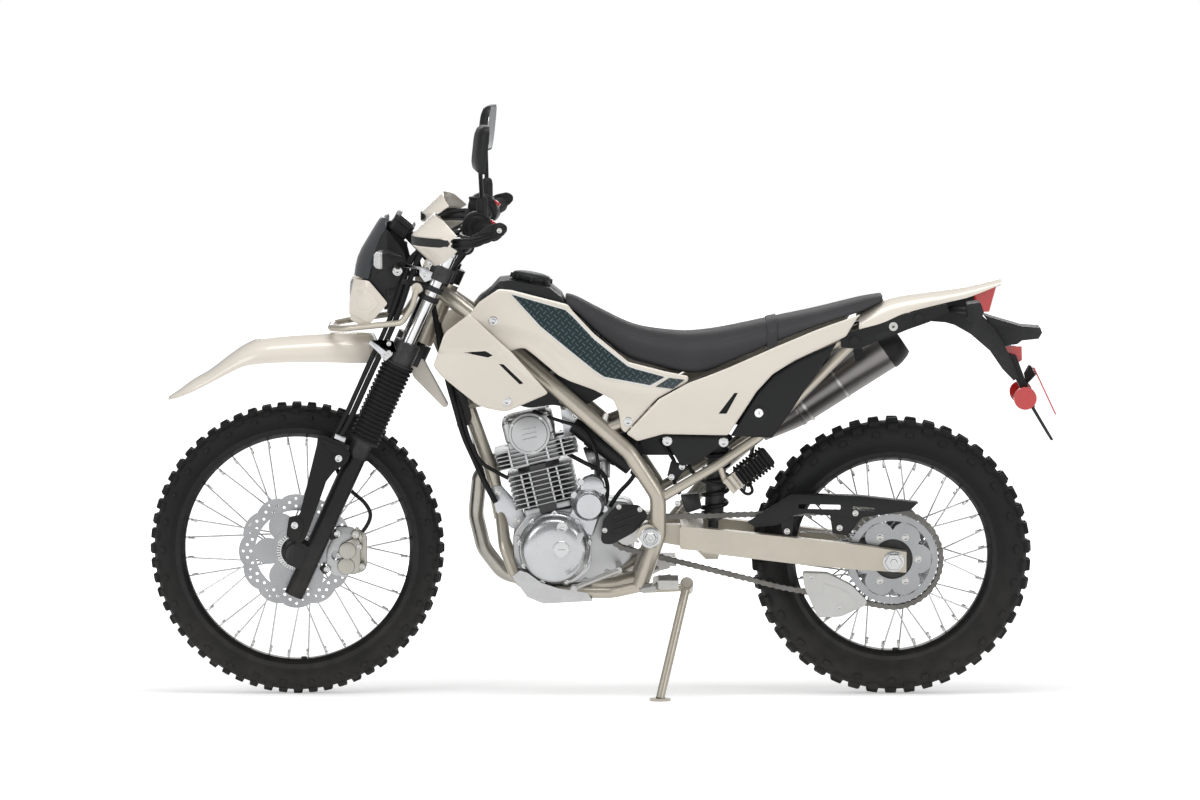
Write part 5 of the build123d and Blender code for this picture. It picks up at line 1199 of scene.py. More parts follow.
# Pressed steel plates hang the engine in the frame, each with two or three flanged bolts.
bright_zinc = finish("bright_zinc", (0.62, 0.63, 0.65), 0.33, metal=0.8, grain_scale=600, grain_depth=0.03,
                     wear=(0.85, 0.85, 0.85), wear_amount=0.4, dust=0.2)
front_plate = plate(rounded([(-239, 479), (-219, 486), (-165, 426), (-157, 397), (-187, 382), (-224, 420)], 8), -19.6, -12.4, 0.8)
top_plate = plate(rounded([(-79, 680), (-61, 684), (-28, 653), (-35, 598), (-67, 583)], 8), -40.8, -33.2, 0.8)
fit(joined([with_right(front_plate), with_right(top_plate)]), "engine_hanger_plates", "chassis", bright_zinc)
hanger_bolts = []
for x, y, z in ((-222, -19.6, 470), (-176, -19.6, 402), (-68, -40.8, 672), (-44, -40.8, 648), (-52, -40.8, 600)):
    hanger_bolts += [((x, y, z), LEFT), ((x, -y, z), RIGHT)]
bolts("hanger_bolts", "chassis", 6, hanger_bolts)

# The carburettor side: a black throttle body with clamps, rubber joints and a moulded air box.
throttle = tube([(-14, 0, 544), (20, 0, 555), (54, 0, 567)], 24)
flange = tube([(-16, 0, 543), (-8, 0, 546)], 29, order=2)
bowl = post(18, 0, 500, 545, 19, 28, 3)
fit(joined([throttle, flange, bowl]), "throttle_body", "chassis", bare_alloy)
airbox = [plate(rounded([(104, 560), (104, 640), (140, 712), (238, 712), (238, 560)], 12, 4), -68, 68, 5, 2),
          tube([(40, 0, 562), (76, 0, 576), (112, 0, 590)], 32)]
fit(joined(airbox), "air_box", "chassis", moulded_black, ("air_box",))
clamps = []
for x, z, radius in ((-4, 547.5, 25.6), (44, 563.5, 33), (98, 584.8, 33.2)):
    band = turned([(radius - 1.5, -4), (radius + 0.8, -4), (radius + 0.8, 4), (radius - 1.5, 4)], 48)
    band.data.transform(Matrix.Translation((x, 0, z)) @ Matrix.Rotation(math.radians(-22), 4, "Y") @ Matrix.Rotation(math.radians(90), 4, "Z"))
    clamps.append(band)
fit(joined(clamps), "hose_clamps", "chassis", steel)

# ---- exhaust ----
# A bent steel header that has turned straw brown with heat, and a brushed stainless silencer with a riveted
# band, a heat shield strap and a black end cap.
dress(header_steel, "exhaust_header")
SILENCER = Matrix.Translation((466, 152, 638)) @ Vector((233, 0, 162)).to_track_quat("Z", "Y").to_matrix().to_4x4()
can = turned([(0, -96), (20, -96), (21, -90), (28, -60), (36, -24), (39.4, -4), (41.4, 0), (41.4, 6), (39.4, 8), (40.5, 20),
              (49.4, 242), (49.8, 250), (0, 250)], 72)
can.data.transform(Matrix.Rotation(math.radians(90), 4, "X"))
fit(can, "silencer", "chassis", brushed_dark, ("silencer",), place=SILENCER)
end_cap = turned([(0, 249), (51, 249), (51.3, 256), (49, 270), (44, 286), (38, 295.4), (21, 296), (20, 292), (20, 262), (0, 262)], 72)
end_cap.data.transform(Matrix.Rotation(math.radians(90), 4, "X"))
fit(end_cap, "silencer_cap", "chassis", moulded_black, place=SILENCER)
band = turned([(40, 20), (44.4, 20), (44.4, 27), (40, 27)], 72)
band_two = turned([(44, 118), (46.4, 118), (46.6, 124), (44, 124)], 72)
bands = joined([band, band_two])
bands.data.transform(Matrix.Rotation(math.radians(90), 4, "X"))
fit(bands, "silencer_bands", "chassis", steel, place=SILENCER)

# ---- drive chain, guards and shock ----
# A roller chain of pressed plates and pins in one loop, a black moulded guard above it, a white rub guide
# below it and a ribbed black cover over the front sprocket.
CHAIN_PITCH = 15.875
REAR_PITCH = CHAIN_PITCH / (2 * math.sin(math.pi / 44))
FRONT_PITCH = CHAIN_PITCH / (2 * math.sin(math.pi / 14))


def chain_pins():
    """Places of the pins at even steps round both sprockets, slack towards the guide on the lower run."""
    rear_x, rear_z, front_x, front_z = REAR_AXLE.x, REAR_AXLE.z, 75, 381
    top = math.atan2(rear_z + REAR_PITCH - front_z - FRONT_PITCH, rear_x - front_x) + math.pi / 2
    line = []
    for step in range(41):
        angle = top + math.radians(0.35) - (math.pi + math.radians(11)) * step / 40
        line.append(Vector((rear_x + REAR_PITCH * math.cos(angle), rear_z + REAR_PITCH * math.sin(angle))))
    line.append(Vector((430, 256)))
    for step in range(21):
        angle = math.radians(256) - (math.radians(256) - top) * step / 20
        line.append(Vector((front_x + FRONT_PITCH * math.cos(angle), front_z + FRONT_PITCH * math.sin(angle))))
    line.append(line[0])
    lengths = [(b - a).length for a, b in zip(line, line[1:])]
    links = 2 * round(sum(lengths) / CHAIN_PITCH / 2)
    step = sum(lengths) / links
    pins, run, number = [], 0.0, 0
    for link in range(links):
        target = link * step
        while run + lengths[number] < target:
            run += lengths[number]
            number += 1
        pins.append(line[number].lerp(line[number + 1], (target - run) / lengths[number]))
    return pins


pins = chain_pins()
lobe = 6.6
link_outline = []
for centre_x, start in ((CHAIN_PITCH / 2, -75), (-CHAIN_PITCH / 2, 105)):
    for n in range(6):
        a = math.radians(start + 30 * n)
        link_outline.append((centre_x + lobe * math.cos(a), lobe * math.sin(a)))
    link_outline.append((0, 4.6 if start < 0 else -4.6))
chain_pieces = []
for parity, offset in ((0, 7.6), (1, 5.4)):
    places = []
    for number in range(parity, len(pins), 2):
        a, b = pins[number], pins[(number + 1) % len(pins)]
        middle = (a + b) / 2
        turn = Matrix.Rotation(-math.atan2(b.y - a.y, b.x - a.x), 4, "Y")
        for side in (-1, 1):
            places.append(Matrix.Translation((middle.x, -70 + side * offset, middle.y)) @ turn)
    chain_pieces.append(repeated(plate(link_outline, -0.9, 0.9), places))
roller = turned([(0, -8.9), (2.6, -8.9), (2.6, -5), (5.0, -4.6), (5.0, 4.6), (2.6, 5), (2.6, 8.9), (0, 8.9)], 8)
chain_pieces.append(repeated(roller, [Matrix.Translation((p.x, -70, p.y)) for p in pins]))
chain_steel = finish("oiled_chain_steel", (0.17, 0.165, 0.155), 0.34, metal=0.95, grain_scale=500, grain_depth=0.04, vary=0.2, dust=0.3)
fit(joined(chain_pieces), "chain", "chassis", chain_steel, ("chain",), smooth=30)
guard_outline = [(348, 409), (358, 415), (448, 473), (605, 469), (739, 454), (721, 436), (595, 418), (484, 430), (453, 424), (418, 402), (368, 397)]
guard = plate(rounded(guard_outline, 6), -92, -87, 1.2)
cut(guard, plate(rounded([(466, 451), (562, 449), (562, 438), (466, 440)], 3), -100, -80))
cut(guard, plate(rounded([(590, 446), (640, 442), (640, 434), (590, 438)], 3), -100, -80))
lip = plate([(448, 473), (605, 469), (739, 454), (739, 451), (605, 466), (449, 470)], -91, -58, 0.8)
foot_plate = plate(rounded([(537, 432), (544, 383), (579, 378), (620, 430)], 5), -91, -87, 1)
tab = plate(rounded([(425, 420), (455, 424), (452, 376), (430, 376)], 5), -91, -87, 1)
fit(joined([guard, lip, foot_plate, tab]), "chain_guard", "chassis", moulded_black, ("chain_guard",))
bolts("guard_bolts", "chassis", 6, [((560, -91, 396), LEFT), ((440, -91, 388), LEFT), ((596, -92, 430), LEFT)], head=0.4)
guide_outline = [(476, 292), (534, 290), (589, 262), (624, 227), (622, 217), (564, 190), (512, 188), (481, 256)]
guide = plate(rounded(guide_outline, 8, 4), -88, -82, 1.5)
guide_inner = plate(rounded(guide_outline, 8, 4), -60, -54, 1.5)
guide_ribs = [plate(rounded([(500, 205), (560, 200), (598, 224), (560, 226), (506, 224)], 6), -84, -58, 2),
              plate(rounded([(486, 288), (534, 286), (560, 270), (492, 276)], 4), -84, -58, 2)]
emboss = plate(rounded([(520, 240), (560, 236), (590, 240), (560, 258), (524, 268)], 5), -89.5, -86, 1)
fit(joined([guide, guide_inner, emboss] + guide_ribs), "chain_guide", "chassis", white_plastic)
bolts("guide_bolts", "chassis", 5, [((496, -88, 282), LEFT), ((560, -88, 212), LEFT)], head=0.4)
cover_outline = [(15, 368), (20, 414), (45, 444), (60, 452), (101, 450), (121, 432), (119, 418), (91, 387), (40, 359), (22, 360)]
sprocket_cover = [plate(rounded(cover_outline, 7, 4), -103, -95, 3, 3)]
for number, (x0, z0, x1, z1) in enumerate(((34, 418, 92, 440), (36, 404, 104, 428), (38, 388, 84, 406))):
    rib = block(math.dist((x0, z0), (x1, z1)), 7, 5, narrow=0.8, bevel=1.6, segments=2)
    angle = math.atan2(z1 - z0, x1 - x0)
    rib.data.transform(Matrix.Translation(((x0 + x1) / 2, -101, (z0 + z1) / 2)) @ Matrix.Rotation(-angle, 4, "Y") @ Matrix.Rotation(math.radians(90), 4, "X"))
    sprocket_cover.append(rib)
fit(joined(sprocket_cover), "sprocket_cover", "chassis", moulded_black)
bolts("sprocket_cover_bolts", "chassis", 5, [((24, -103, 392), LEFT), ((56, -103, 446), LEFT), ((104, -103, 440), LEFT)], head=0.5)

low, high = Vector((270, 0, 330)), Vector((292, 0, 727))
SHOCK = Matrix.Translation(low) @ (high - low).to_track_quat("Z", "Y").to_matrix().to_4x4()
body = turned([(0, 10), (12, 10), (12, 70), (16, 74), (25, 78), (29, 84), (29, 90), (22, 92), (22, 330), (29, 334), (29, 344), (18, 352), (16, 380), (0, 380)], 40)
body.data.transform(Matrix.Rotation(math.radians(90), 4, "X"))
coil_points = []
for step in range(8 * 12 + 1):
    angle = 2 * math.pi * step / 12
    coil_points.append((29 * math.cos(angle), 29 * math.sin(angle), 92 + 238 * step / 96))
spring = tube(coil_points, 5.2, fineness=3, round_steps=3)
eyes = turned([(0, -16), (14, -16), (16, -14), (16, 14), (14, 16), (0, 16)], 32)
top_eye = eyes.copy()
top_eye.data = eyes.data.copy()
bpy.context.collection.objects.link(top_eye)
top_eye.data.transform(Matrix.Translation((0, 0, 397)))
fit(joined([body, eyes, top_eye]), "rear_shock", "chassis", sleeve_grey, ("rear_shock",), place=SHOCK)
fit(spring, "shock_spring", "chassis", satin_black, place=SHOCK)

# ---- front fender ----
# One injection-moulded cream shell with a crease along each shoulder, wider over the tyre, a narrow nose
# and a flap behind the fork. It hangs on four bolts under the lower clamp.
fender_rows = [  # x, lower edge, crown, half width
    (-975, 682, 688, 22), (-955, 688, 701, 38), (-921, 702, 726, 52), (-882, 722, 749, 60), (-837, 746, 783, 68), (-800, 764, 808, 74),
    (-760, 771, 824, 78), (-682, 775, 832, 80), (-600, 774, 836, 76), (-545, 772, 836, 70), (-512, 772, 834, 64),
]


def fender_ring(x, inset):
    """Half the shell's wall at x: lower edge, shoulder crease and crown, set in by inset."""
    low, crown, half = (spline_value(fender_rows, x, column) for column in (1, 2, 3))
    rise = crown - low - inset
    half = half - inset
    one_side = [(half, low), (half * 1.0, low + rise * 0.22), (half * 0.955, low + rise * 0.46), (half * 0.88, low + rise * 0.62), (half * 0.80, low + rise * 0.71),
                (half * 0.66, low + rise * 0.83), (half * 0.50, low + rise * 0.915), (half * 0.34, low + rise * 0.965), (half * 0.17, low + rise * 0.99), (0, low + rise)]
    return [(x, -y, z) for y, z in one_side] + [(x, y, z) for y, z in reversed(one_side[:-1])]


rings = []
for step in range(74):
    x = -975 + (463 * step / 73)
    outer = fender_ring(x, 0.0)
    inner = [(px, py, pz - 0.01) for px, py, pz in fender_ring(x, 2.6)]
    rings.append(outer + list(reversed(inner)))
shell = lofted(rings)
neck = plate(rounded([(-528, 776), (-528, 832), (-506, 832), (-496, 812), (-438, 811), (-438, 786)], 6), -30, 30, 3, 2)
flap_rows = [(-414, 735, -430, 792, 20), (-392, 722, -392, 775, 21), (-372, 700, -384, 756, 21), (-350, 668, -352, 690, 19)]
flap = plate(rounded([(-431, 790), (-392, 777), (-382, 757), (-334, 668), (-345, 664), (-414, 735)], 5, 4), -22, 22, 6, 3)
fit(joined([shell, neck, flap]), "front_fender", "steering", cream, ("front_fender",), smooth=62)
bolts("fender_bolts", "steering", 5, [((-480, 18, 812.5), (0, 0, 1)), ((-480, -18, 812.5), (0, 0, 1)), ((-452, 18, 812), (0, 0, 1)), ((-452, -18, 812), (0, 0, 1))], head=0.4)

# ---- headlamp, its cowl and the screen ----
# A cream moulded cowl holds the lamp between its cheeks. Above it stands a smoked dark screen folded
# along four creases, and behind both a black moulded bracket carries them, the indicators and the meter.
def lamp_lens_ring(x, shrink, low, high, half):
    """A rounded section of the lamp at one depth."""
    points = rounded([(-half + shrink, low + shrink), (half - shrink, low + shrink), (half * 0.97 - shrink, high - 16 - shrink), (half * 0.62 - shrink, high - shrink),
                      (-half * 0.62 + shrink, high - shrink), (-half * 0.97 + shrink, high - 16 - shrink)], 9, 4)
    return [(x, y, z) for y, z in points]


lens = lofted([lamp_lens_ring(x, shrink, 889, 963, 59) for x, shrink in ((-536, 0), (-549, 0.6), (-554, 3), (-557, 9), (-557.5, 20))])
fit(lens, "headlamp_lens", "steering", clear_plastic, ("headlight_lens",), smooth=50)
bowl = lofted([lamp_lens_ring(x, shrink, 889, 963, 59) for x, shrink in ((-538, 3), (-528, 9), (-515, 17), (-505, 27), (-503, 34))] +
              [lamp_lens_ring(x, shrink, 889, 963, 59) for x, shrink in ((-501, 33), (-512, 15), (-526, 7), (-536, 1))])
fit(bowl, "headlamp_reflector", "steering", chrome, smooth=50)
bulb_cap = turned([(0, -12), (9, -12), (11, -9), (11, 9), (9, 12), (0, 12)], 24)
bulb_cap.data.transform(Matrix.Translation((-520, 0, 925)) @ Matrix.Rotation(math.radians(90), 4, "Z"))
fit(bulb_cap, "headlamp_bulb", "steering", bright_alloy)

cowl_side = [(-547, 966), (-512, 964), (-468, 913), (-506, 869), (-513, 866), (-558, 888), (-556, 924)]


def cowl_y(x):
    """Half width of the cowl and bracket cheeks along the machine."""
    return spline_value([(-562, 64), (-545, 80), (-520, 99), (-490, 107), (-465, 112)], x, 1)


def wrapped(piece, thick_at=cowl_y):
    """A flat plate made at y = 0 laid against the cowl's curve in plan, on the left."""
    for vertex in piece.data.vertices:
        vertex.co.y = -thick_at(vertex.co.x) + vertex.co.y
    return piece


def sheet_plate(outline, low, high, bevel, corner, spacing=9.0):
    """A plate cut into strips along X so that it can be wrapped."""
    piece = plate(rounded(outline, corner, 4), low, high, bevel)
    clear_selection()
    piece.select_set(True)
    bpy.context.view_layer.objects.active = piece
    x = min(p[0] for p in outline) + spacing
    while x < max(p[0] for p in outline):
        bpy.ops.object.mode_set(mode="EDIT")
        bpy.ops.mesh.select_all(action="SELECT")
        bpy.ops.mesh.bisect(plane_co=(x, 0, 0), plane_no=(1, 0, 0))
        bpy.ops.object.mode_set(mode="OBJECT")
        x += spacing
    return piece


cheek = wrapped(sheet_plate(cowl_side, 0, 4, 1.2, 6))
pentagon = [(-546, 951), (-519, 950), (-489, 913), (-512, 888), (-545, 897)]
step_in = wrapped(sheet_plate(pentagon, -3.2, 1.0, 0, 5))
inner_pentagon = [(-540, 944), (-522, 943), (-497, 913), (-514, 895), (-540, 902)]
raised = wrapped(sheet_plate(inner_pentagon, -4.4, 0.4, 1.2, 5))
cowl_front_low = plate(rounded([(-559, 886), (-545, 888), (-512, 868), (-517, 862), (-552, 878)], 3), -66, 66, 2)
cowl_brow = plate(rounded([(-549, 963), (-530, 963), (-522, 969), (-546, 971)], 2.5), -72, 72, 1.5)
cowl_jaw = wrapped(sheet_plate([(-556, 890), (-512, 868), (-498, 858), (-522, 856), (-556, 872)], 2, 6, 1.0, 4))
fit(joined([with_right(cheek), with_right(step_in), with_right(raised), with_right(cowl_jaw), cowl_front_low, cowl_brow]),
    "headlamp_cowl", "steering", cream, ("headlight_cowl",), smooth=40)

screen_rows = [  # height, middle of the front, crease x and half width, edge x and half width
    (968, -549, -541, 62, -514, 102), (990, -546, -538, 60, -508, 101), (1010, -541, -532, 58, -500, 98), (1030, -532, -524, 55, -492, 94),
    (1050, -520, -513, 52, -485, 88), (1070, -508, -501, 49, -478, 80), (1088, -497, -491, 46, -474, 70), (1098, -490, -485, 44, -473, 60), (1103, -484, -480, 40, -474, 52),
]
rings = []
for z, nose, crease_x, crease_y, edge_x, edge_y in screen_rows:
    outer = [(nose, 0, z), (nose + 1.5, crease_y * 0.55, z), (crease_x, crease_y, z), (crease_x + (edge_x - crease_x) * 0.5, crease_y + (edge_y - crease_y) * 0.56, z), (edge_x, edge_y, z)]
    line = [(x, -y, h) for x, y, h in reversed(outer)] + outer[1:]
    back = [(x + 3.2, y * 0.965, h - 0.4) for x, y, h in reversed(line)]
    rings.append(line + back)
screen = lofted(rings)
soften(screen, 0.7, 1, 30)
fit(screen, "screen", "steering", grey_screen, smooth=22)

bracket_side = [(-516, 966), (-508, 1004), (-484, 1068), (-470, 1082), (-432, 1030), (-424, 1000), (-424, 975), (-446, 902), (-470, 888), (-470, 914), (-512, 964)]
side_plate = wrapped(sheet_plate(bracket_side, 4, 9, 1.2, 6), lambda x: min(cowl_y(x) * 0.97, 108))
shadow_gap = wrapped(sheet_plate([(-512, 958), (-500, 1002), (-478, 1052), (-470, 1046), (-462, 990), (-466, 930), (-474, 921)], 9, 12, 0.8, 5), lambda x: min(cowl_y(x) * 0.97, 104))
hump = wrapped(sheet_plate([(-498, 975), (-470, 1000), (-436, 1000), (-440, 966), (-462, 940), (-486, 958)], 0, 6, 1.6, 6), lambda x: min(cowl_y(x) * 0.97, 108))
lamp_box = lofted([[(x, y, z) for y, z in rounded([(-hy, lo), (hy, lo), (hy, hi), (-hy, hi)], 8, 3)] for x, hy, lo, hi in
                   ((-533, 60, 890, 962), (-505, 58, 892, 958), (-480, 46, 900, 948), (-470, 40, 906, 944))])
back_plate = plate(rounded([(-477, 898), (-477, 944), (-470, 944), (-470, 898)], 2), -104, 104, 1.5)
bracket_pieces = [with_right(side_plate), with_right(shadow_gap), with_right(hump), lamp_box, back_plate]
for local_z in (660, 684):
    ring = turned([(18.7, -6), (24.3, -6), (24.3, 6), (18.7, 6)], 40)
    ring.data.transform(Matrix.Rotation(math.radians(90), 4, "X"))
    for side in (-1, 1):
        clamp = ring.copy()
        clamp.data = ring.data.copy()
        bpy.context.collection.objects.link(clamp)
        clamp.data.transform(Matrix.Translation((-626.1, 0, 312.3)) @ Matrix.Rotation(math.radians(24.5), 4, "Y") @ Matrix.Translation((-26, side * 93, local_z)))
        bracket_pieces.append(clamp)
    bpy.data.objects.remove(ring)
for side in (-1, 1):
    bracket_pieces.append(tube([(-374, side * 108, 950), (-400, side * 110, 958), (-436, side * 109, 962)], 7))
    bracket_pieces.append(tube([(-440, side * 104, 994), (-452, side * 122, 1000), (-452, side * 152, 1015)], 7))
meter_stay = plate(rounded([(-438, 1060), (-420, 1072), (-362, 1008), (-372, 990)], 5), -20, 20, 1.5)
screen_tie = plate(rounded([(-493, 1076), (-478, 1091), (-452, 1092), (-462, 1066)], 4), -15, 15, 1.5)
bracket_pieces += [meter_stay, screen_tie]
fit(joined(bracket_pieces), "lamp_bracket", "steering", moulded_black, ("lamp_bracket",), smooth=40)
washer = dish(-446, 987, 113, -1, [(11, 0), (11, 2), (9.6, 3), (8, 3), (7.4, 1.6)], 32)
dark_plug = dish(-462, 936, 111, -1, [(8.5, 0), (8.5, 1.6), (7.4, 2.2), (5.4, 2.2), (4.8, 1.0)], 28)
fit(with_right(washer), "bracket_washers", "steering", bright_alloy)
fit(with_right(dark_plug), "bracket_plugs", "steering", satin_black)
bolts("bracket_bolts", "steering", 5.5, [((-446, -115, 987), LEFT), ((-446, 115, 987), RIGHT)], head=0.5)

# Front indicators: a clear lens with an amber bulb seen through it on a tapered black body.
amber = finish("amber_bulb", (0.70, 0.68, 0.64), 0.3, grain_scale=200, grain_depth=0.01)
lens_rings, body_rings, bulb_rings = [], [], []
for x, low, high, near, far in ((-475, 1001, 1039, 148, 227), (-484, 1001, 1039, 148, 227), (-491, 1003, 1037, 151, 224), (-495.5, 1008, 1033, 158, 217)):
    lens_rings.append([(x, y, z) for y, z in rounded([(near, low), (far, low), (far, high), (near, high)], 9, 4)])
for x, low, high, near, far in ((-476, 1000, 1040, 147, 228), (-468, 1000, 1040, 147, 228), (-456, 1006, 1036, 154, 218), (-444, 1012, 1030, 166, 202), (-434, 1015, 1027, 176, 196)):
    body_rings.append([(x, y, z) for y, z in rounded([(near, low), (far, low), (far, high), (near, high)], 8, 4)])
for x, size in ((-488, 6), (-486, 12), (-480, 16), (-474, 16)):
    bulb_rings.append([(x, y, z) for y, z in rounded([(188 - size * 1.5, 1020 - size), (188 + size * 1.5, 1020 - size), (188 + size * 1.5, 1020 + size), (188 - size * 1.5, 1020 + size)], 5, 3)])
fit(with_right(lofted(lens_rings)), "front_indicator_lenses", "steering", clear_plastic, smooth=50)
fit(with_right(lofted(body_rings)), "front_indicator_bodies", "steering", moulded_black, smooth=40)
fit(with_right(lofted(bulb_rings)), "front_indicator_bulbs", "steering", amber)

# The meter: a black pod with a hooded dark display, tilted back towards the rider.
METER = Matrix.Translation((-438, 0, 1083)) @ Matrix.Rotation(math.radians(40), 4, "Y")
pod = slab_up(box_outline(48, 124, 10), -22, 14, 4, 3)
hood = slab_up(box_outline(52, 130, 12, -1), 4, 16, 3, 3)
display_frame = slab_up(box_outline(40, 110, 6), 15, 18, 1, 2)
pod_ribs = repeated(block(3, 110, 3, bevel=0.6), [Matrix.Translation((x, 0, -21.5)) @ Matrix.Rotation(math.pi, 4, "X") for x in (-14, 0, 14)])
fit(joined([pod, hood, display_frame, pod_ribs]), "meter", "steering", moulded_black, ("meter",), smooth=40, place=METER)
fit(slab_up(box_outline(33, 100, 4), 17.6, 18.8, 0.4, 1), "meter_display", "steering", grey_screen, place=METER)

# ---- fork ----
# Chromed stanchions above ribbed gaiters, black lower legs, a moulded guard on the left one over the disc,
# and a floating two-piston caliper on an alloy carrier.
FORK = Matrix.Translation((-626.1, 0, 312.3)) @ Matrix.Rotation(math.radians(24.5), 4, "Y")
gaiter_profile = [(18.8, 300.6)]
for rib in range(19):
    low = 302 + rib * 10.1
    gaiter_profile += [(31.5, low + 0.4), (34.6, low + 2.4), (36, low + 4.6), (35.6, low + 6.6), (31.6, low + 8.6)]
gaiter_profile += [(30, 495), (18.8, 495.4)]
gaiter = turned([(r, z) for r, z in gaiter_profile], 48)
gaiter.data.transform(Matrix.Rotation(math.radians(90), 4, "X"))
gaiters = []
for side in (-1, 1):
    copy = gaiter.copy()
    copy.data = gaiter.data.copy()
    bpy.context.collection.objects.link(copy)
    copy.data.transform(FORK @ Matrix.Translation((-26, side * 93, 0)))
    gaiters.append(copy)
bpy.data.objects.remove(gaiter)
guard_outline = [(-629, 609), (-620, 614), (-567, 593), (-554, 571), (-562, 550), (-591, 531), (-610, 507), (-613, 497), (-636, 433), (-657, 378),
                 (-668, 365), (-678, 368), (-702, 380), (-695, 426), (-671, 430), (-630, 594)]
disc_guard = plate(rounded(guard_outline, 7, 4), -126, -118, 3, 3)
guard_rib = plate(rounded([(-622, 606), (-572, 588), (-560, 570), (-572, 560), (-606, 584)], 6), -129, -122, 2.5, 2)
guard_fold = plate(rounded([(-694, 420), (-668, 427), (-660, 404), (-672, 372), (-696, 382)], 6), -129, -120, 2.5, 2)
fit(joined(gaiters + [disc_guard, guard_rib, guard_fold]), "fork_gaiters", "steering", rubber, ("fork_covers",), smooth=40)
bolts("disc_guard_bolts", "steering", 7, [((-581, -129, 560.5), LEFT), ((-682, -129, 407), LEFT)], bright_alloy, head=0.4)
bands = []
for low in (299.5, 492):
    band = turned([(33, low), (35.4, low), (35.4, low + 5), (33, low + 5)], 48)
    band.data.transform(Matrix.Rotation(math.radians(90), 4, "X"))
    for side in (-1, 1):
        copy = band.copy()
        copy.data = band.data.copy()
        bpy.context.collection.objects.link(copy)
        copy.data.transform(Matrix.Translation((-26, side * 93, 0)))
        bands.append(copy)
    bpy.data.objects.remove(band)
fit(joined(bands), "gaiter_bands", "steering", moulded_black, place=FORK)

carrier = plate(rounded([(-592, 396), (-552, 396), (-534, 372), (-533, 352), (-560, 338), (-566, 312), (-558, 288), (-570, 278), (-598, 284), (-613, 306), (-612, 344), (-598, 368)], 8, 4),
                -72, -66, 1.5)
cut(carrier, plate([(-590 + 12 * math.cos(a), 330 + 12 * math.sin(a)) for a in [2 * math.pi * n / 20 for n in range(20)]], -80, -60))
body = [plate(rounded([(-584, 366), (-584, 290), (-560, 284), (-530, 288), (-520, 304), (-520, 372), (-534, 388), (-566, 386)], 10, 4), -58, -46, 4, 3),
        plate(rounded([(-572, 362), (-572, 292), (-548, 286), (-534, 296), (-534, 366), (-548, 374)], 10, 4), -88, -73, 5, 3)]
for x, z in ((-564, 343), (-567, 307)):
    body.append(dish(x, z, 80, -1, [(20, 0), (20, 9), (18.5, 11), (14, 11.8)], 40))
for x, z, radius in ((-545, 380, 10), (-537, 352, 8), (-530, 306, 9)):
    body.append(dish(x, z, 58, -1, [(radius, 0), (radius, 28), (radius - 1.5, 30)], 28))
body.append(plate(rounded([(-548, 392), (-540, 396), (-528, 372), (-536, 366)], 3), -84, -62, 2))
caliper_gold = finish("anodised_caliper", (0.46, 0.45, 0.40), 0.32, metal=0.85, grain_scale=600, grain_depth=0.04, wear=(0.8, 0.8, 0.78), wear_amount=0.5, dust=0.1)
fit(carrier, "caliper_carrier", "steering", bare_alloy, ("brake_caliper",), smooth=40)
fit(joined(body), "brake_caliper", "steering", caliper_gold, smooth=40)
bolts("caliper_bolts", "steering", 7.5, [((-589, -76, 380), LEFT), ((-613, -76, 298), LEFT)], bright_alloy, head=0.5)
bolts("caliper_pins", "steering", 5, [((-584, -73, 330), LEFT), ((-545, -89, 380), LEFT), ((-530, -89, 306), LEFT), ((-537, -89, 352), LEFT)], head=0.6)
lug = plate(rounded([(-618, 312), (-606, 292), (-618, 286), (-630, 300)], 4), -78, -68, 1.5)
lug_top = plate(rounded([(-604, 392), (-590, 390), (-584, 372), (-604, 364)], 4), -78, -68, 1.5)
fit(joined([lug, lug_top]), "caliper_lugs", "steering", satin_black)

tone = [plate([(FRONT_AXLE.x + r * math.cos(a), FRONT_AXLE.z + r * math.sin(a)) for a, r in
               [(2 * math.pi * n / 80, 44.5 if n % 2 else 44.5) for n in range(80)]], -64.6, -62.8)]
cut(tone[0], plate([(FRONT_AXLE.x + 34.5 * math.cos(a), FRONT_AXLE.z + 34.5 * math.sin(a)) for a in [2 * math.pi * n / 60 for n in range(60)]], -70, -60))
slots = repeated(plate([(-1.3, -3.6), (1.3, -3.6), (1.3, 3.6), (-1.3, 3.6)], -70, -60), [
    Matrix.Translation((FRONT_AXLE.x, 0, FRONT_AXLE.z)) @ Matrix.Rotation(2 * math.pi * n / 44, 4, "Y") @ Matrix.Translation((0, 0, 40)) for n in range(44)])
cut(tone[0], slots)
fit(tone[0], "tone_ring", "front_wheel", bright_alloy)
axle_cover = dish(FRONT_AXLE.x, FRONT_AXLE.z, 62, -1, [(33, 0), (33, 6), (30, 10), (22, 12), (20, 20), (12, 24), (11, 27)], 48)
fit(axle_cover, "axle_cover", "front_wheel", satin_black, smooth=40)

# The front brake's hose and the wheel sensor's lead run side by side down the left leg in two zinc clips.
hose_points = [(-300, 190, 1070), (-350, 146, 1046), (-400, 88, 1020), (-424, 14, 1004), (-428, -58, 988), (-436, -96, 944), (-458, -102, 884),
               (-496, -102, 812), (-532, -102, 732), (-564, -102, 656), (-590, -98, 588), (-592, -66, 528), (-562, -58, 480), (-522, -62, 450),
               (-506, -66, 414), (-530, -66, 384)]
fit(tube(hose_points, 4.5, fineness=6), "brake_hose", "steering", rubber, ("brake_hose",), smooth=60)
lead_points = [(-330, -60, 1078), (-372, -92, 1052), (-398, -106, 1020), (-418, -111, 968), (-440, -112, 900), (-474, -112, 822), (-514, -112, 738), (-548, -112, 662), (-574, -110, 612),
               (-600, -108, 578)]
lead_two = [(x - 17, y + 3, z - 6) for x, y, z in lead_points[1:]]
fit(joined([tube(lead_points, 6.5, fineness=6), tube(lead_two, 5.5, fineness=6)]), "fork_leads", "steering", rubber, smooth=60)
clips = []
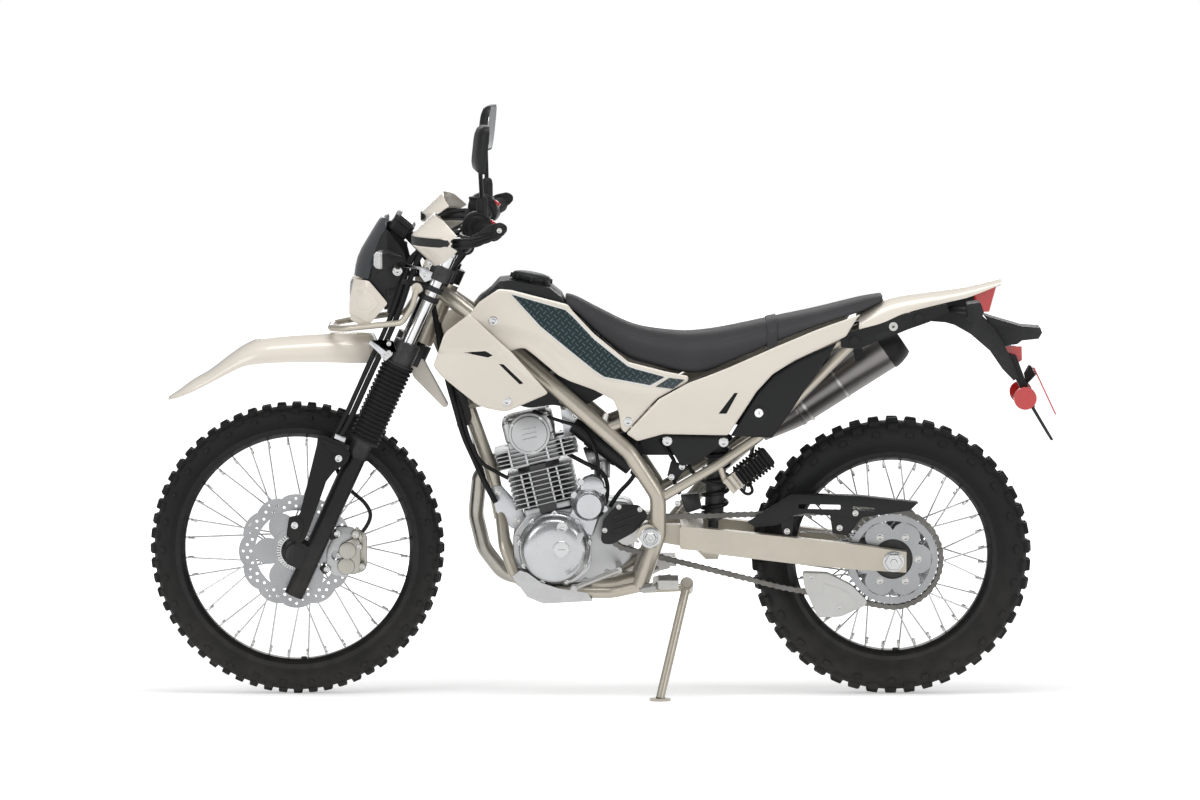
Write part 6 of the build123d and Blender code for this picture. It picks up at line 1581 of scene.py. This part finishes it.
for outline in ([(-430, 996), (-426, 1004), (-392, 990), (-388, 974), (-372, 968), (-366, 984), (-384, 994), (-398, 998)],
                [(-511, 822), (-506, 830), (-472, 814), (-466, 800), (-450, 806), (-456, 826), (-470, 830), (-478, 790)]):
    clips.append(plate(outline, -121, -118, 0.5))
clips.append(plate(rounded([(-486, 812), (-470, 832), (-454, 826), (-458, 796), (-474, 782), (-484, 790)], 3), -120, -100, 1))
clips.append(plate(rounded([(-396, 994), (-376, 986), (-368, 968), (-384, 962), (-396, 978)], 3), -120, -100, 1))
clips.append(plate(rounded([(-592, 606), (-568, 596), (-564, 606), (-588, 616)], 2), -121, -98, 1))
fit(joined(clips), "hose_clips", "steering", bright_zinc)
bolts("clip_bolts", "steering", 4.5, [((-384, -121, 978), LEFT), ((-466, -121, 822), LEFT), ((-466, -121, 802), LEFT), ((-476, -121, 792), LEFT)], head=0.45)

# ---- handlebar and controls ----
# A braced steel bar, ribbed rubber grips, cast lever perches with forged levers, a switch housing with a
# red stop button, the brake's fluid reservoir, and cream hand guards on black arms.
BAR = Vector((-291.5, 0, 1036.8))


def bar_frame(distance, side):
    """A frame on the bar's outer run: its z axis points outwards along the bar."""
    inner = BAR + Vector((30, side * 215, 50))
    outer = BAR + Vector((72, side * 405, 60))
    point = inner.lerp(outer, (distance - 215) / 190)
    return Matrix.Translation(point) @ (outer - inner).to_track_quat("Z", "X").to_matrix().to_4x4()


def sleeve(profile, side, steps=40):
    """A round part on the bar from (distance from the middle, radius) pairs."""
    loop = [(0.01, profile[0][0] - 215)] + [(r, d - 215) for d, r in profile] + [(0.01, profile[-1][0] - 215)]
    piece = turned(loop, steps)
    piece.data.transform(Matrix.Rotation(math.radians(90), 4, "X"))
    piece.data.transform(bar_frame(215, side))
    return piece


grips, housings, levers, perches = [], [], [], []
for side in (-1, 1):
    profile = [(289, 24), (292, 26), (294, 26), (296, 18)]
    for rib in range(22):
        start = 297 + rib * 4.6
        profile += [(start, 16.6), (start + 0.8, 17.6), (start + 2.8, 17.6), (start + 3.6, 16.6)]
    profile += [(399, 17), (402, 16), (404, 11)]
    grips.append(sleeve(profile, side))
    housings.append(sleeve([(247, 20), (249, 25), (252, 27), (284, 27), (287, 25), (288, 20)], side))
    switch_box = block(46, 36, 30, narrow=0.8, bevel=5, segments=2)
    switch_box.data.transform(bar_frame(267, side) @ Matrix.Rotation(math.radians(90), 4, "Y") @ Matrix.Translation((0, 0, 6)))
    housings.append(switch_box)
    perches.append(sleeve([(221, 17), (223, 19), (245, 19), (247, 17)], side))
    centre = bar_frame(230.5, side).translation
    perch = block(30, 22, 26, narrow=0.8, bevel=4, segments=2)
    perch.data.transform(Matrix.Translation(centre + Vector((-30, 0, -12))))
    perches.append(perch)
    y0 = side
    lever = tube([(centre.x - 18, y0 * 232, centre.z), (centre.x - 30, y0 * 250, centre.z - 2), (centre.x - 38, y0 * 275, centre.z - 3), (centre.x - 36, y0 * 320, centre.z - 4),
                  (centre.x - 26, y0 * 362, centre.z - 4), (centre.x - 10, y0 * 396, centre.z - 2)], 6.4)
    for vertex in lever.data.vertices:
        vertex.co.z = centre.z - 3 + (vertex.co.z - centre.z + 3) * 0.8
    ball = turned([(0, -7), (5, -5.5), (7.5, 0), (5, 5.5), (0, 7)], 20)
    ball.data.transform(Matrix.Translation((centre.x - 9, y0 * 398, centre.z - 2)))
    levers += [lever, ball]
reservoir_centre = bar_frame(234, 1).translation
reservoir = slab_up(box_outline(36, 32, 7), 0, 24, 2, 2)
reservoir_lid = slab_up(box_outline(38, 34, 8), 24, 29, 1.2, 2)
for piece in (reservoir, reservoir_lid):
    piece.data.transform(Matrix.Translation(reservoir_centre + Vector((-16, 0, 11))))
housings += [reservoir, reservoir_lid]
fit(joined(grips), "grips", "steering", rubber, ("controls",), smooth=40)
fit(joined(housings), "switch_housings", "steering", moulded_black, smooth=40)
fit(joined(levers), "levers", "steering", satin_black, smooth=60)
fit(joined(perches), "lever_perches", "steering", satin_black, smooth=40)
button = dish(0, 0, 0, -1, [(8, 0), (8, 5), (6.5, 6.5)], 24)
button.data.transform(Matrix.Translation(bar_frame(270, -1).translation + Vector((22, -6, 19))) @ Matrix.Rotation(math.radians(35), 4, "Y") @ Matrix.Rotation(math.radians(-90), 4, "X"))
stop_button = dish(0, 0, 0, -1, [(9, 0), (9, 6), (7.5, 7.5)], 24)
stop_button.data.transform(Matrix.Translation(bar_frame(262, 1).translation + Vector((22, 0, 19))) @ Matrix.Rotation(math.radians(35), 4, "Y") @ Matrix.Rotation(math.radians(-90), 4, "X"))
fit(joined([button, stop_button]), "switch_buttons", "steering", red_plastic, smooth=40)
drum = dish(-262, 1102, 246, -1, [(30, 0), (33, 3), (33, 40), (31, 43), (24, 43), (22, 45.5), (13, 45.5), (12, 44), (8, 44)], 48)
fit(with_right(drum), "switch_drums", "steering", moulded_black, smooth=40)

guard_rows = [  # distance from the middle, nose x, half height, depth of the fold
    (206, -366, 32, 26), (232, -386, 45, 36), (262, -398, 54, 44), (296, -404, 58, 48), (330, -405, 58, 48), (364, -396, 55, 46), (398, -371, 46, 38),
    (420, -345, 31, 27), (435, -319, 17, 15),
]
GUARD_Z = 1077


def guard_ring(y, shrink):
    """One section of a hand guard: upper leaf, channel and lower leaf, about 3 mm thick."""
    nose, half, fold = (spline_value(guard_rows, y, column) for column in (1, 2, 3))
    lip = min(14, half * 0.5)
    groove = 7 * min(1.0, half / 40)
    front = [(nose + fold, half), (nose + 2, lip), (nose, lip - 2), (nose, lip - 5), (nose + groove, lip - 7), (nose + groove, -lip + 7), (nose, -lip + 5), (nose, -lip + 2), (nose + 2, -lip), (nose + fold, -half)]
    back = [(x + 3.4, z * 0.96) for x, z in reversed(front)]
    return [(x, y, GUARD_Z + z) for x, z in front + back]


rings = [guard_ring(206 + 229 * step / 40, 0) for step in range(41)]
right_guard = lofted(rings)
soften(right_guard, 0.8, 1, 30)
fit(with_right(right_guard), "hand_guards", "steering", cream, ("handguards",), smooth=26)
insert_rings = []
for step in range(27):
    y = 300 + 133.5 * step / 26
    nose = spline_value(guard_rows, y, 1)
    half = 9.5 if y < 428 else 7.0
    insert_rings.append([(nose - 1.6, y, GUARD_Z + half), (nose + 10, y, GUARD_Z + half), (nose + 10, y, GUARD_Z - half), (nose - 1.6, y, GUARD_Z - half)])
fit(with_right(lofted(insert_rings)), "guard_inserts", "steering", moulded_black, smooth=40)
arm_outline = [(-372, 1070), (-322, 1073), (-280, 1076), (-254, 1090), (-234, 1106), (-206, 1112), (-192, 1104), (-192, 1090), (-206, 1082), (-230, 1070), (-254, 1058), (-282, 1052), (-330, 1052), (-372, 1058)]
arm = plate(rounded([(x, z + 12) for x, z in arm_outline], 6, 4), 419, 431, 3, 3)
for vertex in arm.data.vertices:
    vertex.co.y -= max(0.0, (-262 - vertex.co.x)) * 0.42
channel_bar = tube([(-372, 372, 1077), (-392, 330, 1077), (-392, 290, 1077), (-384, 262, 1077), (-330, 226, 1084), (-264, 205, 1083)], 7)
arm_cap = dish(-209, 1106, 424, 1, [(14, 0), (14, 8), (12, 11), (9, 11), (8, 8.5)], 32)
fit(with_right(joined([arm, channel_bar, arm_cap])), "guard_arms", "steering", moulded_black, smooth=40)
bolts("guard_arm_bolts", "steering", 5, [((-209, -432, 1106), LEFT), ((-209, 432, 1106), RIGHT)], head=0.5)

# Mirrors: a moulded shell with a flat glass towards the rider, on a thin stalk out of a rubber boot.
mirror_glass = finish("mirror_glass", (0.62, 0.64, 0.66), 0.04, metal=1.0, grain_scale=200, grain_depth=0.001)
boss = bar_frame(267, 1).translation
head_centre = Vector((boss.x - 4, 362, boss.z + 192))
HEAD = Matrix.Translation(head_centre) @ Matrix.Rotation(math.radians(-8), 4, "Z") @ Matrix.Rotation(math.radians(6), 4, "Y")
head_outline = rounded([(-57, -30), (-50, -52), (44, -54), (58, -30), (58, 34), (46, 53), (-40, 53), (-57, 30)], 16, 5)
shell_rings = []
for x, scale in ((11.5, 0.985), (12, 1.0), (8, 1.0), (0, 0.97), (-7, 0.86), (-11, 0.66), (-12, 0.4)):
    shell_rings.append([(x, y * scale, z * scale) for y, z in head_outline])
shell = lofted(shell_rings)
glass = lofted([[(x, y * scale, z * scale) for y, z in head_outline] for x, scale in ((11.2, 0.93), (12.3, 0.92))])
stalk = tube([(boss.x, 268, boss.z + 26), (boss.x - 1, 269, boss.z + 70), (boss.x - 3, 292, boss.z + 124), (boss.x - 5, 324, boss.z + 168), (boss.x - 6, 336, boss.z + 190)], 5)
boot = turned([(0, 18), (12.5, 18), (13.5, 22), (13, 66), (11, 76), (7, 80), (0, 80)], 32)
boot.data.transform(Matrix.Translation((boss.x, 268, boss.z)) @ Matrix.Rotation(math.radians(90), 4, "X"))
for piece in (shell, glass):
    piece.data.transform(HEAD)
fit(with_right(joined([shell, boot])), "mirror_shells", "steering", moulded_black, ("mirrors",), smooth=50)
fit(with_right(glass), "mirror_glasses", "steering", mirror_glass)
fit(with_right(stalk), "mirror_stalks", "steering", satin_black, smooth=60)
clutch_cable = tube([(-330, -222, 1086), (-372, -196, 1080), (-404, -140, 1062), (-400, -70, 1030), (-372, -30, 990), (-336, -30, 944)], 3.2)
throttle_cable = tube([(-300, 250, 1092), (-352, 214, 1094), (-392, 140, 1076), (-392, 60, 1036), (-362, 30, 984), (-336, 30, 944)], 3.2)
harness = tube([(-330, 14, 1046), (-392, 20, 1030), (-412, 16, 998), (-384, 10, 950), (-330, 10, 900)], 8)
fit(joined([clutch_cable, throttle_cable, harness]), "cables", "steering", rubber, smooth=60)

# A stamped bracket with two bolts carries the lamp stay ahead of the upper clamp, and plated caps close the legs.
stay = plate(rounded([(-377, 1016), (-360, 1013), (-358, 1004), (-374, 978), (-392, 988), (-385, 1009)], 6), -108, -103, 1.2)
eye = dish(-401, 948, 104, -1, [(13, 0), (13, 8), (11.5, 9.5), (7, 9.5), (7, 6)], 32)
fit(with_right(joined([stay, eye])), "lamp_stays", "steering", champagne, smooth=40)
bolts("stay_head_bolts", "steering", 6, [((-371, -108, 1005), LEFT), ((-379, -108, 991), LEFT), ((-371, 108, 1005), RIGHT), ((-379, 108, 991), RIGHT)], bright_alloy, head=0.4)
cap = turned([(0, 766), (17, 766), (20, 768), (20, 776), (17, 779), (9, 779), (8, 776), (0, 776)], 40)
cap.data.transform(Matrix.Rotation(math.radians(90), 4, "X"))
cap.data.transform(FORK @ Matrix.Translation((-26, -93, 0)))
fit(with_right(cap), "fork_caps", "steering", bright_alloy, smooth=40)

# ---- screws, lock, and painted shade behind the slots of the covers ----
# Zinc screws in cup washers hold the covers on their grommets, a chromed cylinder locks the left panel, and
# black sheets just behind the slots paint the shade inside the openings.
def on_cover(rows, levels, x, z, form=None):
    """A point on the left cover's outer skin."""
    return (x, -skin_y(rows, levels, x, z) - (form(x, z) if form else 0.0), z)


LOW_LEVELS = (530.0, 600.0, 700.0)
screw_spots = [
    on_cover(tank_rows, BODY_LEVELS, -229, 873, tank_form), on_cover(shroud_rows, SHROUD_LEVELS, -198, 694, shroud_form),
    on_cover(tank_rows, BODY_LEVELS, 77, 643, tank_form), on_cover(panel_rows, LOW_LEVELS, 166, 599), on_cover(panel_rows, LOW_LEVELS, 294, 597),
]
cups, heads = [], []
for x, y, z in screw_spots:
    cups.append(dish(x, z, -y - 1.0, -1, [(11, 0), (11, 1.6), (10, 2.3), (8.4, 2.3), (7.6, 1.2)], 32))
    heads += [((x, y - 0.2, z), LEFT), ((x, -y + 0.2, z), RIGHT)]
fit(with_right(joined(cups)), "screw_cups", "chassis", nickel, smooth=40)
bolts("cover_screws", "chassis", 7.4, heads, bright_alloy, head=0.42)
lock_x, lock_y, lock_z = on_cover(panel_rows, BODY_LEVELS, 374, 663)
lock_collar = dish(lock_x, lock_z, -lock_y - 1.5, -1, [(19, 0), (19, 2.4), (17, 3.6), (12, 3.6), (11, 2.0)], 40)
lock_core = dish(lock_x, lock_z, -lock_y - 1.5, -1, [(10.6, 0), (10.6, 3.6), (9.6, 4.6), (3, 4.6)], 32)
key_slot = block(7, 1.6, 1.4, bevel=0.2)
key_slot.data.transform(Matrix.Translation((lock_x, lock_y - 3.2, lock_z)) @ Matrix.Rotation(math.radians(90), 4, "Y"))
fit(joined([lock_collar, key_slot]), "lock_collar", "chassis", moulded_black, smooth=40)
fit(lock_core, "lock_cylinder", "chassis", chrome, smooth=40)
# Painted shade: dark sheets set just behind the slots stand in for the shade inside the openings.
slot_shade_sheets = []
for rows, levels, form, outline in (
        (shroud_rows, SHROUD_LEVELS, shroud_form, [(-304, 816), (-246, 820), (-220, 801), (-238, 787)]),
        (shroud_rows, SHROUD_LEVELS, shroud_form, [(-226, 790), (-203, 790), (-150, 735), (-168, 724)]),
        (side_rows, BODY_LEVELS, None, [(272, 655), (306, 655), (336, 719), (312, 719)])):
    slot_shade_sheets.append(cover(outline, rows, levels, roll=0.0, wall=1.2, lift=-4.5, corner=0, form=form))
fit(with_right(joined(slot_shade_sheets)), "painted_slot_shade", "chassis", rubber, smooth=40)

# ---- pipes, hoses and wiring behind the engine ----
# A moulded duct brings air past the cylinder, the fuel tank's pan closes the view above it, and rubber hoses
# and sleeved wires run from the head stock down the frame's tubes to the engine and the battery.
duct = [tube([(-46, -30, 626), (-14, -36, 604), (30, -38, 570), (84, -34, 530)], 21), tube([(-70, 26, 640), (0, 30, 612), (60, 24, 576)], 19),
        tube([(90, -36, 526), (122, -30, 506), (136, -20, 476)], 15)]
rings = []
for t in (0.30, 0.36, 0.70, 0.76):
    centre_point = Vector((-46, -30, 626)).lerp(Vector((84, -34, 530)), t)
    rings.append(tube([tuple(centre_point - Vector((4, 0, -3))), tuple(centre_point + Vector((4, 0, -3)))], 23.4, order=2))
fit(joined(duct + rings), "air_duct", "chassis", moulded_black, smooth=50)
under_pan = [(-262, 742), (-236, 694), (-150, 668), (-92, 676), (-40, 664), (24, 700), (60, 742)]
fit(joined([plate(rounded(under_pan, 10), -66, 66, 6, 2), plate(rounded([(-318, 704), (-296, 712), (-280, 640), (-296, 616), (-314, 620)], 5), -34, 34, 3, 2)]),
    "tank_pan", "chassis", moulded_black)
loom = [
    tube([(-368, -26, 900), (-360, -30, 860), (-352, -24, 800), (-336, -34, 730), (-318, -40, 668), (-300, -30, 600), (-276, -26, 548), (-254, -24, 496), (-226, -40, 448)], 6.5),
    tube([(-372, -10, 920), (-352, -16, 850), (-344, -6, 790), (-322, -26, 716), (-300, -44, 640), (-286, -36, 590), (-262, -40, 540), (-224, -58, 520), (-196, -60, 506)], 4.5),
    tube([(-330, 20, 770), (-306, 26, 690), (-286, 24, 622), (-268, 22, 560), (-252, 18, 500)], 5.5),
    tube([(-140, -52, 660), (-86, -64, 640), (-30, -60, 626), (-4, -66, 590), (12, -66, 540), (8, -60, 500)], 4.0),
    tube([(-60, -40, 560), (-20, -58, 540), (24, -60, 520), (34, -54, 470), (20, -60, 430)], 5.0),
    tube([(60, -50, 640), (96, -60, 600), (110, -64, 560), (90, -58, 506), (52, -58, 470), (36, -58, 440)], 5.0),
    tube([(150, -70, 596), (170, -84, 570), (188, -80, 540), (176, -60, 506), (196, -60, 470)], 4.5),
    tube([(226, -60, 560), (210, -84, 540), (232, -90, 516), (256, -88, 498), (300, -80, 492)], 4.5),
    tube([(326, -86, 498), (338, -92, 478), (354, -92, 472), (364, -90, 484), (352, -86, 500)], 3.5),
]
fit(joined(loom), "wiring_loom", "chassis", rubber, smooth=60)
stays = [plate(rounded([(175, 550), (214, 538), (187, 502), (166, 514)], 4), -84, -81, 1), plate(rounded([(196, 470), (238, 474), (246, 440), (210, 428)], 7), -86, -52, 4, 2)]
fit(joined(stays), "side_stays", "chassis", satin_black)
bolts("stay_bolts", "chassis", 6, [((176, -84, 512), LEFT), ((190, -86, 452), LEFT), ((200, -84, 536), LEFT)], bright_alloy)
starter = dish(-12, 446, 90, -1, [(31, 0), (31, 4), (28, 8), (12, 9)], 48)
fit(starter, "starter_cover", "chassis", polished_cover, smooth=40)

# A ribbed black rubber boot over the rectifier's upper end, under the left rail.
BOOT = Matrix.Translation((346, -86, 522)) @ Matrix.Rotation(math.radians(-38), 4, "Y")
ribs = [(0, -20), (24, -20)]
for rib in range(9):
    start = -18 + rib * 9
    ribs += [(24, start), (29.5, start + 2), (29.5, start + 5.5), (24, start + 7.5)]
ribs += [(24, 64), (20, 67), (0, 67)]
boot = turned(ribs, 40)
boot.data.transform(BOOT @ Matrix.Rotation(math.radians(90), 4, "Y") @ Matrix.Rotation(math.radians(90), 4, "X"))
fit(boot, "rectifier_boot", "chassis", rubber, smooth=40)

# ---- pivot, axle and frame fittings ----
# The swingarm turns on a plated bolt with a wide nut; the rear axle's nut bears on a stamped adjuster plate.
pivot = [dish(128, 378, 125.5, -1, [(24, 0), (24, 2), (22, 3), (17, 3), (16, 1.5)], 48), dish(128, 378, 125.5, -1, [(14, 0), (14, 6), (12, 8), (6, 8), (5, 5)], 6)]
fit(joined(pivot), "pivot_nut", "chassis", bright_alloy, smooth=30)
axle_nut = [dish(682.5, 321.5, 111.5, -1, [(24, 0), (24, 2.8), (22, 3.6), (16, 3.6)], 40), dish(682.5, 321.5, 112, -1, [(20.6, 0), (20.6, 11), (19, 14), (9, 14.2), (8.5, 16), (7, 17)], 6)]
fit(joined(axle_nut), "axle_nut", "chassis", bright_alloy, smooth=25)
